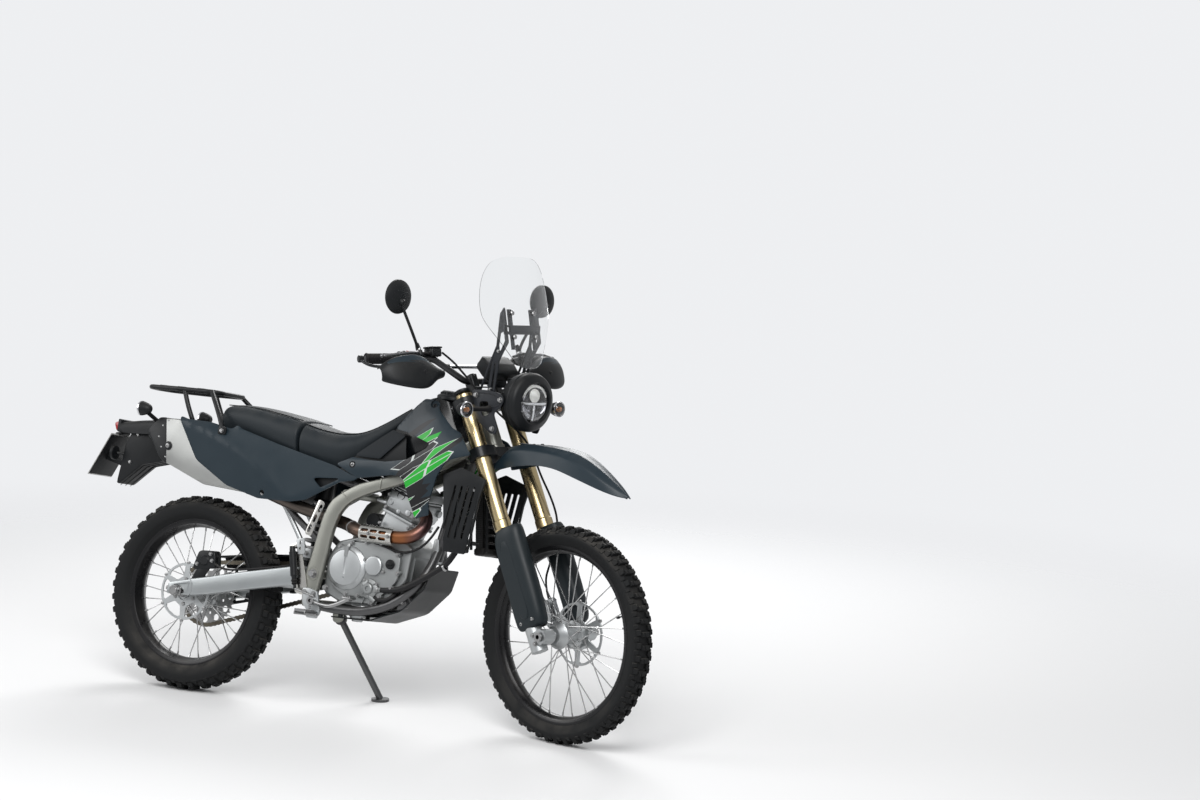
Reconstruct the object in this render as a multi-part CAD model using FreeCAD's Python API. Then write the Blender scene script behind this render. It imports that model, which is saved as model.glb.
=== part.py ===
import FreeCAD, Part

import math
import os

# Dual sport motorcycle parked on its side stand, leaning left, with its steering turned to the right.
# It is drawn upright first: X forward from the rear axle, Y to the rider's left, Z up from the ground,
# in millimetres, with the steering straight ahead. At the end the steered pieces are turned about the
# steering axis, and the whole machine is leaned and set down on its two tyres. The origin is on the
# ground under the middle of the machine.

VEC = FreeCAD.Vector
AXIS_X = VEC(1, 0, 0)
AXIS_Y = VEC(0, 1, 0)
AXIS_Z = VEC(0, 0, 1)
ORIGIN = VEC(0, 0, 0)

# Rest pose, in degrees
LEAN = 11.0
STEER_REST = -16.0

# Fits: a running gap between moving pieces, and a seat between pieces that are clamped together
CLEAR = 0.3
SEAT = 0.1

# Chassis
WHEELBASE = 1430.0
RAKE = 26.5
AXLE_OFFSET = 60.8

# Wheels and tyres
FRONT_RADIUS = 347.0
FRONT_TYRE_WIDTH = 86.0
FRONT_RIM_RADIUS = 279.0
FRONT_RIM_WIDTH = 54.0
REAR_RADIUS = 327.0
REAR_TYRE_WIDTH = 116.0
LUG_DEPTH = 11.0
LUG_FOOT = 17.0
FRONT_LUGS = 36
REAR_LUGS = 32
REAR_RIM_RADIUS = 241.0
REAR_RIM_WIDTH = 68.0
RIM_DEPTH = 20.0
SPOKE_RADIUS = 2.0
SPOKES = 32
SPOKE_SWEEP = 48.0
FLANGE_RADIUS = 44.0
FRONT_FLANGE_Y = 32.0
REAR_FLANGE_Y = 40.0
FRONT_AXLE_RADIUS = 10.0
FRONT_AXLE_BORE = 7.0
REAR_AXLE_RADIUS = 12.5

# Brakes
FRONT_DISC_RADIUS = 125.0
REAR_DISC_RADIUS = 120.0
DISC_BAND = 24.0
DISC_THICK = 4.0
DISC_WAVES = 12
DISC_WAVE = 4.0
FRONT_DISC_Y = 60.0
REAR_DISC_Y = -70.0

# Chain drive
CHAIN_Y = 70.0
CHAIN_PITCH = 15.875
CHAIN_HEIGHT = 15.0
CHAIN_WAIST = 2.2
CHAIN_PLATE = 2.4
ROLLER_RADIUS = 5.0
REAR_TEETH = 42
FRONT_TEETH = 14
SPROCKET_THICK = 6.0
DRIVE_X = 596.0
DRIVE_Z = 452.0

# Fork, measured along the steering axis from the level of the front axle
FORK_SPACING = 98.0
FORK_OFFSET = 24.0
FORK_TUBE_RADIUS = 27.0
FORK_TUBE_LOW = 372.0
FORK_TUBE_TOP = 846.0
STANCHION_RADIUS = 21.5
SLEEVE_RADIUS = 27.0
LOWER_CLAMP_LEVEL = 636.0
UPPER_CLAMP_LEVEL = 812.0
CLAMP_THICK = 34.0
STEM_RADIUS = 15.0
HEAD_TUBE_RADIUS = 29.0

# Handlebar
BAR_RADIUS = 11.1
BAR_FORWARD = 30.0
RISER_Y = 50.0
BRACE_Y = 150.0
GRIP_RADIUS = 17.0
GRIP_LENGTH = 118.0
BAR_WIDTH = 828.0
PERCH_RADIUS = 11.0

# Frame, engine and swingarm
SPAR_INNER = 96.0
SPAR_OUTER = 124.0
CRADLE_RADIUS = 15.0
DOWNTUBE_RADIUS = 20.0
SUBFRAME_RADIUS = 11.0
SKID_HALF = 88.0
CASE_HALF = 90.0
SUMP_HALF = 66.0
COVER_DEPTH = 30.0
CYLINDER_LEAN = 20.0
PIVOT_X = 528.0
PIVOT_Z = 440.0
ARM_INNER = 92.0
ARM_OUTER = 120.0
PIPE_RADIUS = 21.0
ELBOW_RADIUS = 10.0
HEADER_FRONT = VEC(846, -128, 588)
HEADER_BACK = VEC(684, -128, 594)

MUFFLER_INNER = 80.0
MUFFLER_OUTER = 136.0

# Bodywork
PANEL = 4.0
FORK_SWEEP = 150.0
CHEEK_Y = 101.0
RACK_TUBE = 8.0
RACK_BAR_X = -110.0
RACK_BAR_WIDTH = 24.0

# Side stand: pivot and foot in the upright machine
STAND_PIVOT = VEC(508.0, 116.0, 300.0)
STAND_FOOT_X = 630.0
STAND_FOOT_Y = 240.0
STAND_LEG_RADIUS = 11.0
STAND_FOOT_RADIUS = 30.0
STAND_FOOT_THICK = 8.0
STAND_AXIS = VEC(-0.192, 0.981, 0.0)

# Lamp, screen and mirrors, as points of the upright, unsteered machine
MIRROR_CENTRE = VEC(945, 336, 1391)
MIRROR_RADIUS = 55.0
HEADLIGHT = VEC(1244, 0, 1071)
HEADLIGHT_AXIS = VEC(1, 0, -0.05).normalize()
LENS_RADIUS = 61.0
SCREEN_LOW = 1180.0
SCREEN_TOP = 1536.0
SCREEN_LOW_X = 1216.0
SCREEN_TOP_X = 1138.0
SCREEN_HALF = 175.0
SCREEN_DROP = 75.0
CALIPER_ALONG = 108.0
RACK_LEVEL = 1003.0
ORIGIN_AHEAD = 655.0
ORIGIN_LEFT = 229.0

RAKE_RAD = math.radians(RAKE)
FRONT_AXLE = VEC(WHEELBASE, 0, FRONT_RADIUS)
REAR_AXLE = VEC(0, 0, REAR_RADIUS)
STEER_UP = VEC(-math.sin(RAKE_RAD), 0, math.cos(RAKE_RAD))
STEER_FORWARD = VEC(math.cos(RAKE_RAD), 0, math.sin(RAKE_RAD))
STEER_FOOT = FRONT_AXLE - STEER_FORWARD * AXLE_OFFSET
BAR_LEVEL = FORK_TUBE_TOP + 40
CHAIN_GAP = SPROCKET_THICK / 2 + CLEAR
REAR_PITCH_RADIUS = CHAIN_PITCH / 2 / math.sin(math.pi / REAR_TEETH)
DRIVE_PITCH_RADIUS = CHAIN_PITCH / 2 / math.sin(math.pi / FRONT_TEETH)


# General shapes


def unit(direction):
    return direction * (1.0 / direction.Length)


def steered(along, forward, across):
    """Point in the steered part, from the foot of the steering axis."""
    return STEER_FOOT + STEER_UP * along + STEER_FORWARD * forward + AXIS_Y * across


def bent_wire(corners, closed=False):
    """Straight runs joined by tangent arcs, from rows of (point, corner radius)."""
    count = len(corners)
    stops = []
    for index, (corner, radius) in enumerate(corners):
        if radius == 0 or (not closed and index in (0, count - 1)):
            stops.append((corner, None, corner))
            continue
        back = corners[index - 1][0] - corner
        ahead = corners[(index + 1) % count][0] - corner
        half = back.getAngle(ahead) / 2
        reach = min(radius / math.tan(half), 0.48 * min(back.Length, ahead.Length))
        turn = reach * math.tan(half)
        bisector = unit(unit(back) + unit(ahead))
        middle = corner + bisector * (turn / math.sin(half) - turn)
        stops.append((corner + unit(back) * reach, middle, corner + unit(ahead) * reach))
    edges = []
    for index, (start, middle, end) in enumerate(stops):
        if middle is not None:
            edges.append(Part.Arc(start, middle, end).toShape())
        if closed or index < count - 1:
            following = stops[(index + 1) % count][0]
            edges.append(Part.LineSegment(end, following).toShape())
    return Part.Wire(edges)


def flowing(points):
    """Corner rows with the largest arc that the runs beside each point allow."""
    rows = [(points[0], 0.0)]
    for before, spot, after in zip(points, points[1:], points[2:]):
        half = (before - spot).getAngle(after - spot) / 2
        run = min((before - spot).Length, (after - spot).Length)
        rows.append((spot, 0.45 * run * math.tan(half)))
    rows.append((points[-1], 0.0))
    return rows


def tube(corners, radius):
    """Round bar along rows of (point, corner radius)."""
    path = bent_wire(corners)
    start = corners[0][0]
    ring = Part.Wire([Part.makeCircle(radius, start, unit(corners[1][0] - start))])
    return path.makePipeShell([ring], True, False)


def rod(start, end, radius):
    return Part.makeCylinder(radius, (end - start).Length, start, unit(end - start))


def turned(base, axis, rows):
    """Solid of revolution from rows of (distance along the axis, radius)."""
    helper = AXIS_X if abs(axis.y) > 0.9 else AXIS_Y
    side = unit(axis.cross(helper))
    points = [base + axis * along + side * radius for along, radius in rows]
    return Part.Face(Part.makePolygon(points + points[:1])).revolve(base, axis, 360)


def fused(shapes):
    return shapes[0].multiFuse(shapes[1:]).removeSplitter()


def both_sides(shape):
    """The piece and its mirror image on the other side of the machine."""
    return Part.makeCompound([shape, mirrored(shape)])


def mirrored(shape):
    return shape.mirror(ORIGIN, AXIS_Y)


def side_plate(rows, y_from, y_to):
    """Plate that lies along the machine, from rows of (x, z, corner radius)."""
    wire = bent_wire([(VEC(x, y_from, z), r) for x, z, r in rows], closed=True)
    return Part.Face(wire).extrude(AXIS_Y * (y_to - y_from))


def steered_plate(rows, low, high):
    """Plate across the steering axis, from rows of (forward, across, corner radius)."""
    wire = bent_wire([(steered(low, f, y), r) for f, y, r in rows], closed=True)
    return Part.Face(wire).extrude(STEER_UP * (high - low))


def both_ways(rows):
    """Closed outline from its rows on one side: the second column changes sign on the other."""
    return rows + [(first, -across, radius) for first, across, radius in reversed(rows)]


def band(points, thickness, inward):
    """Closed polygon: a line of points and the same line moved by the thickness."""
    return Part.makePolygon(points + [p + inward * thickness for p in reversed(points)] + points[:1])


def skin(rows, z_low, z_high, inward):
    """Curved sheet that stands on edge, from rows of (x, y at the low edge, y at the high edge)."""
    low = band([VEC(x, y, z_low) for x, y, top in rows], PANEL, inward)
    high = band([VEC(x, top, z_high) for x, y, top in rows], PANEL, inward)
    return Part.makeLoft([low, high], True, True)


def rounded_edges(shape, radius, axis, level):
    """Round the edges that lie in one plane: axis is 0, 1 or 2."""
    chosen = []
    for edge in shape.Edges:
        box = edge.BoundBox
        low = (box.XMin, box.YMin, box.ZMin)[axis]
        high = (box.XMax, box.YMax, box.ZMax)[axis]
        if abs(low - level) < 0.01 and abs(high - level) < 0.01:
            chosen.append(edge)
    return shape.makeFillet(radius, chosen)


def hoop(x, half):
    """Closed section across the machine, from rows of (y, z, corner radius) up its left side."""
    rows = half + [(-y, z, r) for y, z, r in reversed(half)]
    return bent_wire([(VEC(x, y, z), r) for y, z, r in rows], closed=True)


# Wheels


def toothed(axle, y_from, y_to, root, tip, count, shift=0.0, share=0.5):
    """Plate with a toothed rim: shift and share are parts of one tooth's step."""
    step = 2 * math.pi / count
    points = []
    for index in range(count):
        for radius, place in ((root, -share / 2 - 0.06), (tip, -share / 2), (tip, share / 2), (root, share / 2 + 0.06)):
            angle = -math.pi / 2 + step * (index + shift + place)
            points.append(axle + VEC(math.cos(angle) * radius, y_from, math.sin(angle) * radius))
    return Part.Face(Part.makePolygon(points + points[:1])).extrude(AXIS_Y * (y_to - y_from))


def tyre(axle, radius, width, rim_radius, lugs):
    """Carcass with a middle row of tread lugs and a row on each shoulder, half a step on."""
    half = width / 2
    middle = (rim_radius + radius) / 2
    walls = [(half * 0.8, rim_radius), (half, middle - 6), (half * 0.96, middle + 8), (half * 0.86, radius - 28),
             (half * 0.3, radius - LUG_FOOT - 3)]
    carcass = turned(axle, AXIS_Y, [(-y, r) for y, r in walls] + [(y, r) for y, r in reversed(walls)])
    inner, outer = half * 0.34, half * 0.86
    rows = [toothed(axle, -half * 0.23, half * 0.23, radius - LUG_DEPTH, radius - 1.2, lugs)]
    for low, high in ((inner, outer), (-outer, -inner)):
        rows.append(toothed(axle, low, high, radius - LUG_FOOT - 2.5, radius - LUG_DEPTH * 0.9, lugs, 0.5))
    hole = Part.makeCylinder(rim_radius + 4, width, axle - AXIS_Y * half, AXIS_Y)
    return fused([carcass] + [row.cut(hole) for row in rows])


def rim(axle, radius, width):
    half = width / 2
    profile = [
        (-half, radius), (-half, radius - 11), (-half + 8, radius - 13), (-9, radius - RIM_DEPTH),
        (9, radius - RIM_DEPTH), (half - 8, radius - 13), (half, radius - 11), (half, radius),
    ]
    return turned(axle, AXIS_Y, profile)


def spokes(axle, flange_y, rim_radius):
    """Crossed spokes: each second one goes to the other flange, each second pair sweeps back."""
    bars = []
    for index in range(SPOKES):
        side = 1 if index % 2 == 0 else -1
        sweep = SPOKE_SWEEP if (index // 2) % 2 == 0 else -SPOKE_SWEEP
        outer = math.radians(360.0 * index / SPOKES)
        inner = outer + math.radians(sweep)
        start = axle + VEC(math.cos(inner), 0, math.sin(inner)) * (FLANGE_RADIUS - 4)
        end = axle + VEC(math.cos(outer), 0, math.sin(outer)) * (rim_radius - RIM_DEPTH + 3)
        bars.append(rod(start + AXIS_Y * side * flange_y, end + AXIS_Y * side * 4, SPOKE_RADIUS))
    return bars


def hub(axle, flange_y, bore, right_rows, left_rows):
    """Spoked hub: rows of (y, radius) close it on its right and left ends."""
    middle = [
        (-flange_y - 3, FLANGE_RADIUS), (-flange_y + 3, FLANGE_RADIUS), (-flange_y + 6, 31), (-8, 26),
        (8, 26), (flange_y - 6, 31), (flange_y - 3, FLANGE_RADIUS), (flange_y + 3, FLANGE_RADIUS),
    ]
    rows = right_rows + middle + left_rows
    ends = [(rows[-1][0], bore), (rows[0][0], bore)]
    return turned(axle, AXIS_Y, rows + ends)


def front_wheel():
    left_end = FRONT_DISC_Y - DISC_THICK / 2
    axle_hub = hub(
        FRONT_AXLE, FRONT_FLANGE_Y, FRONT_AXLE_RADIUS + CLEAR,
        [(-62, 20), (-FRONT_FLANGE_Y - 8, 22)],
        [(FRONT_FLANGE_Y + 6, 36), (left_end, 36), (left_end, 20), (66, 20)],
    )
    ring = rim(FRONT_AXLE, FRONT_RIM_RADIUS, FRONT_RIM_WIDTH)
    return fused([axle_hub, ring] + spokes(FRONT_AXLE, FRONT_FLANGE_Y, FRONT_RIM_RADIUS))


def rear_wheel():
    right_end = REAR_DISC_Y + DISC_THICK / 2
    left_end = CHAIN_Y - SPROCKET_THICK / 2
    axle_hub = hub(
        REAR_AXLE, REAR_FLANGE_Y, REAR_AXLE_RADIUS + CLEAR,
        [(-80, 24), (right_end, 24), (right_end, 40), (-REAR_FLANGE_Y - 10, 40)],
        [(REAR_FLANGE_Y + 6, 56), (left_end, 56), (left_end, 24), (80, 24)],
    )
    ring = rim(REAR_AXLE, REAR_RIM_RADIUS, REAR_RIM_WIDTH)
    return fused([axle_hub, ring] + spokes(REAR_AXLE, REAR_FLANGE_Y, REAR_RIM_RADIUS))


def disc(axle, y, radius, seat_radius, bore, arms):
    """Brake disc: a band on a spider that seats on the hub."""
    base = axle + AXIS_Y * (y - DISC_THICK / 2)
    inner = radius - DISC_BAND
    points = []
    for index in range(DISC_WAVES * 6 + 1):
        angle = 2 * math.pi * index / (DISC_WAVES * 6)
        reach = radius - DISC_WAVE * (0.5 - 0.5 * math.cos(DISC_WAVES * angle))
        points.append(base + VEC(math.cos(angle) * reach, 0, math.sin(angle) * reach))
    ring = Part.Face(Part.makePolygon(points[:-1] + points[:1])).extrude(AXIS_Y * DISC_THICK)
    ring = ring.cut(Part.makeCylinder(inner, DISC_THICK, base, AXIS_Y))
    centre = Part.makeCylinder(seat_radius + 6, DISC_THICK, base, AXIS_Y)
    pieces = [ring, centre]
    for index in range(arms):
        arm = Part.makeBox(inner - seat_radius + 4, DISC_THICK, 14, VEC(seat_radius, 0, -7))
        arm.rotate(ORIGIN, AXIS_Y, 360.0 * index / arms)
        arm.translate(base)
        pieces.append(arm)
    return fused(pieces).cut(Part.makeCylinder(bore, DISC_THICK, base, AXIS_Y))


def rear_sprocket():
    base = REAR_AXLE + AXIS_Y * (CHAIN_Y - SPROCKET_THICK / 2)
    teeth = round(2 * math.pi * REAR_PITCH_RADIUS / CHAIN_PITCH)
    plate = toothed(base, 0, SPROCKET_THICK, REAR_PITCH_RADIUS - 4, REAR_PITCH_RADIUS + 4, teeth, 0.0, 0.3)
    for index in range(12):
        hole = Part.makeCylinder(10, SPROCKET_THICK, base + VEC(REAR_PITCH_RADIUS - 22, 0, 0), AXIS_Y)
        hole.rotate(REAR_AXLE, AXIS_Y, 30 * index)
        plate = plate.cut(hole)
    return plate.cut(Part.makeCylinder(24 + SEAT, SPROCKET_THICK, base, AXIS_Y))


def front_axle():
    inner = FORK_SPACING - 25
    outer = FORK_SPACING + 30
    half = [
        (66 + CLEAR, 17), (inner - SEAT, 17), (inner - SEAT, FRONT_AXLE_RADIUS),
        (outer, FRONT_AXLE_RADIUS), (outer, 15), (outer + 5, 15), (outer + 5, FRONT_AXLE_BORE),
    ]
    right = [
        (-outer - 5, FRONT_AXLE_BORE), (-outer - 5, 15), (-outer, 15), (-outer, FRONT_AXLE_RADIUS),
        (-inner + SEAT, FRONT_AXLE_RADIUS), (-inner + SEAT, 17), (-62 - CLEAR, 17),
        (-62 - CLEAR, FRONT_AXLE_RADIUS), (66 + CLEAR, FRONT_AXLE_RADIUS),
    ]
    return turned(FRONT_AXLE, AXIS_Y, right + half)


def rear_axle():
    rows = [
        (-ARM_OUTER - 20, 0), (-ARM_OUTER - 20, 17), (-ARM_OUTER - SEAT, 17),
        (-ARM_OUTER - SEAT, REAR_AXLE_RADIUS), (-ARM_INNER + SEAT, REAR_AXLE_RADIUS),
        (-ARM_INNER + SEAT, 20), (-80 - CLEAR, 20), (-80 - CLEAR, REAR_AXLE_RADIUS),
    ]
    rows += [(-y, radius) for y, radius in reversed(rows)]
    return turned(REAR_AXLE, AXIS_Y, rows)


# Steered front end


def leg_point(along, forward=FORK_OFFSET, across=FORK_SPACING):
    return steered(along, forward, across)


def fork_tubes():
    rows = [
        (FORK_TUBE_LOW, STANCHION_RADIUS + CLEAR), (FORK_TUBE_LOW, FORK_TUBE_RADIUS - 1),
        (FORK_TUBE_LOW + 4, FORK_TUBE_RADIUS + 2), (FORK_TUBE_LOW + 30, FORK_TUBE_RADIUS + 2),
        (FORK_TUBE_LOW + 34, FORK_TUBE_RADIUS), (FORK_TUBE_TOP - 8, FORK_TUBE_RADIUS),
        (FORK_TUBE_TOP, FORK_TUBE_RADIUS - 8), (FORK_TUBE_TOP, 0), (FORK_TUBE_LOW + 60, 0),
        (FORK_TUBE_LOW + 60, STANCHION_RADIUS + CLEAR),
    ]
    return both_sides(turned(leg_point(0), STEER_UP, rows))


def fork_stanchions():
    leg = Part.makeCylinder(STANCHION_RADIUS, FORK_TUBE_LOW + 60 - 30 - SEAT, leg_point(30), STEER_UP)
    return both_sides(leg)


def axle_clamps():
    """Castings that carry the axle ahead of each fork leg."""
    sleeve = Part.makeCylinder(SLEEVE_RADIUS, 138, leg_point(-38), STEER_UP)
    boss = Part.makeCylinder(24, 50, FRONT_AXLE + AXIS_Y * (FORK_SPACING - 25), AXIS_Y)
    web = steered_plate(
        [(FORK_OFFSET, FORK_SPACING - 20, 4), (AXLE_OFFSET, FORK_SPACING - 22, 4),
         (AXLE_OFFSET, FORK_SPACING + 22, 4), (FORK_OFFSET, FORK_SPACING + 20, 4)], -24, 24)
    casting = fused([sleeve, boss, web])
    axle_hole = Part.makeCylinder(FRONT_AXLE_RADIUS + SEAT, 60, FRONT_AXLE + AXIS_Y * 70, AXIS_Y)
    leg_hole = Part.makeCylinder(STANCHION_RADIUS + SEAT, 100, leg_point(30 - SEAT), STEER_UP)
    return both_sides(casting.cut(axle_hole).cut(leg_hole))


def clamp_plate(level, thickness):
    half = thickness / 2
    rows = both_ways([
        (-30, 22, 12), (-14, 90, 30), (-12, FORK_SPACING + 36, 26), (60, FORK_SPACING + 36, 30),
        (60, 66, 20), (40, 40, 16),
    ])
    plate = steered_plate(rows, level - half, level + half)
    for side in (1, -1):
        centre = leg_point(level - half, FORK_OFFSET, side * FORK_SPACING)
        plate = plate.cut(Part.makeCylinder(FORK_TUBE_RADIUS + SEAT, thickness, centre, STEER_UP))
    return plate


def triple_clamps():
    """Both clamps with the stem, and the risers that hold the handlebar."""
    lower = clamp_plate(LOWER_CLAMP_LEVEL, CLAMP_THICK)
    upper = clamp_plate(UPPER_CLAMP_LEVEL, CLAMP_THICK - 8)
    stem_low = LOWER_CLAMP_LEVEL - CLAMP_THICK / 2
    stem_top = UPPER_CLAMP_LEVEL + CLAMP_THICK / 2 + 8
    stem = turned(STEER_FOOT, STEER_UP, [
        (stem_low, 0), (stem_low, STEM_RADIUS), (stem_top - 14, STEM_RADIUS), (stem_top - 14, 19),
        (stem_top, 19), (stem_top, 0),
    ])
    return fused([lower, upper, stem] + bar_risers())


def bar_risers():
    """Risers on the upper clamp, each with the bore that grips the handlebar."""
    low = UPPER_CLAMP_LEVEL
    pieces = []
    for side in (1, -1):
        y = side * RISER_Y
        rows = [(BAR_FORWARD - 19, y - 14, 4), (BAR_FORWARD + 19, y - 14, 4),
                (BAR_FORWARD + 19, y + 14, 4), (BAR_FORWARD - 19, y + 14, 4)]
        riser = steered_plate(rows, low, BAR_LEVEL + 19)
        centre = steered(BAR_LEVEL, BAR_FORWARD, y - 20)
        pieces.append(riser.cut(Part.makeCylinder(BAR_RADIUS + SEAT, 40, centre, AXIS_Y)))
    return pieces


def bar_corner():
    return steered(BAR_LEVEL, BAR_FORWARD, 80)


def bar_shoulder():
    return steered(BAR_LEVEL + 82, BAR_FORWARD - 6, 190)


def bar_end():
    return steered(BAR_LEVEL + 113, BAR_FORWARD - 88, BAR_WIDTH / 2 - 8)


def handlebar():
    half = [(bar_end(), 0.0), (bar_shoulder(), 70.0), (bar_corner(), 60.0)]
    path = half + [(VEC(p.x, -p.y, p.z), r) for p, r in reversed(half)]
    bar = tube(path, BAR_RADIUS)
    slope = (BRACE_Y - bar_corner().y) / (bar_shoulder().y - bar_corner().y)
    brace_end = bar_corner() + (bar_shoulder() - bar_corner()) * slope
    brace = rod(brace_end, VEC(brace_end.x, -brace_end.y, brace_end.z), 6.5)
    return bar.fuse(brace)


def grips():
    direction = unit(bar_shoulder() - bar_end())
    rows = [
        (-8, 0), (-8, 15), (0, 17), (6, 20), (10, 20), (12, GRIP_RADIUS), (GRIP_LENGTH - 6, GRIP_RADIUS),
        (GRIP_LENGTH - 6, 24), (GRIP_LENGTH, 24), (GRIP_LENGTH, BAR_RADIUS + SEAT), (SEAT, BAR_RADIUS + SEAT),
        (SEAT, 0),
    ]
    return both_sides(turned(bar_end() - direction * SEAT, direction, rows))


def bar_line(distance):
    """Point on the outer run of the left half, at a distance in from its end."""
    return bar_end() + unit(bar_shoulder() - bar_end()) * distance


def perch_foot():
    return bar_line(GRIP_LENGTH + 40) + STEER_FORWARD * 18


def perch_tip():
    return bar_line(GRIP_LENGTH + 40) + STEER_FORWARD * 46


def hand_controls():
    """Switch housing, lever perch and lever of the left side, one joined piece."""
    direction = unit(bar_shoulder() - bar_end())
    housing = turned(bar_line(GRIP_LENGTH + 1), direction, [
        (0, BAR_RADIUS + SEAT), (0, 20), (4, 23), (26, 23), (29, 18), (50, 18), (50, BAR_RADIUS + SEAT),
    ])
    perch = rod(perch_foot(), perch_tip(), PERCH_RADIUS)
    tip = bar_line(10) + STEER_FORWARD * 62 - STEER_UP * 16
    blade = tube(flowing([perch_tip() - STEER_FORWARD * 4, perch_tip() + AXIS_Y * 40, tip]), 5.5)
    return fused([housing, perch, blade])


def right_controls():
    """The right side also carries the brake master cylinder."""
    side = mirrored(hand_controls())
    box = Part.makeBox(40, 38, 28, VEC(0, 8, 5))
    corner = mirrored_point(perch_foot()) + STEER_FORWARD * 10
    box.Placement = FreeCAD.Placement(corner, FreeCAD.Rotation(AXIS_Y, -8))
    return side.fuse(box)


def mirrored_point(spot):
    return VEC(spot.x, -spot.y, spot.z)


def handguard():
    """Shield in front of the left grip, on a bracket from the end of the bar."""
    reach = BAR_WIDTH / 2
    plan = [(70, reach - 226), (72, reach - 154), (58, reach - 74), (30, reach - 10), (-18, reach + 18)]
    outer = [steered(855, f, y) for f, y in plan]
    inner = [steered(855, f - PANEL, y - 1.5) for f, y in reversed(plan)]
    sheet = Part.Face(Part.makePolygon(outer + inner + outer[:1])).extrude(STEER_UP * 125)
    outline = [(908, 222, 18), (970, 163, 25), (969, 22, 20), (943, -22, 14), (892, 10, 30), (870, 139, 30)]
    wire = bent_wire([(steered(along, -60, reach - inward), r) for along, inward, r in outline], closed=True)
    return sheet.common(Part.Face(wire).extrude(STEER_FORWARD * 200)).fuse(handguard_stay())


def handguard_stay():
    """Alloy bar that carries the shield, from a plug in the bar's end to a ring on its inner part."""
    direction = unit(bar_shoulder() - bar_end())
    plug = rod(bar_line(-8 - CLEAR), bar_line(-24), 12)
    ring = turned(bar_line(GRIP_LENGTH + 76), direction, [
        (0, BAR_RADIUS + SEAT), (0, 18), (10, 18), (10, BAR_RADIUS + SEAT),
    ])
    seat = bar_line(GRIP_LENGTH + 81)
    points = [
        bar_line(-18), steered(BAR_LEVEL + 80, -36, BAR_WIDTH / 2 + 18),
        steered(BAR_LEVEL + 50, 22, BAR_WIDTH / 2 - 12), steered(BAR_LEVEL + 42, 54, BAR_WIDTH / 2 - 94),
        steered(BAR_LEVEL + 36, 54, BAR_WIDTH / 2 - 172), seat + STEER_FORWARD * 8 - STEER_UP * 28, seat - STEER_UP * 14,
    ]
    return fused([plug, ring, tube(flowing(points), 5.0)])


def mirror_arm():
    """Stalk from the lever perch up to the mirror head."""
    base = (perch_foot() + perch_tip()) * 0.5 + STEER_UP * (PERCH_RADIUS + SEAT)
    points = [base, base + STEER_UP * 34, MIRROR_CENTRE - AXIS_Z * 20 + AXIS_X * 12]
    stalk = tube(flowing(points), 5.0)
    head = turned(MIRROR_CENTRE - AXIS_X * 8, AXIS_X, [
        (0, 0), (0, MIRROR_RADIUS - 3), (4, MIRROR_RADIUS), (10, MIRROR_RADIUS - 5), (20, 34), (24, 14), (24, 0),
    ])
    return stalk.fuse(head)


def front_mudguard():
    """High channel under the lower clamp, from rows of x, half width, edge z, shoulder z, crown z."""
    table = [
        (1112, 52, 846, 866, 874), (1146, 56, 852, 880, 890), (1186, 60, 862, 914, 926),
        (1272, 63, 875, 926, 941), (1365, 64, 880, 924, 940), (1465, 62, 858, 910, 929),
        (1583, 50, 822, 852, 868), (1666, 20, 800, 804, 808),
    ]
    sections = []
    for x, half, edge, shoulder, crown in table:
        outer = [(half, edge), (half * 0.88, shoulder), (half * 0.2, crown - 3), (0, crown)]
        line = [VEC(x, y, z) for y, z in outer] + [VEC(x, -y, z) for y, z in reversed(outer[:-1])]
        sections.append(Part.makePolygon(line + [p - AXIS_Z * PANEL for p in reversed(line)] + line[:1]))
    top = LOWER_CLAMP_LEVEL - CLAMP_THICK / 2 - SEAT
    pad = steered_plate([(2, -36, 6), (44, -36, 6), (44, 36, 6), (2, 36, 6)], top - 12, top)
    return Part.makeLoft(sections, True, True).fuse(pad)


def fork_guard():
    """Shield in front of the bright lower leg: an open channel round it."""
    rows = [
        (-6, 129, 2), (58, 129, 26), (92, 110, 14), (92, 84, 14), (60, 66, 20), (24, 66, 2),
        (24, 69, 1), (59, 69, 18), (88.5, 86, 11), (88.5, 108, 11), (57, 126, 23), (-6, 126, 1),
    ]
    channel = steered_plate(rows, 44, 372)
    inner = FORK_SPACING + SLEEVE_RADIUS + CLEAR
    seat = steered_plate([(16, inner, 0), (34, inner, 0), (34, 127, 0), (16, 127, 0)], 44, 58)
    return channel.fuse(seat)


def headlight_shell():
    return turned(HEADLIGHT, HEADLIGHT_AXIS, [
        (-4, LENS_RADIUS + SEAT), (6, LENS_RADIUS + 8), (0, 88), (-12, 95), (-30, 96), (-70, 84), (-96, 52),
        (-100, 0), (-22, 0), (-22, LENS_RADIUS + SEAT),
    ])


def headlight_lens():
    return turned(HEADLIGHT, HEADLIGHT_AXIS, [
        (-22 + SEAT, 0), (-22 + SEAT, LENS_RADIUS), (0, LENS_RADIUS), (8, 46), (12, 24), (13, 0),
    ])


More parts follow.
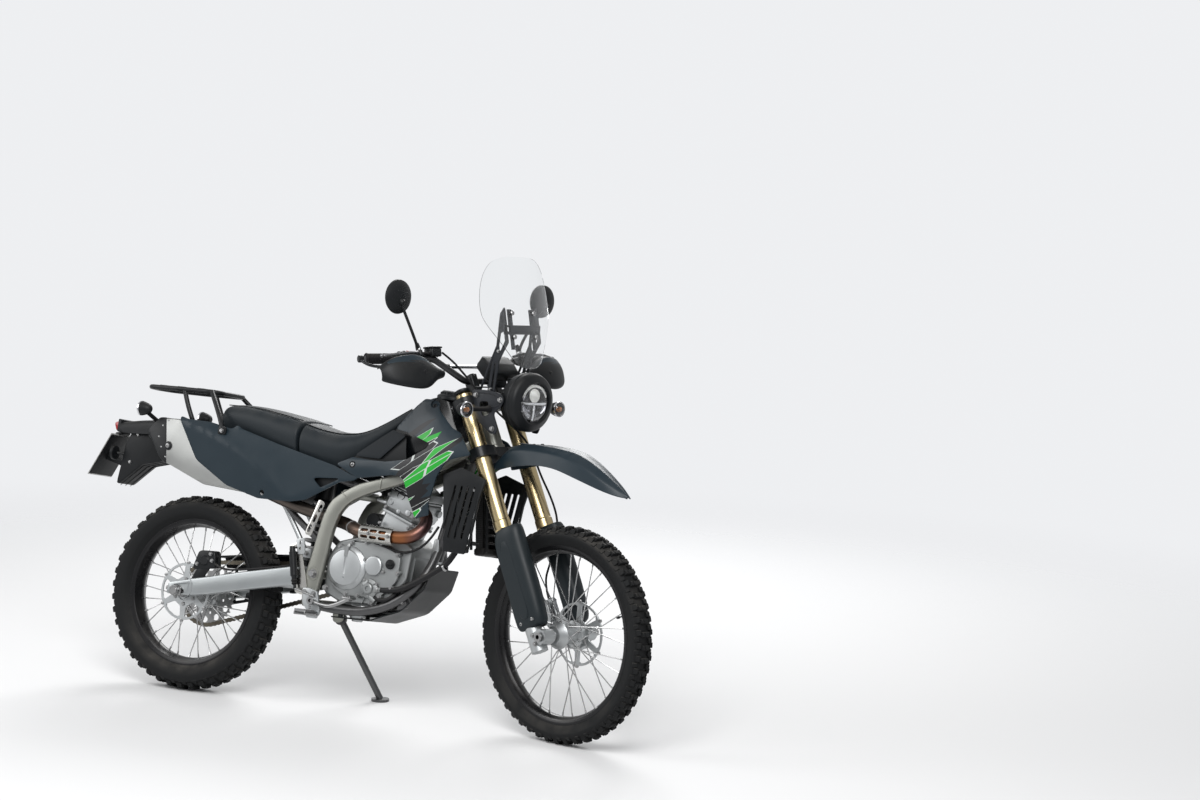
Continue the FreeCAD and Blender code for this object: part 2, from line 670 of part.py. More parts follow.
def lamp_cheeks():
    """Two side cheeks from the fork legs to the lamp."""
    cheek = side_plate([
        (1056, 1110, 8), (1110, 1110, 20), (1205, 1096, 10), (1200, 1066, 10), (1161, 1033, 14),
        (1181, 980, 10), (1150, 968, 10), (1096, 1000, 12), (1058, 1040, 10),
    ], CHEEK_Y - PANEL, CHEEK_Y)
    lug = Part.makeCylinder(10, 24, VEC(1170, CHEEK_Y - 25, 1073), AXIS_Y)
    leg = Part.makeCylinder(FORK_TUBE_RADIUS + SEAT, 400, leg_point(500), STEER_UP)
    clamp = steered_plate([(-40, 60, 0), (62, 60, 0), (62, 150, 0), (-40, 150, 0)],
                          UPPER_CLAMP_LEVEL - CLAMP_THICK / 2, UPPER_CLAMP_LEVEL + CLAMP_THICK / 2)
    half = fused([cheek, lug]).cut(leg).cut(clamp).cut(headlight_shell())
    return [half, mirrored(half)]


def screen_line(z):
    """The middle of the screen's outer face at one height."""
    share = (z - SCREEN_LOW) / (SCREEN_TOP - SCREEN_LOW)
    return SCREEN_LOW_X + share * (SCREEN_TOP_X - SCREEN_LOW_X)


def windscreen():
    """Clear sheet curved across, cut to its outline."""
    tilt = VEC(SCREEN_TOP_X - SCREEN_LOW_X, 0, SCREEN_TOP - SCREEN_LOW)
    rise = VEC(screen_line(SCREEN_LOW - 20), 0, SCREEN_LOW - 20)
    edge = VEC(-SCREEN_DROP, SCREEN_HALF, 0)
    inner = AXIS_X * -PANEL
    outer_arc = Part.Arc(rise + mirrored_point(edge), rise, rise + edge).toShape()
    inner_arc = Part.Arc(rise + edge + inner, rise + inner, rise + mirrored_point(edge) + inner).toShape()
    sides = [
        Part.LineSegment(rise + edge, rise + edge + inner).toShape(),
        Part.LineSegment(rise + mirrored_point(edge) + inner, rise + mirrored_point(edge)).toShape(),
    ]
    wire = Part.Wire([outer_arc, sides[0], inner_arc, sides[1]])
    sheet = Part.Face(wire).extrude(tilt * 1.15)
    half = [(26, 1180, 12), (60, 1188, 20), (109, 1268, 60), (164, 1330, 40), (148, 1480, 50), (70, 1534, 40)]
    outline = [(VEC(900, y, z), r) for y, z, r in half]
    outline += [(VEC(900, -y, z), r) for y, z, r in reversed(half)]
    prism = Part.Face(bent_wire(outline, closed=True)).extrude(AXIS_X * 500)
    return sheet.common(prism)


def front_bracket():
    """Lamp cheeks and, above them, the frame behind the screen."""
    stay = side_plate([
        (1100, 1090, 4), (1140, 1090, 4), (1150, 1200, 20), (screen_line(1262), 1262, 6),
        (screen_line(1372), 1372, 6), (screen_line(1372) - 30, 1360, 6), (1136, 1250, 20), (1116, 1180, 20),
    ], 72, 77)
    foot = Part.makeBox(40, CHEEK_Y - 73, 5, VEC(1100, 72, 1090))
    tie = rod(VEC(1150, -74, 1300), VEC(1150, 74, 1300), 5)
    frame = fused([stay, foot, mirrored(stay), mirrored(foot), tie] + lamp_cheeks())
    return frame.cut(windscreen()).cut(screen_front())


def screen_front():
    """The space ahead of the screen, which the bracket keeps out of."""
    far = VEC(screen_line(1000), 0, 1000)
    arc_low = VEC(-SCREEN_DROP, SCREEN_HALF, 0)
    arc = Part.Arc(far + mirrored_point(arc_low), far, far + arc_low).toShape()
    ahead = AXIS_X * 300
    wire = Part.Wire([
        arc, Part.LineSegment(far + arc_low, far + arc_low + ahead).toShape(),
        Part.LineSegment(far + arc_low + ahead, far + mirrored_point(arc_low) + ahead).toShape(),
        Part.LineSegment(far + mirrored_point(arc_low) + ahead, far + mirrored_point(arc_low)).toShape(),
    ])
    rise = VEC(screen_line(1600) - screen_line(1000), 0, 600)
    return Part.Face(wire).extrude(rise)


def instrument_panel():
    """Dash box behind the screen, leaned back towards the rider."""
    box = side_plate([(1030, 1176, 10), (1090, 1130, 10), (1116, 1160, 12), (1058, 1212, 12)], -62, 62)
    shelf = Part.makeBox(22, 2 * CHEEK_Y, 4, VEC(1070, -CHEEK_Y, 1110 + CLEAR))
    post = Part.makeBox(18, 60, 34, VEC(1072, -30, 1112))
    return fused([box, shelf, post])


def front_indicator():
    """Lamp on a short stem from the lamp's cheek."""
    stem = rod(VEC(1143, CHEEK_Y + SEAT, 1046), VEC(1143, 200, 1046), 7)
    lamp = turned(VEC(1150, 216, 1045), AXIS_X, [
        (-34, 0), (-34, 12), (-20, 22), (0, 26), (10, 26), (18, 20), (20, 0),
    ])
    return stem.fuse(lamp)


def front_caliper():
    """Brake caliper behind the left leg, over the edge of the disc."""
    centre = CALIPER_ALONG
    outer = steered_plate([
        (-66, FRONT_DISC_Y + 4, 8), (-2, FRONT_DISC_Y + 4, 8), (-2, FRONT_DISC_Y + 30, 8), (-66, FRONT_DISC_Y + 30, 8),
    ], centre - 46, centre + 46)
    inner = steered_plate([
        (-66, FRONT_DISC_Y - 24, 8), (-8, FRONT_DISC_Y - 24, 8), (-8, FRONT_DISC_Y - 4, 8),
        (-66, FRONT_DISC_Y - 4, 8),
    ], centre - 40, centre + 40)
    bridge = steered_plate([
        (-82, FRONT_DISC_Y - 24, 8), (-66, FRONT_DISC_Y - 24, 0), (-66, FRONT_DISC_Y + 30, 0),
        (-82, FRONT_DISC_Y + 30, 8),
    ], centre - 34, centre + 34)
    body = fused([outer, inner, bridge])
    lug = steered_plate([(-30, 82, 3), (FORK_OFFSET, 82, 3), (FORK_OFFSET, 96, 3), (-30, 96, 3)],
                        centre - 32, centre - 12)
    sleeve = Part.makeCylinder(SLEEVE_RADIUS + SEAT, 300, leg_point(-44), STEER_UP)
    disc_room = Part.makeCylinder(FRONT_DISC_RADIUS + 3, 8, FRONT_AXLE + AXIS_Y * (FRONT_DISC_Y - 4), AXIS_Y)
    return fused([body, lug]).cut(sleeve).cut(disc_room)


def front_brake_hose():
    """Hose from the lever's cylinder, round the lamp and down the left leg to the caliper."""
    points = [
        steered(962, 84, -205), steered(940, 78, -165), steered(905, 70, -126), steered(868, 66, -94),
        steered(820, 68, -66), steered(765, 78, -34), steered(715, 84, 10), steered(675, 85, 48),
        steered(620, 84, 76), steered(540, 80, 84), steered(460, 74, 110), steered(395, 50, 138),
        steered(335, 10, 147), steered(268, -32, 128), steered(212, -36, FRONT_DISC_Y + 24),
        steered(CALIPER_ALONG + 46.6, -34, FRONT_DISC_Y + 18),
    ]
    return tube(flowing(points), 3.5)


# Frame


def main_spar(side):
    """One side of the frame, from the steering head over the engine to the swingarm pivot."""
    rear = side_plate([
        (496, 330, 12), (530, 330, 10), (556, 420, 20), (575, 560, 40), (596, 646, 40), (640, 694, 40),
        (742, 735, 4), (742, 775, 4), (655, 752, 30), (560, 690, 40), (536, 640, 30), (516, 520, 40),
        (492, 420, 20),
    ], SPAR_INNER, SPAR_OUTER)
    rows = [(740, 735, 775, SPAR_INNER, SPAR_OUTER), (850, 778, 826, 84, 112), (956, 832, 886, 50, 78),
            (1044, 900, 962, 4, 30)]
    sections = []
    for x, low, high, inner, outer in rows:
        corners = [VEC(x, inner, low), VEC(x, outer, low), VEC(x, outer, high), VEC(x, inner, high)]
        sections.append(Part.makePolygon(corners + corners[:1]))
    front = Part.makeLoft(sections, True, True)
    spar = fused([rear, front])
    return spar if side > 0 else mirrored(spar)


def frame_spars():
    """Both spars, the steering head and the cross tubes that join them."""
    head_low = LOWER_CLAMP_LEVEL + CLAMP_THICK / 2 + 1
    head_top = UPPER_CLAMP_LEVEL - (CLAMP_THICK - 8) / 2 - 1
    head = Part.makeCylinder(HEAD_TUBE_RADIUS, head_top - head_low, STEER_FOOT + STEER_UP * head_low, STEER_UP)
    pivot_tube = rod(VEC(PIVOT_X, -SPAR_INNER - 2, PIVOT_Z), VEC(PIVOT_X, SPAR_INNER + 2, PIVOT_Z), 14)
    upper = rod(VEC(600, -SPAR_INNER - 2, 712), VEC(600, SPAR_INNER + 2, 712), 14)
    foot = rod(VEC(512, -SPAR_INNER - 2, 344), VEC(512, SPAR_INNER + 2, 344), 12)
    bore = Part.makeCylinder(STEM_RADIUS + CLEAR, head_top - head_low, STEER_FOOT + STEER_UP * head_low, STEER_UP)
    pieces = [main_spar(1), main_spar(-1), head, pivot_tube, upper, foot] + stand_lug()
    return fused(pieces).cut(bore)


def downtube():
    """Single tube down from the steering head to the fork of the cradle."""
    head = Part.makeCylinder(HEAD_TUBE_RADIUS + SEAT, 400, STEER_FOOT + STEER_UP * 500, STEER_UP)
    points = [VEC(1038, 0, 950), VEC(985, 0, 812), VEC(950, 0, 690), VEC(924, 0, 570), VEC(916, 0, 530)]
    return tube(flowing(points), DOWNTUBE_RADIUS).cut(head)


def frame_cradle():
    """Downtube and the two cradle tubes that run under the engine to the pivot plates."""
    points = [
        VEC(925, 6, 575), VEC(922, 40, 510), VEC(908, 80, 446), VEC(838, 90, 378), VEC(736, 92, 338),
        VEC(620, 86, 331), VEC(520, 84, 340),
    ]
    rail = tube(flowing(points), CRADLE_RADIUS)
    cross = rod(VEC(745, -92, 340), VEC(745, 92, 340), 10)
    return fused([downtube(), rail, mirrored(rail), cross]).cut(frame_spars())


def subframe():
    """Bolted rear frame: seat rails, struts and cross tubes."""
    rail = tube(flowing([VEC(632, 80, 742), VEC(470, 84, 776), VEC(250, 80, 822), VEC(110, 66, 844),
                         VEC(20, 58, 852), VEC(-150, 48, 864)]), SUBFRAME_RADIUS)
    strut = tube(flowing([VEC(534, 60, 524), VEC(430, 60, 592), VEC(300, 60, 692), VEC(110, 62, 836)]),
                 SUBFRAME_RADIUS)
    crosses = [rod(VEC(x, -y, z), VEC(x, y, z), 9) for x, y, z in
               [(-140, 48, 863), (110, 64, 843), (470, 84, 776)]]
    shoes = [rod(VEC(540, 58, 522), VEC(540, SPAR_INNER, 522), 10),
             rod(VEC(632, 80, 742), VEC(632, SPAR_INNER, 742), 10)]
    half = [rail, strut] + shoes
    return fused(half + [mirrored(piece) for piece in half] + crosses)


def skid_plate():
    """Folded alloy plate under the cradle."""
    line = [(596, 306, 0), (740, 308, 60), (856, 352, 60), (934, 432, 40), (952, 500, 0)]
    outer = [(VEC(x, -SKID_HALF, z), r) for x, z, r in line]
    inner = [(VEC(x - 2, -SKID_HALF, z + PANEL), r) for x, z, r in reversed(line)]
    plate = Part.Face(bent_wire(outer + inner, closed=True)).extrude(AXIS_Y * 2 * SKID_HALF)
    lugs = []
    for side in (1, -1):
        lugs.append(rod(VEC(630, side * 86, 308), VEC(630, side * 86, 330), 8))
        lugs.append(rod(VEC(884, side * 82, 384), VEC(874, side * 84, 402), 8))
    return fused([plate] + lugs).cut(frame_cradle())


# Engine


def crankcase():
    """Wide cases above the cradle tubes, and the narrower sump between them."""
    wide = side_plate([
        (556, 384, 16), (620, 358, 20), (730, 362, 40), (812, 388, 40), (862, 450, 40), (872, 560, 24),
        (830, 592, 10), (704, 600, 10), (650, 574, 20), (590, 556, 30), (552, 500, 24),
    ], -CASE_HALF, CASE_HALF)
    wide = rounded_edges(wide, 8, 1, -CASE_HALF)
    wide = rounded_edges(wide, 8, 1, CASE_HALF)
    sump = side_plate([
        (600, 354, 20), (800, 354, 40), (864, 402, 40), (876, 540, 20), (600, 540, 20),
    ], -SUMP_HALF, SUMP_HALF)
    core = wide.fuse(sump)
    room = rod(VEC(DRIVE_X, CHAIN_Y - 14, DRIVE_Z), VEC(DRIVE_X, CASE_HALF + 2, DRIVE_Z), DRIVE_PITCH_RADIUS + 16)
    slot = Part.makeBox(100, CASE_HALF - CHAIN_Y + 16, 2 * DRIVE_PITCH_RADIUS + 60,
                        VEC(DRIVE_X - 100, CHAIN_Y - 14, DRIVE_Z - DRIVE_PITCH_RADIUS - 44))
    return core.cut(room).cut(slot)


def engine_cases():
    """Crankcase with the drive sprocket on its shaft."""
    return fused([crankcase(), drive_sprocket()])


def cylinder_and_head():
    """Water cooled barrel and head, leaned forward."""
    def block(low, high, back, front, half, radius):
        rows = [(back, low, 0), (front, low, 0), (front, high, radius), (back, high, radius)]
        return side_plate(rows, -half, half)
    barrel = block(0, 74, -62, 62, 62, 0)
    deck = block(70, 78, -70, 68, 70, 0)
    head = block(78, 150, -78, 76, 74, 10)
    cover = rounded_edges(block(150, 196, -66, 66, 66, 22), 10, 1, -66)
    joined = fused([barrel, deck, head, rounded_edges(cover, 10, 1, 66)])
    joined.rotate(ORIGIN, AXIS_Y, CYLINDER_LEAN)
    joined.translate(VEC(762, 0, 586))
    return joined.cut(crankcase())


def round_cover(x, z, radius, y_seat, depth, side):
    """Domed round cover on the side of the crankcase: side is 1 for left, -1 for right."""
    return turned(VEC(x, side * y_seat, z), AXIS_Y * side, [
        (0, 0), (0, radius), (depth * 0.55, radius), (depth * 0.8, radius - 5), (depth, radius - 16),
        (depth * 0.86, radius - 22), (depth * 0.86, 12), (depth, 8), (depth, 0),
    ])


def engine_cover_right():
    """Clutch cover, oil filter cover and water pump on one casting."""
    plate = side_plate([
        (584, 410, 40), (640, 382, 40), (776, 388, 40), (836, 446, 40), (840, 530, 30), (760, 566, 30),
        (650, 560, 40), (586, 520, 40),
    ], -CASE_HALF - 14, -CASE_HALF)
    covers = [
        round_cover(642, 473, 71, CASE_HALF, COVER_DEPTH, -1),
        round_cover(745, 489, 32, CASE_HALF, COVER_DEPTH - 4, -1),
        round_cover(738, 414, 32, CASE_HALF, COVER_DEPTH + 2, -1),
    ]
    return fused([plate] + covers)


def engine_cover_left():
    """Generator cover and the cover of the drive sprocket."""
    plate = side_plate([
        (660, 384, 30), (776, 388, 40), (838, 446, 40), (842, 530, 30), (770, 560, 30), (664, 540, 30),
    ], CASE_HALF, CASE_HALF + 12)
    generator = round_cover(765, 460, 72, CASE_HALF, COVER_DEPTH - 2, 1)
    sprocket_cover = side_plate([
        (560, 424, 20), (600, 388, 40), (662, 400, 20), (668, 510, 30), (600, 522, 30), (566, 500, 20),
    ], CASE_HALF, CASE_HALF + 6)
    return fused([plate, generator, sprocket_cover])


def drive_sprocket():
    base = VEC(DRIVE_X, CHAIN_Y - SPROCKET_THICK / 2, DRIVE_Z)
    wheel = Part.makeCylinder(DRIVE_PITCH_RADIUS + 4, SPROCKET_THICK, base, AXIS_Y)
    shaft = Part.makeCylinder(13, 30, base - AXIS_Y * 15, AXIS_Y)
    return wheel.fuse(shaft)


def exhaust_header():
    points = [
        VEC(846, -40, 690), VEC(892, -60, 678), VEC(914, -94, 636), VEC(890, -122, 598), HEADER_FRONT,
        HEADER_BACK, VEC(640, -98, 606), VEC(596, -71, 616), VEC(540, -70, 626), VEC(460, -80, 642),
        VEC(370, -98, 666), VEC(262, -108, 700),
    ]
    return tube(flowing(points), PIPE_RADIUS).cut(cylinder_and_head())


def heat_shield():
    """Slotted half shell over the side of the pipe."""
    start = HEADER_FRONT + (HEADER_BACK - HEADER_FRONT) * 0.18
    end = HEADER_FRONT + (HEADER_BACK - HEADER_FRONT) * 0.86
    shell = rod(start, end, PIPE_RADIUS + 8).cut(rod(start, end, PIPE_RADIUS + 5))
    keep = Part.makeBox(160, 40, 100, VEC(660, -168, 540))
    slots = []
    for index in range(7):
        for turn in (-28, 28):
            slot = Part.makeBox(11, 30, 5, VEC(-5.5, -PIPE_RADIUS - 30, -2.5))
            slot.rotate(ORIGIN, AXIS_X, turn)
            slot.translate(start + (end - start) * ((index + 1) / 8))
            slots.append(slot)
    shell = shell.cut(fused(slots))
    feet = [rod(start + (end - start) * t + AXIS_Y * -(PIPE_RADIUS + 0.2), start + (end - start) * t
                + AXIS_Y * -(PIPE_RADIUS + 7), 5) for t in (0.2, 0.8)]
    return fused([shell.common(keep)] + feet).cut(exhaust_header())


def muffler():
    """Flat sided silencer that rises to the tail on the right."""
    rows = [
        (262, 676, 16), (60, 690, 60), (-113, 753, 20), (-135, 772, 12), (-190, 852, 16), (-146, 898, 20),
        (-60, 900, 60), (90, 812, 80), (262, 748, 16),
    ]
    body = side_plate(rows, -MUFFLER_OUTER, -MUFFLER_INNER)
    body = rounded_edges(body, 15, 1, -MUFFLER_OUTER)
    body = rounded_edges(body, 12, 1, -MUFFLER_INNER)
    hook = rod(VEC(130, -MUFFLER_INNER - 6, 770), VEC(126, -66, 842), 6)
    return fused([body, hook]).cut(exhaust_header()).cut(subframe())


def radiator():
    """One cooler beside the downtube, leaned and slanted to face the air."""
    core = side_plate([(1022, 570, 4), (1062, 570, 4), (1030, 800, 4), (990, 800, 4)], 50, 146)
    cheek = side_plate([(1020, 563, 6), (1100, 560, 8), (1122, 740, 10), (1140, 806, 8), (1050, 836, 10),
                        (986, 806, 8)], 146, 150)
    tanks = [side_plate([(1018, 566, 8), (1066, 566, 8), (1063, 592, 8), (1016, 592, 8)], 48, 148),
             side_plate([(989, 780, 8), (1034, 780, 8), (1032, 808, 8), (985, 808, 8)], 48, 148)]
    arms = [rod(VEC(930, 6, 600), VEC(1030, 60, 600), 7), rod(VEC(984, 6, 784), VEC(1010, 60, 784), 7)]
    return fused([core, cheek] + tanks + arms).cut(frame_cradle())


# Chain line and rear end


def coolant_elbows():
    """Moulded elbows: from the right cooler down to the pump, and from the head to the left cooler."""
    low = [VEC(1040, -98, 570), VEC(1010, -100, 520), VEC(940, -104, 470), VEC(860, -108, 424), VEC(800, -100, 414),
           VEC(756, -96, 414)]
    high = [VEC(842, 40, 722), VEC(890, 46, 756), VEC(950, 52, 770), VEC(1002, 62, 786)]
    elbows = [tube(flowing(low), ELBOW_RADIUS), tube(flowing(high), ELBOW_RADIUS)]
    others = fused([radiator(), mirrored(radiator())])
    room = fused([cylinder_and_head(), engine_cover_right(), crankcase()])
    return [elbow.cut(others).cut(room) for elbow in elbows]


def loop_outline(radius_rear, radius_drive):
    """Outline round both sprockets: the outer tangents joined by two arcs."""
    rear = VEC(0, 0, REAR_RADIUS)
    drive = VEC(DRIVE_X, 0, DRIVE_Z)
    span = drive - rear
    slope = math.atan2(span.z, span.x)
    spread = math.acos((radius_rear - radius_drive) / span.Length)
    def on(centre, radius, angle):
        return centre + VEC(math.cos(angle), 0, math.sin(angle)) * radius
    top_rear = on(rear, radius_rear, slope + spread)
    top_drive = on(drive, radius_drive, slope + spread)
    low_rear = on(rear, radius_rear, slope - spread)
    low_drive = on(drive, radius_drive, slope - spread)
    return [
        Part.LineSegment(top_rear, top_drive).toShape(),
        Part.Arc(top_drive, on(drive, radius_drive, slope), low_drive).toShape(),
        Part.LineSegment(low_drive, low_rear).toShape(),
        Part.Arc(low_rear, on(rear, radius_rear, slope + math.pi), top_rear).toShape(),
    ]


def chain():
    """Two rows of side plates as strips, joined by the rollers of the straight runs."""
    path = Part.Wire(loop_outline(REAR_PITCH_RADIUS, DRIVE_PITCH_RADIUS))
    links = 2 * round(path.Length / CHAIN_PITCH / 2)
    line = path.discretize(Number=2 * links + 1)[:-1]
    outlines = []
    for side in (1, -1):
        points = []
        for index, spot in enumerate(line):
            ahead = unit(line[(index + 1) % len(line)] - line[index - 1])
            waist = CHAIN_HEIGHT / 2 - (CHAIN_WAIST if index % 2 else 0)
            points.append(spot + VEC(ahead.z, 0, -ahead.x) * (side * waist))
        outlines.append(Part.Face(Part.makePolygon(points + points[:1])))
    large, small = sorted(outlines, key=lambda face: -face.Area)
    strip = large.cut(small).extrude(AXIS_Y * CHAIN_PLATE)
    pieces = [strip.translated(AXIS_Y * (CHAIN_Y + CHAIN_GAP)),
              strip.translated(AXIS_Y * (CHAIN_Y - CHAIN_GAP - CHAIN_PLATE))]
    runs = loop_outline(REAR_PITCH_RADIUS, DRIVE_PITCH_RADIUS)
    for run in (runs[0], runs[2]):
        start, end = run.Vertexes[0].Point, run.Vertexes[-1].Point
        count = int((end - start).Length / CHAIN_PITCH / 2)
        for index in range(1, count):
            spot = start + (end - start) * (index / count)
            if min((spot - REAR_AXLE).Length - REAR_PITCH_RADIUS,
                   (spot - VEC(DRIVE_X, 0, DRIVE_Z)).Length - DRIVE_PITCH_RADIUS) > 16:
                corners = [spot + VEC(math.cos(i * math.pi / 3), 0, math.sin(i * math.pi / 3)) * ROLLER_RADIUS
                           for i in range(6)]
                roller = Part.Face(Part.makePolygon(corners + corners[:1])).extrude(AXIS_Y * (2 * CHAIN_GAP))
                pieces.append(roller.translated(AXIS_Y * (CHAIN_Y - CHAIN_GAP)))
    return fused(pieces)


def swingarm():
    """Two box arms joined by a yoke ahead of the tyre."""
    arm = side_plate([
        (-38, 312, 14), (60, 314, 20), (230, 350, 80), (436, 392, 20), (PIVOT_X + 24, PIVOT_Z - 24, 20),
        (PIVOT_X + 24, PIVOT_Z + 22, 20), (PIVOT_X - 40, PIVOT_Z + 22, 20), (230, 414, 80), (60, 370, 20),
        (-38, 350, 14),
    ], ARM_INNER, ARM_OUTER)
    arm = arm.cut(main_spar(1)).cut(side_plate(
        [(470, 340, 0), (600, 340, 0), (600, 600, 0), (470, 600, 0)], SPAR_INNER - SEAT, ARM_OUTER + 10))
    axle_hole = rod(REAR_AXLE - AXIS_Y * 200, REAR_AXLE + AXIS_Y * 200, REAR_AXLE_RADIUS + SEAT)
    yoke = side_plate([(366, 380, 10), (446, 392, 10), (466, 436, 14), (430, 448, 14), (366, 430, 14)],
                      -ARM_INNER - 2, ARM_INNER + 2)
    pivot_hole = rod(VEC(PIVOT_X, -200, PIVOT_Z), VEC(PIVOT_X, 200, PIVOT_Z), 14 + SEAT)
    return fused([arm, mirrored(arm), yoke]).cut(axle_hole).cut(pivot_hole)


def shock_absorber():
    """Damper and spring between the swingarm yoke and the frame."""
    low, top = VEC(424, 0, 446), VEC(470, 0, 776 - 9)
    axis = unit(top - low)
    length = (top - low).Length
    rows = [(0, 0), (0, 14), (34, 14), (34, 36)]
    coils = 8
    pitch = (length - 120) / coils
    for index in range(coils):
        start = 40 + index * pitch
        rows += [(start, 28), (start + pitch * 0.3, 36), (start + pitch * 0.6, 36), (start + pitch * 0.9, 28)]
    rows += [(length - 76, 36), (length - 70, 36), (length - 70, 24), (length - 10, 24), (length - 10, 0)]
    eye = rod(top - axis * 12, top - axis * 2, 10)
    return turned(low, axis, rows).fuse(eye).cut(swingarm()).cut(subframe())


def chain_guard():
    """Long cover over the top run of the chain, on the left arm."""
    sheet = side_plate([
        (30, 452, 10), (190, 474, 20), (400, 494, 10), (404, 500, 3), (190, 481, 20), (28, 459, 6),
    ], CHAIN_Y - 6, ARM_INNER + 8)
    lip = side_plate([(40, 420, 8), (390, 440, 8), (404, 500, 4), (190, 481, 20), (28, 459, 6)],
                     ARM_INNER + 8, ARM_INNER + 11)
    foot = side_plate([(200, 400, 4), (230, 400, 4), (230, 446, 4), (200, 446, 4)], ARM_INNER + 4, ARM_INNER + 9)
    return fused([sheet, lip, foot]).cut(swingarm())


def rear_caliper():
    """Caliper on the right arm, over the top edge of the rear disc."""
    disc_room = rod(VEC(0, REAR_DISC_Y - 4, REAR_RADIUS), VEC(0, REAR_DISC_Y + 4, REAR_RADIUS), REAR_DISC_RADIUS + 3)
    body = side_plate([(30, 404, 10), (124, 416, 10), (116, 474, 18), (50, 470, 18)],
                      REAR_DISC_Y - 24, REAR_DISC_Y + 20)
    lug = side_plate([(20, 350, 8), (60, 352, 8), (104, 420, 8), (60, 430, 8)], -ARM_INNER - SEAT, -ARM_INNER + 8)
    return fused([body, lug]).cut(disc_room).cut(swingarm())


def footpeg(side):
    """Cast bracket on the pivot plate with the peg and its toothed tread."""
    bracket = side_plate([(500, 392, 10), (560, 384, 10), (574, 312, 14), (544, 302, 14), (508, 340, 20)],
                         SPAR_OUTER + SEAT, SPAR_OUTER + 12)
    peg = Part.makeBox(44, 92, 18, VEC(534, SPAR_OUTER + 8, 300))
    ribs = [Part.makeBox(4, 84, 10, VEC(538 + step * 12, SPAR_OUTER + 14, 314)) for step in range(4)]
    guard = side_plate([(426, 524, 10), (466, 540, 10), (506, 420, 10), (516, 380, 8), (498, 366, 8), (470, 372, 10)],
                       SPAR_OUTER + SEAT, SPAR_OUTER + 4)
    for level in (500, 470, 440, 410):
        guard = guard.cut(Part.makeBox(24, 20, 10, VEC(477 - (level - 410) * 0.25 - 12, SPAR_OUTER - 5, level)))
    piece = fused([bracket, peg] + ribs + ([] if side > 0 else [guard]))
    return piece if side > 0 else mirrored(piece)


def brake_pedal():
    """Pedal on the right, from its pivot above the peg to the pad ahead of it."""
    path = [VEC(548, -144, 352), VEC(600, -150, 340), VEC(650, -156, 350), VEC(694, -158, 372)]
    arm = tube(flowing(path), 6)
    pivot = rod(VEC(548, -SPAR_OUTER - 12, 352), VEC(548, -150, 352), 10)
    pad = Part.makeBox(34, 40, 8, VEC(682, -180, 368))
    return fused([arm, pivot, pad])


def gear_lever():
    path = [VEC(688, CASE_HALF + 22, 392), VEC(700, CASE_HALF + 40, 388), VEC(680, 146, 370), VEC(700, 156, 380),
            VEC(724, 158, 398)]
    shaft = rod(VEC(688, CASE_HALF + 12, 392), VEC(688, CASE_HALF + 30, 392), 9)
    toe = rod(VEC(724, 150, 398), VEC(724, 188, 398), 8)
    return fused([tube(flowing(path), 5), shaft, toe])


# Bodywork


def fuel_tank():
    """Upper tank from the seat's nose to the steering head."""
    table = [
        (636, 60, 72, 40, 812, 858, 880), (740, 84, 102, 56, 802, 908, 946), (800, 88, 112, 64, 814, 938, 1018),
        (846, 92, 122, 74, 830, 960, 1056),
        (940, 84, 124, 76, 876, 970, 1067), (988, 60, 96, 50, 905, 985, 1046),
    ]
    sections = []
    for x, low_half, mid_half, top_half, low, mid, top in table:
        sections.append(hoop(x, [(low_half, low, 14), (mid_half, mid, 40), (top_half, top, 30)]))
    body = Part.makeLoft(sections, True, True)
    cap = turned(VEC(906, 0, 1056), unit(VEC(-0.08, 0, 1)), [
        (0, 0), (0, 36), (16, 36), (20, 32), (20, 12), (24, 10), (24, 0),
    ])
    return body.fuse(cap).cut(frame_spars()).cut(fork_room())


def fork_room():
    """Space that the fork legs and clamps sweep beside the steering head at full lock."""
    low, high = 560, 960
    sweep = Part.makeCylinder(FORK_SWEEP, high - low, steered(low, 0, 0), STEER_UP)
    rows = both_ways([(-FORK_SWEEP - 10, 74, 0), (-92, 46, 0), (-56, 6, 0)])
    return sweep.cut(steered_plate(rows, low, high))


def seat():
    """Long two part seat, plain and closed, on the rails of the rear frame."""
    table = [
        (84, 88, 104, 40, 880, 938, 962), (200, 96, 118, 60, 836, 940, 975), (392, 104, 128, 70, 796, 900, 940),
        (540, 96, 112, 56, 780, 870, 914), (630, 70, 84, 44, 840, 896, 926), (705, 58, 74, 44, 884, 934, 968),
        (780, 42, 56, 32, 960, 990, 1020),
    ]
    sections = []
    for x, low_half, mid_half, top_half, low, mid, top in table:
        sections.append(hoop(x, [(low_half, low, 10), (mid_half, mid, 24), (top_half, top, 24)]))
    return Part.makeLoft(sections, True, True).cut(subframe()).cut(fuel_tank())


def side_cover():
    """Left side cover, with a crease from the tail to its lower corner."""
    sheet = skin([(-74, 150, 141), (100, 158, 144), (300, 152, 136), (500, 132, 124), (670, 132, 126)],
                 650, 915, -AXIS_Y)
    outline = side_plate([
        (-66, 912, 6), (60, 904, 60), (167, 890, 60), (335, 848, 80), (557, 800, 20), (655, 768, 8),
        (640, 757, 10), (589, 747, 30), (415, 665, 30), (290, 664, 60), (157, 696, 80), (23, 770, 60),
    ], 60, 200)
    bosses = [rod(VEC(470, 93, 776), VEC(470, 128, 776), 7), rod(VEC(150, 79, 842), VEC(150, 144, 846), 7)]
    return fused([sheet.common(outline)] + [boss.cut(subframe()) for boss in bosses])


def tank_side():
    """Textured panel beside the seat's nose, under the tank."""
    sheet = skin([(600, 112, 100), (740, 124, 112), (840, 130, 120)], 780, 945, -AXIS_Y)
    outline = side_plate([(566, 806, 6), (652, 768, 8), (835, 798, 8), (815, 920, 10), (752, 938, 12), (623, 838, 20)],
                         60, 200)
    boss = rod(VEC(750, 90, 890), VEC(750, 116, 890), 7)
    return sheet.common(outline).fuse(boss).cut(fuel_tank())


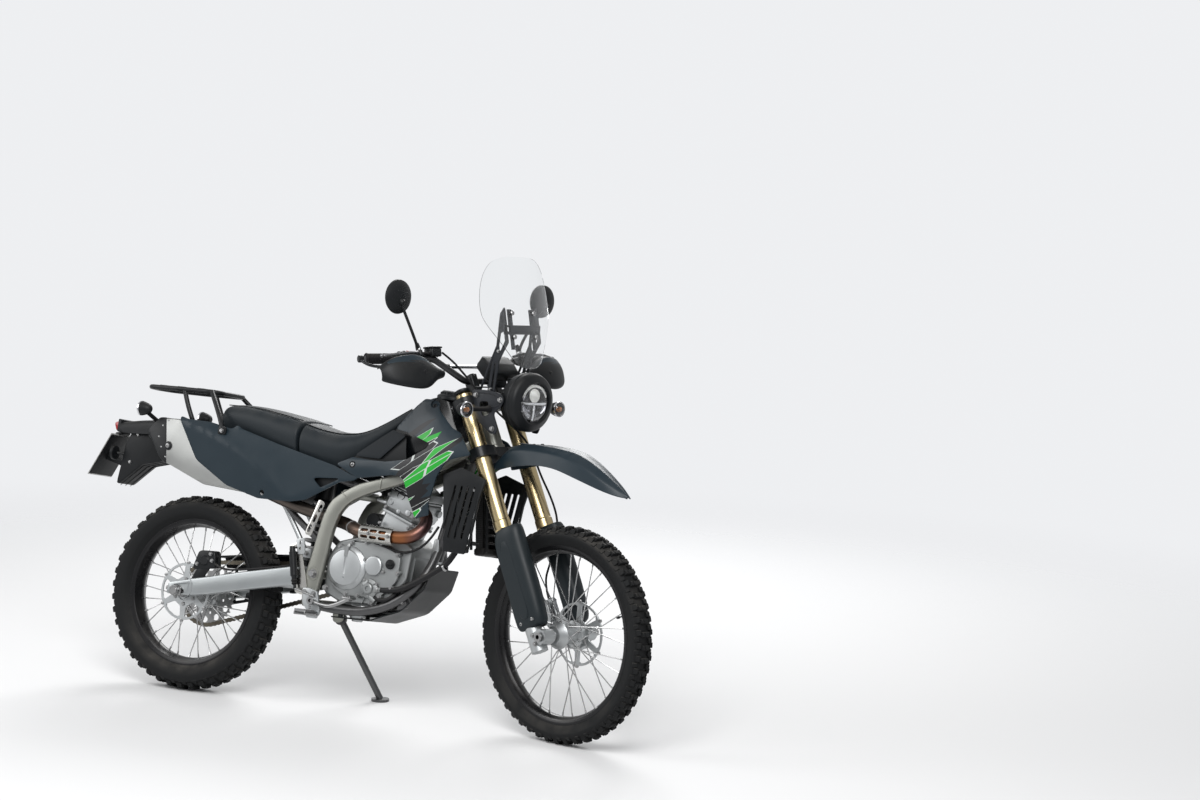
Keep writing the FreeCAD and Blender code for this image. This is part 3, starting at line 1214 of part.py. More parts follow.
def shroud():
    """Left shroud beside the tank and the radiator, with its forward point."""
    sheet = skin([(750, 134, 112), (860, 148, 124), (960, 164, 140), (1100, 176, 164)], 640, 1045, -AXIS_Y)
    outline = side_plate([
        (769, 940, 6), (838, 1019, 30), (911, 1030, 20), (1001, 960, 20), (1036, 945, 20), (1094, 876, 8),
        (1003, 850, 30), (944, 712, 14), (948, 672, 8), (898, 656, 10), (847, 772, 40), (820, 822, 10),
        (917, 884, 10), (927, 901, 8), (826, 933, 12),
    ], 60, 240)
    bosses = [rod(VEC(x, 90, z), VEC(x, y, z), 7) for x, y, z in [(862, 132, 1000), (810, 124, 956)]]
    return fused([sheet.common(outline)] + bosses).cut(fuel_tank())


def rear_fender():
    """Tail and mudguard over the rear tyre, an open channel below."""
    table = [
        (60, 76, 820, 868), (-60, 74, 840, 886), (-160, 70, 846, 892), (-270, 62, 836, 886), (-372, 50, 838, 870),
    ]
    sections = []
    for x, half, low, crown in table:
        line = [VEC(x, half, low), VEC(x, half, crown - 12), VEC(x, half - 14, crown), VEC(x, -half + 14, crown),
                VEC(x, -half, crown - 12), VEC(x, -half, low)]
        inner = [VEC(x, -half + PANEL, low), VEC(x, -half + PANEL, crown - 12 - PANEL),
                 VEC(x, -half + 14 + PANEL, crown - PANEL), VEC(x, half - 14 - PANEL, crown - PANEL),
                 VEC(x, half - PANEL, crown - 12 - PANEL), VEC(x, half - PANEL, low)]
        sections.append(Part.makePolygon(line + inner + line[:1]))
    flap = side_plate([(-150, 760, 20), (-262, 734, 30), (-358, 652, 10), (-338, 800, 20), (-300, 883, 0),
                       (-160, 889, 0)], -46, 46)
    hollow = side_plate([(-146, 766, 16), (-258, 742, 26), (-352, 666, 6), (-333, 800, 16), (-300, 900, 0),
                         (-154, 900, 0)], -42, 42)
    channel = Part.makeLoft(sections, True, True)
    return channel.fuse(flap.cut(hollow)).cut(subframe())


def plate_bracket():
    """Blank number plate and its arm under the tail."""
    plate = side_plate([(-466, 684, 2), (-462, 682, 2), (-384, 830, 2), (-388, 832, 2)], -70, 70)
    arm = side_plate([(-432, 742, 2), (-346, 720, 4), (-343, 740, 4), (-424, 758, 2)], -24, 24)
    return fused([plate, arm]).cut(rear_fender())


def tail_lamp():
    lamp = side_plate([(-398, 872, 6), (-372.3, 880, 2), (-372.3, 842, 2), (-386, 838, 6)], -44, 44)
    return lamp


def rear_reflector():
    """Round reflector on a short arm beside the flap."""
    disc_shape = rod(VEC(-372, -60, 766), VEC(-362, -60, 766), 24)
    arm = rod(VEC(-366, -46, 766), VEC(-341, -35, 766), 5)
    return disc_shape.fuse(arm).cut(rear_fender())


def rear_indicator():
    stem = rod(VEC(-176, 72, 874), VEC(-188, 160, 912), 7)
    lamp = turned(VEC(-190, 180, 921), -AXIS_X, [
        (-26, 0), (-26, 12), (-14, 22), (4, 25), (14, 24), (20, 16), (20, 0),
    ])
    return stem.fuse(lamp).cut(rear_fender())


def rear_rack():
    """Tube rack behind the seat: a loop, three bars and four legs."""
    z = RACK_LEVEL
    loop = [VEC(40, 0, z), VEC(40, 92, z), VEC(-120, 96, z), VEC(-252, 70, z), VEC(-268, 0, z)]
    half = tube([(loop[0], 0), (loop[1], 40), (loop[2], 60), (loop[3], 40), (loop[4], 0)], RACK_TUBE)
    bars = [Part.makeBox(RACK_BAR_WIDTH, 2 * y, 6, VEC(x - RACK_BAR_WIDTH / 2, -y, z + RACK_TUBE - 6))
            for x, y in [(-30, 92), (RACK_BAR_X, 93), (-190, 82)]]
    front_leg = tube(flowing([VEC(20, 92, z), VEC(62, 120, 960), VEC(100, 140, 912), VEC(120, 148, 874)]), RACK_TUBE)
    rear_leg = tube(flowing([VEC(-90, 94, z), VEC(-66, 98, 950), VEC(-40, 98, 902), VEC(-36, 74, 868)]), RACK_TUBE)
    pieces = [half, front_leg, rear_leg]
    rack = fused(pieces + [mirrored(p) for p in pieces] + bars)
    return rack.cut(both_sides(side_cover())).cut(rear_fender()).cut(muffler())


def airbox():
    box = side_plate([(250, 814, 10), (130, 814, 10), (160, 700, 30), (390, 660, 20), (400, 780, 10)], -46, 46)
    pegs = rod(VEC(250, -76, 809), VEC(250, 76, 809), 6)
    return box.fuse(pegs).cut(subframe())


# Side stand


def ground_place():
    """How the leaned machine stands: both tyres on the ground, origin under its middle."""
    front_half = FRONT_TYRE_WIDTH / 2
    rear_half = REAR_TYRE_WIDTH / 2
    lean = FreeCAD.Placement(ORIGIN, FreeCAD.Rotation(AXIS_X, -LEAN))
    steer = steer_place()
    pitch = 0.0
    for step in range(6):
        tilt = FreeCAD.Placement(ORIGIN, FreeCAD.Rotation(AXIS_Y, pitch)).multiply(lean)
        lows = []
        for centre, axis, radius, half in (
                (REAR_AXLE, AXIS_Y, REAR_RADIUS, rear_half),
                (steer.multVec(FRONT_AXLE), steer.Rotation.multVec(AXIS_Y), FRONT_RADIUS, front_half)):
            middle = tilt.multVec(centre)
            spin = tilt.Rotation.multVec(axis)
            lows.append((middle.x, middle.z - (radius - half) * math.sqrt(1 - spin.z ** 2) - half))
        pitch += math.degrees(math.atan2(lows[1][1] - lows[0][1], lows[1][0] - lows[0][0]))
    tilt = FreeCAD.Placement(ORIGIN, FreeCAD.Rotation(AXIS_Y, pitch)).multiply(lean)
    down = VEC(-ORIGIN_AHEAD, -ORIGIN_LEFT, -lows[0][1])
    return FreeCAD.Placement(down, FreeCAD.Rotation()).multiply(tilt)


def steer_place():
    return FreeCAD.Placement(ORIGIN, FreeCAD.Rotation(STEER_UP, STEER_REST), STEER_FOOT)


def stand_axis():
    return unit(STAND_AXIS)


def side_stand():
    """Leg, pivot eye and foot. The foot's sole is level when the machine leans on it."""
    place = ground_place()
    back = place.inverse()
    foot = place.multVec(VEC(STAND_FOOT_X, STAND_FOOT_Y, 0))
    sole = VEC(foot.x, foot.y, 0)
    pad = Part.makeCylinder(STAND_FOOT_RADIUS, STAND_FOOT_THICK, sole, AXIS_Z)
    pad.Placement = back.multiply(pad.Placement)
    ankle = back.multVec(VEC(foot.x, foot.y, STAND_FOOT_THICK - 1))
    axis = stand_axis()
    eye = Part.makeCylinder(21, 12, STAND_PIVOT - axis * 6, axis)
    leg_top = STAND_PIVOT + unit(ankle - STAND_PIVOT) * 19
    leg = rod(leg_top, ankle, STAND_LEG_RADIUS)
    hole = Part.makeCylinder(7 + CLEAR, 60, STAND_PIVOT - axis * 30, axis)
    return fused([eye, leg, pad]).cut(hole)


def stand_lug():
    """Lug under the left pivot plate, with the bolt that the stand turns on."""
    axis = stand_axis()
    lug = side_plate([(486, 356, 8), (534, 356, 8), (530, 290, 16), (492, 284, 16)], 90, 98)
    bolt = turned(STAND_PIVOT, axis, [
        (-22, 0), (-22, 7), (6 + CLEAR, 7), (6 + CLEAR, 12), (14, 12), (14, 0),
    ])
    shoulder = Part.makeCylinder(12, 16, STAND_PIVOT - axis * (6 + CLEAR + 16), axis)
    return [lug, shoulder, bolt]


# Nodes: name, builder of the shape, steered or not
NODES = [
    ("front_tyre", lambda: tyre(FRONT_AXLE, FRONT_RADIUS, FRONT_TYRE_WIDTH, FRONT_RIM_RADIUS, FRONT_LUGS), True),
    ("front_wheel_spoked", front_wheel, True),
    ("front_disc", lambda: disc(FRONT_AXLE, FRONT_DISC_Y, FRONT_DISC_RADIUS, 36, 20 + SEAT, 6), True),
    ("front_axle", front_axle, True),
    ("rear_tyre", lambda: tyre(REAR_AXLE, REAR_RADIUS, REAR_TYRE_WIDTH, REAR_RIM_RADIUS, REAR_LUGS), False),
    ("rear_wheel_spoked", rear_wheel, False),
    ("rear_disc", lambda: disc(REAR_AXLE, REAR_DISC_Y, REAR_DISC_RADIUS, 40, 24 + SEAT, 6), False),
    ("rear_sprocket", rear_sprocket, False),
    ("rear_axle", rear_axle, False),
    ("fork_tubes", fork_tubes, True),
    ("fork_stanchions", fork_stanchions, True),
    ("axle_clamps", axle_clamps, True),
    ("triple_clamps", triple_clamps, True),
    ("handlebar", handlebar, True),
    ("grips", grips, True),
    ("hand_controls", lambda: Part.makeCompound([hand_controls(), right_controls()]), True),
    ("handguards", lambda: both_sides(handguard()), True),
    ("mirrors", lambda: both_sides(mirror_arm()), True),
    ("front_mudguard", front_mudguard, True),
    ("fork_guards", lambda: both_sides(fork_guard()), True),
    ("headlight_shell", headlight_shell, True),
    ("headlight_lens", headlight_lens, True),
    ("windscreen", windscreen, True),
    ("front_bracket", front_bracket, True),
    ("instrument_panel", instrument_panel, True),
    ("front_indicators", lambda: both_sides(front_indicator()), True),
    ("front_caliper", front_caliper, True),
    ("front_brake_hose", front_brake_hose, True),
    ("frame_spars", frame_spars, False),
    ("frame_cradle", frame_cradle, False),
    ("subframe", subframe, False),
    ("skid_plate", skid_plate, False),
    ("engine_cases", engine_cases, False),
    ("cylinder_and_head", cylinder_and_head, False),
    ("engine_covers", lambda: Part.makeCompound([engine_cover_right(), engine_cover_left()]), False),
    ("exhaust_header", exhaust_header, False),
    ("heat_shield", heat_shield, False),
    ("muffler", muffler, False),
    ("radiators", lambda: both_sides(radiator()), False),
    ("coolant_elbows", lambda: Part.makeCompound(coolant_elbows()), False),
    ("chain", chain, False),
    ("swingarm", swingarm, False),
    ("shock_absorber", shock_absorber, False),
    ("chain_guard", chain_guard, False),
    ("rear_caliper", rear_caliper, False),
    ("footpegs", lambda: Part.makeCompound([footpeg(1), footpeg(-1)]), False),
    ("pedals", lambda: Part.makeCompound([brake_pedal(), gear_lever()]), False),
    ("fuel_tank", fuel_tank, False),
    ("seat", seat, False),
    ("side_covers", lambda: both_sides(side_cover()), False),
    ("tank_sides", lambda: both_sides(tank_side()), False),
    ("shrouds", lambda: both_sides(shroud()), False),
    ("rear_fender", rear_fender, False),
    ("tail_pieces", lambda: Part.makeCompound([plate_bracket(), tail_lamp(), rear_reflector()]), False),
    ("rear_indicators", lambda: both_sides(rear_indicator()), False),
    ("rear_rack", rear_rack, False),
    ("airbox", airbox, False),
    ("side_stand", side_stand, False),
]


def main():
    os.makedirs("parts", exist_ok=True)
    ground = ground_place()
    turned_ground = ground.multiply(steer_place())
    for name, build, is_steered in NODES:
        shape = build()
        place = turned_ground if is_steered else ground
        shape.Placement = place.multiply(shape.Placement)
        shape.exportStep("parts/" + name + ".step")


if __name__ == "__main__":
    main()
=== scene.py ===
import logging
import math
from dataclasses import dataclass
from enum import Enum

import bpy
from mathutils import Matrix, Vector


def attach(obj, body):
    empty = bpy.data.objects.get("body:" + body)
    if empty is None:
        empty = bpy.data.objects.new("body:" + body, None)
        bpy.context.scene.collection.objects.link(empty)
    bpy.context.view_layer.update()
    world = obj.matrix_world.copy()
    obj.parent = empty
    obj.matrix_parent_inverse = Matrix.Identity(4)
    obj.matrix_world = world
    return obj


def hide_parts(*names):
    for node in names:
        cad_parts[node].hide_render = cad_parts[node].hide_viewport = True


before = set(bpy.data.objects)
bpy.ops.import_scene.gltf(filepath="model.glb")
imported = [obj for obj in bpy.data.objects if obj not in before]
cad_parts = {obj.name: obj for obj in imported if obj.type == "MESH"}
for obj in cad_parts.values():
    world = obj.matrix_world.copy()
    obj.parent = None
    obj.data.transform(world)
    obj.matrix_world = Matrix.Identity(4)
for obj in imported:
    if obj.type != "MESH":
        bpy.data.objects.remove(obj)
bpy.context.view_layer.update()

LOG = logging.getLogger("dual_sport")

# Short names for types
Pair = tuple[float, float]
Triple = tuple[float, float, float]
Spot = Vector | Triple

MM = 0.001
METRES = Matrix.Scale(MM, 4)

# The machine is drawn upright in millimetres: X forward from the rear axle, Y to the rider's left, Z up
# from the ground. Then it is leaned and set down, and its steered part is turned, as the CAD model is.
ORIGIN_AHEAD = 655.0
ORIGIN_LEFT = 229.0
SETTLE_HEIGHT = 1.06615
SETTLE_PITCH = -0.102488
LEAN = -11.0
STEER_REST = -16.0
RAKE = math.radians(26.5)
FRONT_AXLE = Vector((1430.0, 0.0, 347.0))
REAR_AXLE = Vector((0.0, 0.0, 327.0))
STEER_UP = Vector((-math.sin(RAKE), 0.0, math.cos(RAKE)))
STEER_FORWARD = Vector((math.cos(RAKE), 0.0, math.sin(RAKE)))
LEFT = Vector((0, 1, 0))
RIGHT = Vector((0, -1, 0))
UP = Vector((0, 0, 1))
AHEAD = Vector((1, 0, 0))
BEHIND = Vector((-1, 0, 0))
STEER_FOOT = FRONT_AXLE - STEER_FORWARD * 60.8
GROUND = (Matrix.Translation((-ORIGIN_AHEAD, -ORIGIN_LEFT, SETTLE_HEIGHT))
          @ Matrix.Rotation(math.radians(SETTLE_PITCH), 4, "Y")
          @ Matrix.Rotation(math.radians(LEAN), 4, "X"))
STEER = (Matrix.Translation(STEER_FOOT) @ Matrix.Rotation(math.radians(STEER_REST), 4, STEER_UP)
         @ Matrix.Translation(-STEER_FOOT))


def translated(x: float, y: float, z: float) -> Matrix:
    """Matrix that moves by X, Y and Z."""
    return Matrix.Translation((x, y, z))


def rotation(degrees: float, axis: str) -> Matrix:
    """Matrix that turns about an axis through the origin."""
    return Matrix.Rotation(math.radians(degrees), 4, axis)


class Body(Enum):
    """Bodies that pieces ride on; the value names the body's empty."""

    ROOT = "root"
    STEERING = "steering"
    FRONT_WHEEL = "front_wheel"
    REAR_WHEEL = "rear_wheel"


STEERED = {Body.STEERING, Body.FRONT_WHEEL}


def steered(along: float, forward: float, across: float) -> Vector:
    """Point of the steered part, in millimetres from the foot of the steering axis."""
    return STEER_FOOT + STEER_UP * along + STEER_FORWARD * forward + Vector((0, across, 0))


# Finishes


class Kind(Enum):
    """Kinds of material that need nodes of their own."""

    PLAIN = "plain"
    GRAPHIC = "graphic"
    GLASS = "glass"
    LAMP = "lamp"
    TINTED = "tinted"


@dataclass(frozen=True)
class Finish:
    """A surface finish; lengths are metres and colours are linear."""

    name: str
    colour: Triple
    roughness: float
    metallic: float = 0.0
    coat: float = 0.0
    grain_size: float = 0.0008
    grain_depth: float = 0.00002
    shade_spread: float = 0.06
    dust: float = 0.12
    specular: float = 0.5
    kind: Kind = Kind.PLAIN


DUST_COLOUR = (0.36, 0.33, 0.29, 1.0)
DUST_ROUGHNESS = 0.5
DRIFT_SCALE = 14.0
DRIFT_PATCH = (0.35, 0.7)
FACES_UP = (0.2, 1.0)
ROUGHNESS_DRIFT = 0.18
COAT_ROUGHNESS = 0.08
GLASS_IOR = 1.46
LAMP_STRENGTH = 0.35

# Shards of colour on the shroud: their turn in degrees, their size and the width of their pale edges
SHARD_TURN = 33.0
SHARD_SIZE = (0.1, 0.0165, 1.0)
SHARD_EDGE = 0.06
INK_SHARE = 0.52
PLAIN_SHARE = 0.25
# Lines that bound the shards: slope and limit
GRAPHIC_REAR = (-0.25, 0.612)
GRAPHIC_TOP = (0.35, 1.262)
GRAPHIC_FRONT = (-0.42, 0.640)

# Heat tint along the pipe: its reach in X, how far it wanders, and its colours from the back to the front
TINT_REACH = (-0.1, 0.3)
TINT_RIPPLE = 0.05
TINT_RIPPLE_SCALE = 26.0
TINT_STOPS = ((0.45, (0.12, 0.075, 0.055)), (0.66, (0.27, 0.105, 0.04)), (0.82, (0.23, 0.09, 0.04)),
              (1.0, (0.09, 0.06, 0.07)))


def feed(tree: bpy.types.NodeTree, node: bpy.types.Node, inputs: dict[str | int, object]) -> None:
    """Link or set inputs of a node.

    Args:
        tree: Node tree that holds the node.
        node: The node.
        inputs: By name or number, a socket to link from or a value to set.
    """
    for name, value in inputs.items():
        if isinstance(value, bpy.types.NodeSocket):
            tree.links.new(value, node.inputs[name])
        else:
            node.inputs[name].default_value = value


def add_node(
    tree: bpy.types.NodeTree, kind: str, inputs: dict[str | int, object] | None = None, **settings: object
) -> bpy.types.Node:
    """Add a node to a tree.

    Args:
        tree: Node tree to add to.
        kind: Type of the node.
        inputs: Its inputs, as feed takes them.
        settings: Its properties, which are set before its inputs.

    Returns:
        The node.
    """
    node = tree.nodes.new(kind)
    for name, value in settings.items():
        setattr(node, name, value)
    feed(tree, node, inputs or {})
    return node


def blend(
    tree: bpy.types.NodeTree, share: bpy.types.NodeSocket, first: object, second: object
) -> bpy.types.NodeSocket:
    """Mix two colours, each a socket or a value, by the share of the second."""
    return add_node(
        tree, "ShaderNodeMix", {"Factor": share, "A": first, "B": second}, data_type="RGBA"
    ).outputs["Result"]


def spread_over(
    tree: bpy.types.NodeTree, value: bpy.types.NodeSocket, reach: Pair, **settings: object
) -> bpy.types.NodeSocket:
    """Map a value's reach to the range from 0 to 1."""
    inputs = {"From Min": reach[0], "From Max": reach[1], "Value": value}
    return add_node(tree, "ShaderNodeMapRange", inputs, **settings).outputs["Result"]


def moulded_surface() -> bpy.types.NodeTree:
    """Group for grain, slow colour drift and settled dust, shared by all finishes.

    Returns:
        The node group, with outputs Colour, Roughness and Height.
    """
    group = bpy.data.node_groups.new("moulded surface", "ShaderNodeTree")
    for name, kind, way in (
        ("Vector", "Vector", "INPUT"), ("Base", "Color", "INPUT"), ("Base Roughness", "Float", "INPUT"),
        ("Grain Scale", "Float", "INPUT"), ("Shade Spread", "Float", "INPUT"), ("Dust", "Float", "INPUT"),
        ("Colour", "Color", "OUTPUT"), ("Roughness", "Float", "OUTPUT"), ("Height", "Float", "OUTPUT"),
    ):
        group.interface.new_socket(name=name, in_out=way, socket_type=f"NodeSocket{kind}")
    given = add_node(group, "NodeGroupInput").outputs
    grain = add_node(group, "ShaderNodeTexNoise",
                     {"Detail": 2.0, "Vector": given["Vector"], "Scale": given["Grain Scale"]})
    drift = add_node(group, "ShaderNodeTexNoise", {
        "Detail": 4.0, "Vector": given["Vector"], "Scale": DRIFT_SCALE
    }).outputs["Fac"]
    centred = math_node(group, "SUBTRACT", drift, 0.5)
    spread = math_node(group, "MULTIPLY", centred, given["Shade Spread"])
    gain = math_node(group, "MULTIPLY_ADD", spread, 2.0, 1.0)
    shaded = add_node(group, "ShaderNodeVectorMath", {0: given["Base"], "Scale": gain}, operation="SCALE")
    normal = add_node(group, "ShaderNodeNewGeometry").outputs["Normal"]
    height = add_node(group, "ShaderNodeSeparateXYZ", {0: normal}).outputs["Z"]
    settled = math_node(group, "MULTIPLY", spread_over(group, height, FACES_UP),
                        spread_over(group, drift, DRIFT_PATCH))
    film = math_node(group, "MULTIPLY", settled, given["Dust"])
    rough = math_node(group, "ADD", given["Base Roughness"],
                      math_node(group, "MULTIPLY", centred, ROUGHNESS_DRIFT))
    add_node(group, "NodeGroupOutput", {
        "Colour": blend(group, film, shaded.outputs["Vector"], DUST_COLOUR),
        "Roughness": math_node(group, "MULTIPLY_ADD", film, DUST_ROUGHNESS, rough),
        "Height": grain.outputs["Fac"]
    })
    return group


def math_node(
    tree: bpy.types.NodeTree, operation: str, first: object, second: object = None, third: object = None
) -> bpy.types.NodeSocket:
    """Add a math node whose inputs are sockets or plain numbers.

    Args:
        tree: Node tree to add to.
        operation: Name of the operation.
        first: Socket or number.
        second: Socket or number.
        third: Socket or number of a three input operation.

    Returns:
        The node's output socket.
    """
    node = tree.nodes.new("ShaderNodeMath")
    node.operation = operation
    for index, value in enumerate((first, second, third)):
        if value is None:
            continue
        if isinstance(value, bpy.types.NodeSocket):
            tree.links.new(value, node.inputs[index])
        else:
            node.inputs[index].default_value = float(value)
    return node.outputs[0]


class Paintbox:
    """Makes each finish's material once and hands it out by name."""

    def __init__(self) -> None:
        """Build the shared node group."""
        self.surface = moulded_surface()
        self.made: dict[str, bpy.types.Material] = {}

    def get(self, finish: Finish) -> bpy.types.Material:
        """Material of a finish.

        Args:
            finish: The finish wanted.

        Returns:
            A material with its grain, drift and dust.
        """
        if finish.name in self.made:
            return self.made[finish.name]
        material = bpy.data.materials.new(finish.name)
        material.use_nodes = True
        tree = material.node_tree
        shader = tree.nodes["Principled BSDF"]
        where = add_node(tree, "ShaderNodeTexCoord").outputs["Object"]
        surface = add_node(tree, "ShaderNodeGroup", {
            "Vector": where, "Base": (*finish.colour, 1.0), "Base Roughness": finish.roughness,
            "Grain Scale": 1.0 / finish.grain_size, "Shade Spread": finish.shade_spread, "Dust": finish.dust,
        }, node_tree=self.surface)
        bump = add_node(tree, "ShaderNodeBump",
                        {"Distance": finish.grain_depth, "Height": surface.outputs["Height"]})
        feed(tree, shader, {
            "Base Color": surface.outputs["Colour"], "Roughness": surface.outputs["Roughness"],
            "Normal": bump.outputs["Normal"], "Metallic": finish.metallic, "Coat Weight": finish.coat,
            "Coat Roughness": COAT_ROUGHNESS, "Specular IOR Level": finish.specular,
        })
        if finish.kind is Kind.GRAPHIC:
            self.add_graphic(tree, surface)
        elif finish.kind is Kind.TINTED:
            self.add_tint(tree, surface, where)
        elif finish.kind is Kind.GLASS:
            feed(tree, shader, {"Transmission Weight": 1.0, "IOR": GLASS_IOR})
        elif finish.kind is Kind.LAMP:
            feed(tree, shader,
                 {"Emission Color": surface.outputs["Colour"], "Emission Strength": LAMP_STRENGTH})
        self.made[finish.name] = material
        return material

    def add_graphic(self, tree: bpy.types.NodeTree, surface: bpy.types.Node) -> None:
        """Lay long shards of colour with pale edges over the lower part of the shroud.

        Args:
            tree: Node tree of the material.
            surface: Group node whose base colour takes the pattern.
        """
        chart = add_node(tree, "ShaderNodeUVMap", uv_map="plan")
        net = {"Scale": 1.0, "Vector": self.turned_mapping(tree, chart.outputs["UV"], "TEXTURE")}
        cells = add_node(tree, "ShaderNodeTexVoronoi", net, voronoi_dimensions="2D").outputs
        edges = add_node(tree, "ShaderNodeTexVoronoi", net, voronoi_dimensions="2D",
                         feature="DISTANCE_TO_EDGE")
        centre = add_node(tree, "ShaderNodeSeparateXYZ",
                          {0: self.turned_mapping(tree, cells["Position"], "POINT")})
        along, height = centre.outputs["X"], centre.outputs["Y"]
        chance = add_node(tree, "ShaderNodeSeparateColor", {"Color": cells["Color"]}).outputs
        fill = blend(tree, math_node(tree, "GREATER_THAN", chance["Red"], INK_SHARE), (*INK, 1.0),
                     (*GREEN, 1.0))
        line = math_node(tree, "LESS_THAN", edges.outputs["Distance"], SHARD_EDGE)
        lined = math_node(tree, "MULTIPLY", line,
                          math_node(tree, "GREATER_THAN", chance["Green"], PLAIN_SHARE))
        edged = blend(tree, lined, fill, (*CHALK, 1.0))
        mask = None
        for side, (slope, limit), run, rise in (
            ("GREATER_THAN", GRAPHIC_REAR, height, along), ("LESS_THAN", GRAPHIC_TOP, along, height),
            ("LESS_THAN", GRAPHIC_FRONT, height, along),
        ):
            inside = math_node(tree, side, math_node(tree, "MULTIPLY_ADD", run, slope, rise), limit)
            mask = inside if mask is None else math_node(tree, "MULTIPLY", mask, inside)
        base = surface.inputs["Base"]
        tree.links.new(blend(tree, mask, base.default_value[:], edged), base)

    def turned_mapping(
        self, tree: bpy.types.NodeTree, source: bpy.types.NodeSocket, way: str
    ) -> bpy.types.NodeSocket:
        """Mapping between the plan and the slanted net of long cells.

        Args:
            tree: Node tree to add to.
            source: Vector that is mapped.
            way: TEXTURE into the net, POINT back out of it.

        Returns:
            The mapped vector.
        """
        turn = (0.0, 0.0, math.radians(SHARD_TURN))
        inputs = {"Vector": source, "Rotation": turn, "Scale": SHARD_SIZE}
        return add_node(tree, "ShaderNodeMapping", inputs, vector_type=way).outputs["Vector"]

    def add_tint(
        self, tree: bpy.types.NodeTree, surface: bpy.types.Node, where: bpy.types.NodeSocket
    ) -> None:
        """Colour a pipe from copper near the head to dark brown behind.

        Args:
            tree: Node tree of the material.
            surface: Group node whose base colour takes the tint.
            where: Coordinates of the object.
        """
        parts = add_node(tree, "ShaderNodeSeparateXYZ", {0: where})
        ripple = add_node(tree, "ShaderNodeTexNoise", {"Scale": TINT_RIPPLE_SCALE, "Vector": where})
        place = math_node(tree, "MULTIPLY_ADD", ripple.outputs["Fac"], TINT_RIPPLE, parts.outputs["X"])
        ramp = add_node(tree, "ShaderNodeValToRGB", {"Fac": spread_over(tree, place, TINT_REACH)})
        stops = [(0.0, surface.inputs["Base"].default_value[:3]), *TINT_STOPS]
        while len(ramp.color_ramp.elements) < len(stops):
            ramp.color_ramp.elements.new(0.5)
        for element, (spot, colour) in zip(ramp.color_ramp.elements, stops):
            element.position = spot
            element.color = (*colour, 1.0)
        tree.links.new(ramp.outputs["Color"], surface.inputs["Base"])


INK = (0.006, 0.006, 0.007)
CHALK = (0.5, 0.53, 0.51)
GREEN = (0.012, 0.33, 0.025)
TYRE = Finish("knobby tyre rubber", (0.007, 0.0075, 0.008), 0.72, grain_size=0.0012, grain_depth=0.00008,
              dust=0.2, specular=0.22)
SLATE = Finish("slate satin plastic", (0.011, 0.021, 0.029), 0.38, dust=0.03, specular=0.3)
BLACK_PLASTIC = Finish("black moulded plastic", (0.005, 0.006, 0.007), 0.46, dust=0.08, specular=0.25)
BLACK_GLOSS = Finish("black tank plastic", (0.005, 0.006, 0.007), 0.26, coat=0.12, dust=0.03, specular=0.32)
BLACK_METAL = Finish("satin black metal", (0.006, 0.007, 0.008), 0.36, dust=0.08, specular=0.3)
RUBBER = Finish("grip rubber", (0.006, 0.006, 0.007), 0.68, grain_depth=0.00005, specular=0.22)
GOLD = Finish("gold fork tube", (0.5, 0.4, 0.225), 0.28, metallic=1.0, dust=0.03)
CHROME = Finish("hard chrome", (0.6, 0.6, 0.62), 0.08, metallic=1.0, dust=0.02)
STEEL = Finish("plain steel", (0.34, 0.34, 0.34), 0.32, metallic=1.0)
DISC = Finish("ground disc steel", (0.4, 0.4, 0.39), 0.27, metallic=1.0)
ALLOY = Finish("cast alloy", (0.43, 0.445, 0.45), 0.42, metallic=0.95, grain_size=0.0006,
               grain_depth=0.00004, shade_spread=0.12)
ENGINE = Finish("engine alloy", (0.29, 0.3, 0.3), 0.46, metallic=0.9, grain_size=0.0007,
                grain_depth=0.00006, shade_spread=0.2, dust=0.25)
SWINGARM = Finish("brushed arm alloy", (0.38, 0.4, 0.405), 0.36, metallic=1.0, grain_size=0.0006,
                  grain_depth=0.00002, shade_spread=0.08)
CHAMPAGNE = Finish("champagne frame paint", (0.27, 0.272, 0.245), 0.38, metallic=0.8)
GRAPHITE = Finish("graphite frame paint", (0.09, 0.09, 0.092), 0.32, metallic=0.7)
HEADER = Finish("heat tinted pipe", (0.1, 0.085, 0.075), 0.36, metallic=1.0, shade_spread=0.3,
                kind=Kind.TINTED)
BRIGHT = Finish("bright sheet steel", (0.55, 0.54, 0.51), 0.24, metallic=1.0)
SILENCER = Finish("satin silencer alloy", (0.35, 0.355, 0.345), 0.33, metallic=1.0, shade_spread=0.1)
RADIATOR = Finish("radiator black", (0.007, 0.007, 0.007), 0.55, specular=0.3)
FIN = Finish("cooler fins", (0.05, 0.05, 0.05), 0.5, metallic=0.6)
CHAIN = Finish("oiled chain", (0.14, 0.125, 0.1), 0.38, metallic=0.95)
SPRING = Finish("spring paint", (0.3, 0.3, 0.3), 0.32)
VINYL = Finish("seat vinyl", (0.01, 0.0145, 0.018), 0.52, grain_size=0.0016, grain_depth=0.00012, dust=0.06,
               specular=0.3)
TEXTURED = Finish("pebbled plastic", (0.009, 0.012, 0.015), 0.62, grain_size=0.0011, grain_depth=0.0002,
                  dust=0.06, specular=0.25)
HOSE = Finish("hose rubber", (0.006, 0.006, 0.007), 0.5, specular=0.3)
RIM_BLACK = Finish("black anodised rim", (0.01, 0.01, 0.011), 0.28, metallic=0.5)
SPOKE = Finish("bright spoke steel", (0.5, 0.5, 0.5), 0.24, metallic=1.0, dust=0.03)
GRAPHIC = Finish("shroud with shards of colour", (0.011, 0.021, 0.029), 0.34, coat=0.08, dust=0.03,
                 specular=0.3, kind=Kind.GRAPHIC)
GUARD = Finish("dark guard plastic", (0.009, 0.014, 0.017), 0.42, dust=0.05, specular=0.3)
BRACKET = Finish("dark bracket paint", (0.016, 0.018, 0.022), 0.42, specular=0.3)
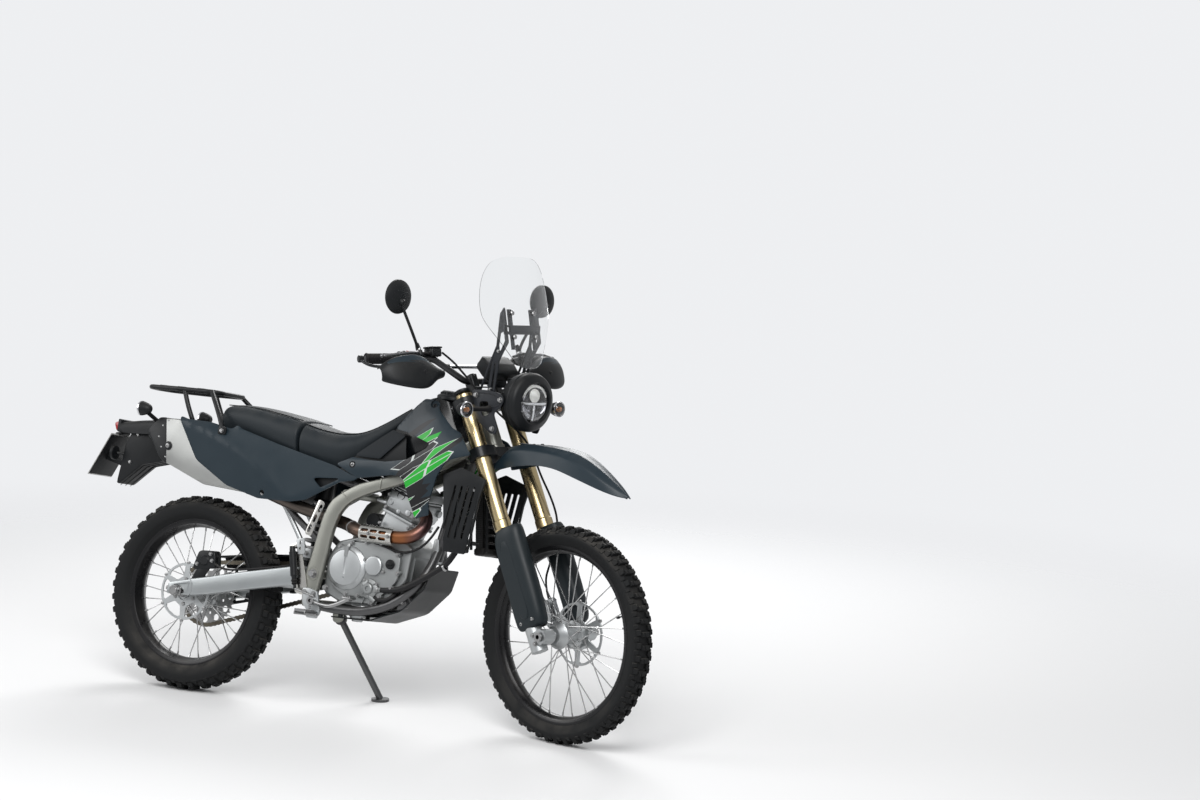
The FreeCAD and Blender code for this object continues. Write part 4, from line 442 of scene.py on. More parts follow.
BAR = Finish("dark bar alloy", (0.05, 0.05, 0.052), 0.3, metallic=0.8)
LEVER = Finish("cast lever alloy", (0.16, 0.16, 0.165), 0.34, metallic=0.9)
CLEAR = Finish("clear sheet", (0.97, 0.98, 0.98), 0.02, grain_depth=0.0, shade_spread=0.0, dust=0.0,
               kind=Kind.GLASS)
LAMP_WHITE = Finish("white light guide", (0.8, 0.8, 0.78), 0.3, dust=0.0, kind=Kind.LAMP)
LAMP_GLOW = Finish("lamp lens", (0.85, 0.85, 0.82), 0.12, dust=0.0, coat=0.5, kind=Kind.LAMP)
RED = Finish("red lens", (0.3, 0.006, 0.008), 0.16, coat=0.5, dust=0.02)
AMBER = Finish("amber bulb", (0.5, 0.16, 0.02), 0.2, coat=0.4, dust=0.0)
PLATE = Finish("blank plate", (0.5, 0.5, 0.49), 0.45, grain_depth=0.0, shade_spread=0.04)
DISPLAY = Finish("dark display glass", (0.012, 0.015, 0.014), 0.1, coat=0.6, dust=0.0)
CHALK_MARK = Finish("display mark", (0.35, 0.38, 0.36), 0.4, dust=0.0)
HOSE_RADIUS = 0.0035

NODE_FINISH = {
    "front_axle": STEEL, "rear_axle": STEEL, "fork_tubes": GOLD, "fork_stanchions": CHROME,
    "axle_clamps": ALLOY, "triple_clamps": BLACK_METAL, "frame_cradle": GRAPHITE, "subframe": GRAPHITE,
    "skid_plate": BLACK_METAL, "engine_cases": ENGINE, "chain": CHAIN, "chain_guard": BLACK_PLASTIC,
    "rear_rack": BLACK_METAL, "airbox": BLACK_PLASTIC, "side_stand": GRAPHITE, "coolant_elbows": HOSE
}


# Workshop: modelling steps that every sub-assembly uses


def pick(*pieces: bpy.types.Object) -> None:
    """Select only these pieces and make the first one active."""
    bpy.ops.object.select_all(action="DESELECT")
    for piece in pieces:
        piece.select_set(True)
    bpy.context.view_layer.objects.active = pieces[0]


def modify(piece: bpy.types.Object, kind: str, **settings: object) -> None:
    """Add a modifier and apply it.

    Args:
        piece: Piece to change.
        kind: Type of the modifier.
        settings: Values of the modifier's properties.
    """
    pick(piece)
    modifier = piece.modifiers.new(kind.lower(), kind)
    for name, value in settings.items():
        setattr(modifier, name, value)
    bpy.ops.object.modifier_apply(modifier=modifier.name)


def soften(piece: bpy.types.Object, width: float, segments: int = 2, angle: float = 35.0) -> None:
    """Round the sharp edges of a piece."""
    modify(piece, "BEVEL", width=width, segments=segments, limit_method="ANGLE",
           angle_limit=math.radians(angle), harden_normals=False)


def shade(piece: bpy.types.Object, angle: float = 35.0) -> None:
    """Shade a piece smooth except across its sharp edges."""
    pick(piece)
    bpy.ops.object.shade_smooth_by_angle(angle=math.radians(angle))


def outward(piece: bpy.types.Object) -> None:
    """Merge doubles and turn all faces outward."""
    pick(piece)
    bpy.ops.object.mode_set(mode="EDIT")
    bpy.ops.mesh.select_all(action="SELECT")
    bpy.ops.mesh.remove_doubles(threshold=0.01)
    bpy.ops.mesh.normals_make_consistent(inside=False)
    bpy.ops.object.mode_set(mode="OBJECT")


def merged(name: str, pieces: list[bpy.types.Object]) -> bpy.types.Object:
    """Join pieces into one.

    Args:
        name: Name of the result.
        pieces: Pieces to join; the first one keeps its object.

    Returns:
        The joined piece.
    """
    pick(*pieces)
    if len(pieces) > 1:
        bpy.ops.object.join()
    pieces[0].name = name
    pieces[0].data.name = name
    return pieces[0]


def copied(piece: bpy.types.Object, move: Matrix) -> bpy.types.Object:
    """Copy of a piece with its own mesh, moved by a matrix."""
    twin = piece.copy()
    twin.data = piece.data.copy()
    twin.data.transform(move)
    if move.determinant() < 0:
        twin.data.flip_normals()
    bpy.context.scene.collection.objects.link(twin)
    return twin


def ring_of(name: str, piece: bpy.types.Object, count: int, centre: Vector, axis: Vector) -> bpy.types.Object:
    """Repeat a piece round an axis.

    Args:
        name: Name of the result.
        piece: The piece as modelled once.
        count: How many there are in the ring.
        centre: Point on the axis.
        axis: Direction of the axis.

    Returns:
        All the copies as one piece.
    """
    there, back = Matrix.Translation(centre), Matrix.Translation(-centre)
    turns = [there @ Matrix.Rotation(math.tau * i / count, 4, axis) @ back for i in range(1, count)]
    return merged(name, [piece] + [copied(piece, turn) for turn in turns])


def mirror_copy(piece: bpy.types.Object) -> bpy.types.Object:
    """Copy of a piece on the other side of the machine."""
    return copied(piece, Matrix.Scale(-1, 4, LEFT))


def flipped(piece: bpy.types.Object) -> bpy.types.Object:
    """A piece moved to its mirror place on the other side."""
    twin = mirror_copy(piece)
    bpy.data.objects.remove(piece)
    return twin


def both_sides(name: str, piece: bpy.types.Object) -> bpy.types.Object:
    """A piece and its mirror image as one."""
    return merged(name, [piece, mirror_copy(piece)])


def planned(piece: bpy.types.Object) -> bpy.types.Object:
    """Give a piece a map of its side view, in metres, for a pattern that it carries."""
    layer = piece.data.uv_layers.new(name="plan")
    for loop in piece.data.loops:
        spot = piece.data.vertices[loop.vertex_index].co
        layer.data[loop.index].uv = (spot.x * MM, spot.z * MM)
    return piece


def turn_to(axis: Vector, spot: Vector) -> Matrix:
    """Matrix that takes local Z to an axis and the origin to a spot."""
    return Matrix.Translation(spot) @ axis.normalized().to_track_quat("Z", "Y").to_matrix().to_4x4()


def facing(spot: Vector, across: Vector, upward: Vector, outward: Vector) -> Matrix:
    """Placement at a spot, with its X, Y and Z axes along three directions."""
    return Matrix.Translation(spot) @ Matrix((across, upward, outward)).transposed().to_4x4()


def cylinder(
    name: str, base: Vector, axis: Vector, length: float, radius: float, sides: int = 24,
    top: float | None = None, edge: float = 0.0, segments: int = 2
) -> bpy.types.Object:
    """Cylinder or cone primitive, placed by its base.

    Args:
        name: Name of the piece.
        base: Middle of its base.
        axis: Direction of its axis.
        length: Its length.
        radius: Radius at the base.
        sides: Number of sides.
        top: Radius at the far end, if it differs.
        edge: Width of the rounding of its edges.
        segments: Segments of that rounding.

    Returns:
        The new piece.
    """
    bpy.ops.object.select_all(action="DESELECT")
    bpy.ops.mesh.primitive_cone_add(vertices=sides, radius1=radius, radius2=radius if top is None else top,
                                    depth=length, location=(0, 0, 0))
    piece = bpy.context.object
    piece.name = name
    piece.data.transform(turn_to(axis, base) @ translated(0, 0, length / 2))
    if edge:
        soften(piece, edge, segments)
    return piece


def block(
    name: str, size: Triple, move: Matrix, edge: float = 0.0, segments: int = 2, angle: float = 35.0
) -> bpy.types.Object:
    """Box primitive.

    Args:
        name: Name of the piece.
        size: Its length, width and height.
        move: Matrix that takes it from the origin to its place.
        edge: Width of the rounding of its edges.
        segments: Segments of that rounding.
        angle: Angle past which an edge is rounded.

    Returns:
        The new piece.
    """
    bpy.ops.object.select_all(action="DESELECT")
    bpy.ops.mesh.primitive_cube_add(size=1.0)
    piece = bpy.context.object
    piece.name = name
    piece.data.transform(move @ Matrix.Diagonal((*size, 1.0)))
    if edge:
        soften(piece, edge, segments, angle)
    return piece


def outline(name: str, points: list[Vector], closed: bool = True) -> bpy.types.Object:
    """Line drawn from a row of points, as a face if it is closed."""
    mesh = bpy.data.meshes.new(name)
    edges = [(i, i + 1) for i in range(len(points) - 1)]
    mesh.from_pydata(points, [] if closed else edges, [tuple(range(len(points)))] if closed else [])
    piece = bpy.data.objects.new(name, mesh)
    bpy.context.scene.collection.objects.link(piece)
    return piece


def rounded(rows: list[Triple], steps: int = 4) -> list[Pair]:
    """Corner points of a closed outline with each corner rounded by its radius.

    Args:
        rows: Rows of (x, z, corner radius).
        steps: Segments of each round corner.

    Returns:
        Points of (x, z).
    """
    points = []
    count = len(rows)
    for index, (x, z, radius) in enumerate(rows):
        corner = Vector((x, z))
        if radius <= 0:
            points.append((x, z))
            continue
        back = Vector(rows[index - 1][:2]) - corner
        ahead = Vector(rows[(index + 1) % count][:2]) - corner
        half = back.angle(ahead) / 2
        reach = min(radius / math.tan(half), 0.48 * back.length, 0.48 * ahead.length)
        start, end = corner + back.normalized() * reach, corner + ahead.normalized() * reach
        for step in range(steps + 1):
            t = step / steps
            spot = start * (1 - t) ** 2 + corner * (2 * t * (1 - t)) + end * t ** 2
            points.append((spot.x, spot.y))
    return points


def extruded(piece: bpy.types.Object, move: Vector) -> bpy.types.Object:
    """Extrude all of a flat piece along a line and close it."""
    pick(piece)
    bpy.ops.object.mode_set(mode="EDIT")
    bpy.ops.mesh.select_all(action="SELECT")
    bpy.ops.mesh.extrude_region_move(TRANSFORM_OT_translate={"value": move})
    bpy.ops.mesh.select_all(action="SELECT")
    bpy.ops.mesh.normals_make_consistent(inside=False)
    bpy.ops.object.mode_set(mode="OBJECT")
    return piece


def side_plate(
    name: str, rows: list[Triple], y_from: float, y_to: float, edge: float = 0.0, segments: int = 2
) -> bpy.types.Object:
    """Plate that lies along the machine.

    Args:
        name: Name of the piece.
        rows: Outline as rows of (x, z, corner radius).
        y_from: Y of its first face.
        y_to: Y of its other face.
        edge: Width of the rounding of its edges.
        segments: Segments of that rounding.

    Returns:
        The new piece.
    """
    points = [Vector((x, y_from, z)) for x, z in rounded(rows)]
    piece = extruded(outline(name, points), Vector((0, y_to - y_from, 0)))
    if edge:
        soften(piece, edge, segments, 50.0)
    return piece


def spun(
    name: str, rows: list[Pair], centre: Vector, axis: Vector, steps: int = 48, closed: bool = True
) -> bpy.types.Object:
    """Turned piece, from its profile.

    Args:
        name: Name of the piece.
        rows: Profile as rows of (distance along the axis, radius).
        centre: Point on the axis from which distances count.
        axis: Direction of the axis.
        steps: Segments round the axis.
        closed: Whether the profile's ends are joined.

    Returns:
        The new piece, with its faces outward.
    """
    axis = axis.normalized()
    move = turn_to(axis, centre)
    points = [move @ Vector((radius, 0, along)) for along, radius in rows]
    if closed:
        points.append(points[0].copy())
    piece = outline(name, points, closed=False)
    pick(piece)
    bpy.ops.object.mode_set(mode="EDIT")
    bpy.ops.mesh.select_all(action="SELECT")
    bpy.ops.mesh.spin(steps=steps, angle=math.tau, center=centre, axis=axis)
    bpy.ops.object.mode_set(mode="OBJECT")
    outward(piece)
    return piece


def round_curve(
    name: str, points: list[Spot], radius: float, sides: int, steps: int, smooth: bool = True
) -> bpy.types.Object:
    """Curve with a round section.

    Args:
        name: Name of the curve.
        points: Control points of the line.
        radius: Radius of the section.
        sides: Bevel resolution.
        steps: Resolution along the line.
        smooth: Whether the line rounds its corners.

    Returns:
        The curve, with closed ends.
    """
    curve = bpy.data.curves.new(name, "CURVE")
    curve.dimensions = "3D"
    curve.bevel_depth = radius
    curve.bevel_resolution = sides
    curve.use_fill_caps = True
    curve.resolution_u = steps
    spline = curve.splines.new("NURBS" if smooth else "POLY")
    spline.points.add(len(points) - 1)
    for knot, point in zip(spline.points, points):
        knot.co = (*point, 1.0)
    if smooth:
        spline.order_u = 3
        spline.use_endpoint_u = True
    piece = bpy.data.objects.new(name, curve)
    bpy.context.scene.collection.objects.link(piece)
    return piece


def tube(
    name: str, points: list[Spot], radius: float, sides: int = 3, smooth: bool = True
) -> bpy.types.Object:
    """Round bar along a smooth line through a row of points.

    Args:
        name: Name of the piece.
        points: Control points of the line.
        radius: Radius of the bar.
        sides: Bevel resolution.
        smooth: Whether the line rounds its corners.

    Returns:
        The bar as a mesh with closed ends.
    """
    piece = round_curve(name, points, radius, sides, 8, smooth)
    pick(piece)
    bpy.ops.object.convert(target="MESH")
    return bpy.context.object


def carve(piece: bpy.types.Object, *cutters: bpy.types.Object, keep: bool = False) -> None:
    """Cut pieces out of a piece and delete the cutters."""
    for cutter in cutters:
        modify(piece, "BOOLEAN", object=cutter, operation="DIFFERENCE", solver="EXACT")
    if not keep:
        for cutter in cutters:
            bpy.data.objects.remove(cutter)


def loft(name: str, sections: list[list[Vector]], rounds: int = 2, caps: bool = True) -> bpy.types.Object:
    """Smooth body through closed sections with the same number of points.

    Args:
        name: Name of the piece.
        sections: Rings of points, in order along the body.
        rounds: Levels of subdivision.
        caps: Whether the ends are closed.

    Returns:
        The new piece.
    """
    count = len(sections[0])
    points = [point for section in sections for point in section]
    faces = []
    for row in range(len(sections) - 1):
        for i in range(count):
            j = (i + 1) % count
            faces.append((row * count + i, row * count + j, (row + 1) * count + j, (row + 1) * count + i))
    if caps:
        faces.append(tuple(reversed(range(count))))
        faces.append(tuple(range((len(sections) - 1) * count, len(sections) * count)))
    mesh = bpy.data.meshes.new(name)
    mesh.from_pydata(points, [], faces)
    piece = bpy.data.objects.new(name, mesh)
    bpy.context.scene.collection.objects.link(piece)
    outward(piece)
    if rounds:
        modify(piece, "SUBSURF", levels=rounds, render_levels=rounds)
    return piece


def panel(
    name: str, rows: list[list[Vector]], thickness: float, rounds: int = 2, edge: float = 1.2
) -> bpy.types.Object:
    """Curved sheet of moulded plastic through a net of points.

    Args:
        name: Name of the piece.
        rows: Rows of points, each with the same number.
        thickness: Wall of the sheet, laid to its inner side.
        rounds: Levels of subdivision.
        edge: Rounding of the sheet's rim.

    Returns:
        The new piece.
    """
    bpy.ops.object.select_all(action="DESELECT")
    bpy.ops.mesh.primitive_grid_add(x_subdivisions=len(rows[0]) - 1, y_subdivisions=len(rows) - 1, size=1.0)
    piece = bpy.context.object
    piece.name = name
    for vertex, point in zip(piece.data.vertices, [p for row in rows for p in row]):
        vertex.co = point
    if rounds:
        modify(piece, "SUBSURF", levels=rounds, render_levels=rounds)
    modify(piece, "SOLIDIFY", thickness=thickness, offset=-1.0)
    if edge:
        soften(piece, edge, 2, 60.0)
    return piece


def smooth_at(places: list[float], values: list[float], place: float) -> float:
    """Value of a smooth curve through a row of values.

    Args:
        places: Where the values stand, in rising order.
        values: The values.
        place: Where the curve is read; it is held at the ends.

    Returns:
        The value there.
    """
    if place <= places[0]:
        return values[0]
    if place >= places[-1]:
        return values[-1]
    index = max(i for i, p in enumerate(places[:-1]) if p <= place)
    slopes = []
    for i in (index, index + 1):
        low, high = max(i - 1, 0), min(i + 1, len(places) - 1)
        slopes.append((values[high] - values[low]) / (places[high] - places[low]))
    span = places[index + 1] - places[index]
    t = (place - places[index]) / span
    cubes = (2 * t ** 3 - 3 * t ** 2 + 1, t ** 3 - 2 * t ** 2 + t, 3 * t ** 2 - 2 * t ** 3, t ** 3 - t ** 2)
    return (cubes[0] * values[index] + cubes[1] * span * slopes[0] + cubes[2] * values[index + 1] + cubes[3]
            * span * slopes[1])


@dataclass(frozen=True)
class Relief:
    """Shape of a body panel: at each X, a line of (z, y) from its top down to its bottom."""

    rows: tuple[tuple[float, tuple[Pair, ...]], ...]

    def y_at(self, x: float, z: float) -> float:
        """Y of the panel's outer face at a point."""
        places = [row[0] for row in self.rows]
        line = []
        for index in range(len(self.rows[0][1])):
            height = smooth_at(places, [row[1][index][0] for row in self.rows], x)
            depth = smooth_at(places, [row[1][index][1] for row in self.rows], x)
            line.append((height, depth))
        line.sort()
        return smooth_at([spot[0] for spot in line], [spot[1] for spot in line], z)


def gridded(piece: bpy.types.Object, step: float) -> None:
    """Cut a flat side panel into a grid, so that it can be curved."""
    pick(piece)
    low = [min(v.co[i] for v in piece.data.vertices) for i in range(3)]
    high = [max(v.co[i] for v in piece.data.vertices) for i in range(3)]
    bpy.ops.object.mode_set(mode="EDIT")
    for axis in (0, 2):
        normal = tuple(1.0 if i == axis else 0.0 for i in range(3))
        count = int((high[axis] - low[axis]) / step)
        for index in range(1, count + 1):
            spot = low[axis] + (high[axis] - low[axis]) * index / (count + 1)
            bpy.ops.mesh.select_all(action="SELECT")
            bpy.ops.mesh.bisect(plane_co=tuple(n * spot for n in normal), plane_no=normal)
    bpy.ops.object.mode_set(mode="OBJECT")


def draped(
    name: str, rows: list[Triple], relief: Relief, thickness: float = 4.0, step: float = 13.0,
    edge: float = 1.3, openings: tuple[bpy.types.Object, ...] = ()
) -> bpy.types.Object:
    """Moulded side panel: an exact outline laid on a curved surface, on the left of the machine.

    Args:
        name: Name of the piece.
        rows: Outline as rows of (x, z, corner radius).
        relief: Shape of its outer face.
        thickness: Its wall.
        step: Size of the grid that it is curved on.
        edge: Rounding of its rim.
        openings: Pieces that cut it through.

    Returns:
        The new piece.
    """
    piece = outline(name, [Vector((x, 0, z)) for x, z in rounded(rows, 6)])
    gridded(piece, step)
    for vertex in piece.data.vertices:
        vertex.co.y = relief.y_at(vertex.co.x, vertex.co.z)
    pick(piece)
    bpy.ops.object.mode_set(mode="EDIT")
    bpy.ops.mesh.select_all(action="SELECT")
    bpy.ops.mesh.remove_doubles(threshold=0.3)
    bpy.ops.mesh.quads_convert_to_tris()
    bpy.ops.mesh.tris_convert_to_quads(face_threshold=1.2, shape_threshold=1.2)
    bpy.ops.mesh.normals_make_consistent(inside=False)
    bpy.ops.object.mode_set(mode="OBJECT")
    if sum(polygon.normal.y * polygon.area for polygon in piece.data.polygons) < 0:
        piece.data.flip_normals()
    modify(piece, "SOLIDIFY", thickness=thickness, offset=-1.0)
    if openings:
        carve(piece, *openings)
    if edge:
        modify(piece, "BEVEL", width=edge, segments=2, limit_method="ANGLE", angle_limit=math.radians(60))
    return piece


def screw(spot: Vector, axis: Vector, radius: float) -> bpy.types.Object:
    """Button head screw with a six sided socket."""
    head = spun("screw", [
        (-6, 0), (-6, radius), (0, radius), (radius * 0.32, radius * 0.86), (radius * 0.5, radius * 0.5),
        (radius * 0.5, 0)
    ], spot, axis, 20, False)
    tool = cylinder("tool", spot + axis.normalized() * radius * 0.1, axis, radius, radius * 0.42, 6)
    carve(head, tool)
    return head


def capsule(
    name: str, spot: Vector, length: float, wide: float, deep: float, slope: float
) -> bpy.types.Object:
    """Round ended bar across the machine, to cut a slot.

    Args:
        name: Name of the piece.
        spot: Middle of its first face.
        length: Distance between the middles of its round ends.
        wide: Width of the slot.
        deep: How far it reaches to the left.
        slope: Rise of the slot towards the front, in degrees.

    Returns:
        The new piece.
    """
    turn = Matrix.Translation(spot) @ rotation(-slope, "Y")
    points = []
    for side in (1, -1):
        for step in range(7):
            angle = math.radians(-90 + 30 * step)
            points.append(turn @ Vector((side * (length + math.cos(angle) * wide) / 2, 0,
                                         side * math.sin(angle) * wide / 2)))
    return extruded(outline(name, points), Vector((0, deep, 0)))


def hex_bolt(spot: Vector, axis: Vector, radius: float) -> bpy.types.Object:
    """Flanged bolt head with six sides."""
    along = axis.normalized()
    flange = cylinder("flange", spot - along * 2, along, 3.8, radius * 1.35, 18, radius * 1.2)
    head = cylinder("head", spot + along, along, radius * 1.1, radius, 6)
    soften(head, radius * 0.12, 1)
    return merged("bolt", [flange, head])


def indicator(maker: "Assembly", spot: Vector, axis: Vector, radius: float) -> bpy.types.Object:
    """Body of an indicator: black shell, bright rim, reflector and bulb.

    Args:
        maker: Assembly that paints it.
        spot: Middle of the lamp.
        axis: Way that it shines.
        radius: Radius of its rim.

    Returns:
        The body, without its lens.
    """
    shell = spun("shell", [
        (-34, 0), (-34, 9), (-30, 14), (-20, radius - 6), (-6, radius - 2), (4, radius - 0.5),
        (4, radius - 3), (-4, radius - 4), (-4, 0)
    ], spot, axis, 40, False)
    rim = spun("rim", [(1, radius - 3), (1, radius - 0.2), (4, radius), (7, radius - 0.6), (7, radius - 3)],
               spot, axis, 48)
    dish = spun("dish", [(4, radius - 3), (0, radius - 6), (-6, radius - 12), (-8, 5), (-8, 0)], spot, axis,
                32, False)
    bulb = spun("bulb", [(-8, 0), (-8, 5), (2, 5.4), (6, 4), (8, 0)], spot, axis, 20, False)
    for piece, finish in ((shell, BLACK_PLASTIC), (rim, CHROME), (dish, CHROME), (bulb, AMBER)):
        maker.paint_in(piece, finish)
    return merged("indicator", [shell, rim, dish, bulb])


def indicator_lens(spot: Vector, axis: Vector, radius: float) -> bpy.types.Object:
    """Domed clear lens of an indicator, with a wall."""
    return spun("lens", [
        (5, radius - 2.8), (9, radius - 4), (14, radius - 10), (18, 8), (19, 0), (17, 0), (16, 8),
        (12, radius - 12), (8, radius - 6), (5, radius - 5)
    ], spot, axis, 40, False)


def symmetric(line: list[Vector]) -> list[Vector]:
    """Half a line, up to the middle plane, and its mirror image."""
    return line + [Vector((p.x, -p.y, p.z)) for p in reversed(line[:-1])]


def arch(x: float, rows: list[Pair]) -> list[Vector]:
    """Closed section across the machine from rows of (half width, z), from the bottom to the top."""
    left = [Vector((x, half, z)) for half, z in rows]
    right = [Vector((x, -half, z)) for half, z in reversed(rows) if half]
    return left + right


@dataclass
class Assembly:
    """Base of the sub-assemblies: it finishes pieces and puts them in their places."""

    paint: "Paintbox"

    def finish(
        self, piece: bpy.types.Object, body: Body, finish: Finish | None, slot: str,
        replaces: tuple[str, ...] = (), angle: float = 35.0
    ) -> bpy.types.Object:
        """Shade, paint and place a piece that was drawn in the upright machine.

        Args:
            piece: Finished mesh in millimetres.
            body: Body that it rides on.
            finish: Its finish, or None if its materials are set.
            slot: Not used.
            replaces: CAD nodes that it stands for.
            angle: Angle past which an edge stays sharp.

        Returns:
            The piece, in its place.
        """
        shade(piece, angle)
        if finish is not None:
            piece.data.materials.clear()
            piece.data.materials.append(self.paint.get(finish))
        place = GROUND @ STEER if body in STEERED else GROUND
        piece.data.transform(METRES @ place)
        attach(piece, body.value)
        if replaces:
            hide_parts(*replaces)
        LOG.info("%s: %d faces", piece.name, len(piece.data.polygons))
        return piece

    def paint_in(self, piece: bpy.types.Object, finish: Finish) -> bpy.types.Object:
        """Give a piece one finish before it is joined to others."""
        piece.data.materials.clear()
        piece.data.materials.append(self.paint.get(finish))
        return piece

    def paint_all(self, finish: Finish, *pieces: bpy.types.Object) -> None:
        """Give several pieces the same finish before they are joined."""
        for piece in pieces:
            self.paint_in(piece, finish)

    def bolts(
        self, spots: list[Spot], axis: Vector, radius: float
    ) -> bpy.types.Object:
        """The same flanged steel bolt at each spot."""
        first, *others = [Vector(spot) for spot in spots]
        bolt = hex_bolt(first, axis, radius)
        twins = [copied(bolt, Matrix.Translation(spot - first)) for spot in others]
        return self.paint_in(merged("bolts", [bolt] + twins), STEEL)

    def assemble(self, name: str, parts: list[bpy.types.Object], body: Body, slot: str,
                 replaces: tuple[str, ...] = (), angle: float = 35.0, twin: bool = False) -> bpy.types.Object:
        """Join painted parts into one piece and put it in its place.

        Args:
            name: Name of the piece.
            parts: Its parts, each with its finish.
            body: Body that it rides on.
            slot: Not used.
            replaces: CAD nodes that it stands for.
            angle: Angle past which an edge stays sharp.
            twin: Whether its mirror image belongs to it.

        Returns:
            The piece, in its place.
        """
        piece = merged(name, parts)
        if twin:
            piece = both_sides(name, piece)
        return self.finish(piece, body, None, slot, replaces, angle)


# Wheels


@dataclass
class Wheel(Assembly):
    """Spoked wheel with a knobby tyre: its sizes, in millimetres from its axle."""

    name: str
    body: Body
    axle: Vector
    radius: float
    width: float
    rim_radius: float
    rim_width: float
    flange_y: float
    knob_steps: int
    knob_rows: list[tuple[float, float, float, float, float]]
    spokes: int = 32
    sweep: float = 48.0
    flange_radius: float = 44.0
    knob_depth: float = 11.0

    def at(self, angle: float, radius: float, y: float) -> Vector:
        """Point round the axle at an angle, radius and Y."""
        return self.axle + Vector((math.cos(angle) * radius, y, math.sin(angle) * radius))

    def crown(self, y: float) -> float:
        """Radius of the carcass under the tread at a Y."""
        half = self.width / 2
        return self.radius - self.knob_depth - 0.30 * half * (abs(y) / half) ** 2.2

    def carcass(self) -> bpy.types.Object:
        """Tyre body with its sidewalls, bead and moulded rings."""
        half = self.width / 2
        low = self.rim_radius
        top = self.crown(half * 0.8)
        right = [(-self.rim_width / 2 + 4, low - 6), (-self.rim_width / 2 + 1, low + 3),
                 (-self.rim_width / 2 - 4, low + 9), (-half + 7, low + 22), (-half + 6, low + 24),
                 (-half + 3, low + 32), (-half + 2, top - 12), (-half + 5, top - 3), (-half * 0.8, top)]
        tread = [(half * y, self.crown(half * y)) for y in (-0.6, -0.4, -0.2, 0.0)]
        rows = right + tread
        rows += [(-y, radius) for y, radius in reversed(rows[:-1])]
        return spun(f"{self.name}_carcass", rows, self.axle, LEFT, 120)

    def knob(self, y: float, wide: float, long: float, shift: float, lean: float) -> bpy.types.Object:
        """One tread block that stands on the carcass.

        Args:
            y: Y of its middle.
            wide: Width across the tyre.
            long: Length along the tread.
            shift: Where it stands in its step, from 0 to 1.
            lean: Tilt outward in degrees.

        Returns:
            The block, with its top smaller than its foot.
        """
        tall = self.knob_depth + 5
        angle = math.radians(-90) + math.tau / self.knob_steps * shift
        stand = self.crown(y) - 5
        place = (Matrix.Translation(self.at(angle, stand, y)) @ Matrix.Rotation(-angle, 4, "Y")
                 @ rotation(-lean, "Z") @ translated(tall / 2, 0, 0))
        piece = block("knob", (tall, wide, long), Matrix.Identity(4))
        for vertex in piece.data.vertices:
            if vertex.co.x > 0:
                vertex.co.y *= 0.84
                vertex.co.z *= 0.84
        soften(piece, 1.4, 1, 30.0)
        piece.data.transform(place)
        return piece

    def tyre(self, slot: str, node: str) -> bpy.types.Object:
        """Whole tyre: carcass and every row of blocks."""
        blocks = []
        for y, wide, long, shift, lean in self.knob_rows:
            for side in (1, -1) if y else (1,):
                turn = shift if side > 0 else shift + (0.5 if abs(y) < self.width * 0.3 else 0.0)
                blocks.append(self.knob(y * side, wide, long, turn, lean * side))
        step = merged("blocks", blocks)
        tread = ring_of("tread", step, self.knob_steps, self.axle, LEFT)
        whole = merged(f"{self.name}_tyre_knobby", [self.carcass(), tread])
        return self.finish(whole, self.body, TYRE, slot, (node,), 40.0)

    def rim(self) -> bpy.types.Object:
        """Rim extrusion with its raised edges and well."""
        half = self.rim_width / 2
        r = self.rim_radius
        rows = [
            (-half, r + 7), (-half - 2.5, r + 6), (-half - 2.5, r - 3), (-half + 1, r - 9),
            (-half + 9, r - 12), (-14, r - 17), (-9, r - 20), (0, r - 21), (9, r - 20), (14, r - 17),
            (half - 9, r - 12), (half - 1, r - 9), (half + 2.5, r - 3), (half + 2.5, r + 6), (half, r + 7),
            (half - 3, r - 2), (half - 10, r - 7), (10, r - 14), (-10, r - 14), (-half + 10, r - 7),
            (-half + 3, r - 2)
        ]
        return self.paint_in(spun("rim", rows, self.axle, LEFT, 120), RIM_BLACK)

    def spoke_set(self) -> bpy.types.Object:
        """Crossed spokes with their nipples, bent at the hub."""
        group = []
        steps = self.spokes // 4
        for index in range(4):
            side = 1 if index % 2 == 0 else -1
            sweep = self.sweep if index < 2 else -self.sweep
            outer = math.tau * index / self.spokes
            inner = outer + math.radians(sweep)
            hole = self.at(inner, self.flange_radius - 6, side * (self.flange_y + (4 if index < 2 else -4)))
            nipple = self.at(outer, self.rim_radius - 32, side * 6)
            seat = self.at(outer, self.rim_radius - 15, side * 3)
            group.append(cylinder("spoke", hole, nipple - hole, (nipple - hole).length, 1.9, 8))
            group.append(cylinder("nipple", nipple, seat - nipple, (seat - nipple).length, 3.2, 6))
            group.append(cylinder("head", hole - Vector((0, side * 5, 0)), LEFT * side, 9.0, 3.6, 8))
        step = merged("spoke_group", group)
        return self.paint_in(ring_of("spokes", step, steps, self.axle, LEFT), SPOKE)

    def hub(self, rows: list[Pair], bore: float) -> bpy.types.Object:
        """Turned hub between its two flanges.

        Args:
            rows: Rows of (y, radius) from its right end to its left end.
            bore: Radius of its bore.

        Returns:
            The hub.
        """
        closed = [(rows[0][0], bore)] + rows + [(rows[-1][0], bore)]
        piece = spun("hub", closed, self.axle, LEFT, 64)
        return self.paint_in(piece, ALLOY)

    def valve(self) -> bpy.types.Object:
        """Valve stem with its nut and cap, inward from the rim."""
        start = self.at(0.35, self.rim_radius - 20, 0)
        inward = (self.axle - start).normalized()
        parts = [cylinder("stem", start, inward, 26, 2.6, 10), cylinder("nut", start, inward, 4, 6, 6),
                 cylinder("cap", start + inward * 22, inward, 10, 4.2, 10, 3.4)]
        return self.paint_in(merged("valve", parts), BLACK_METAL)

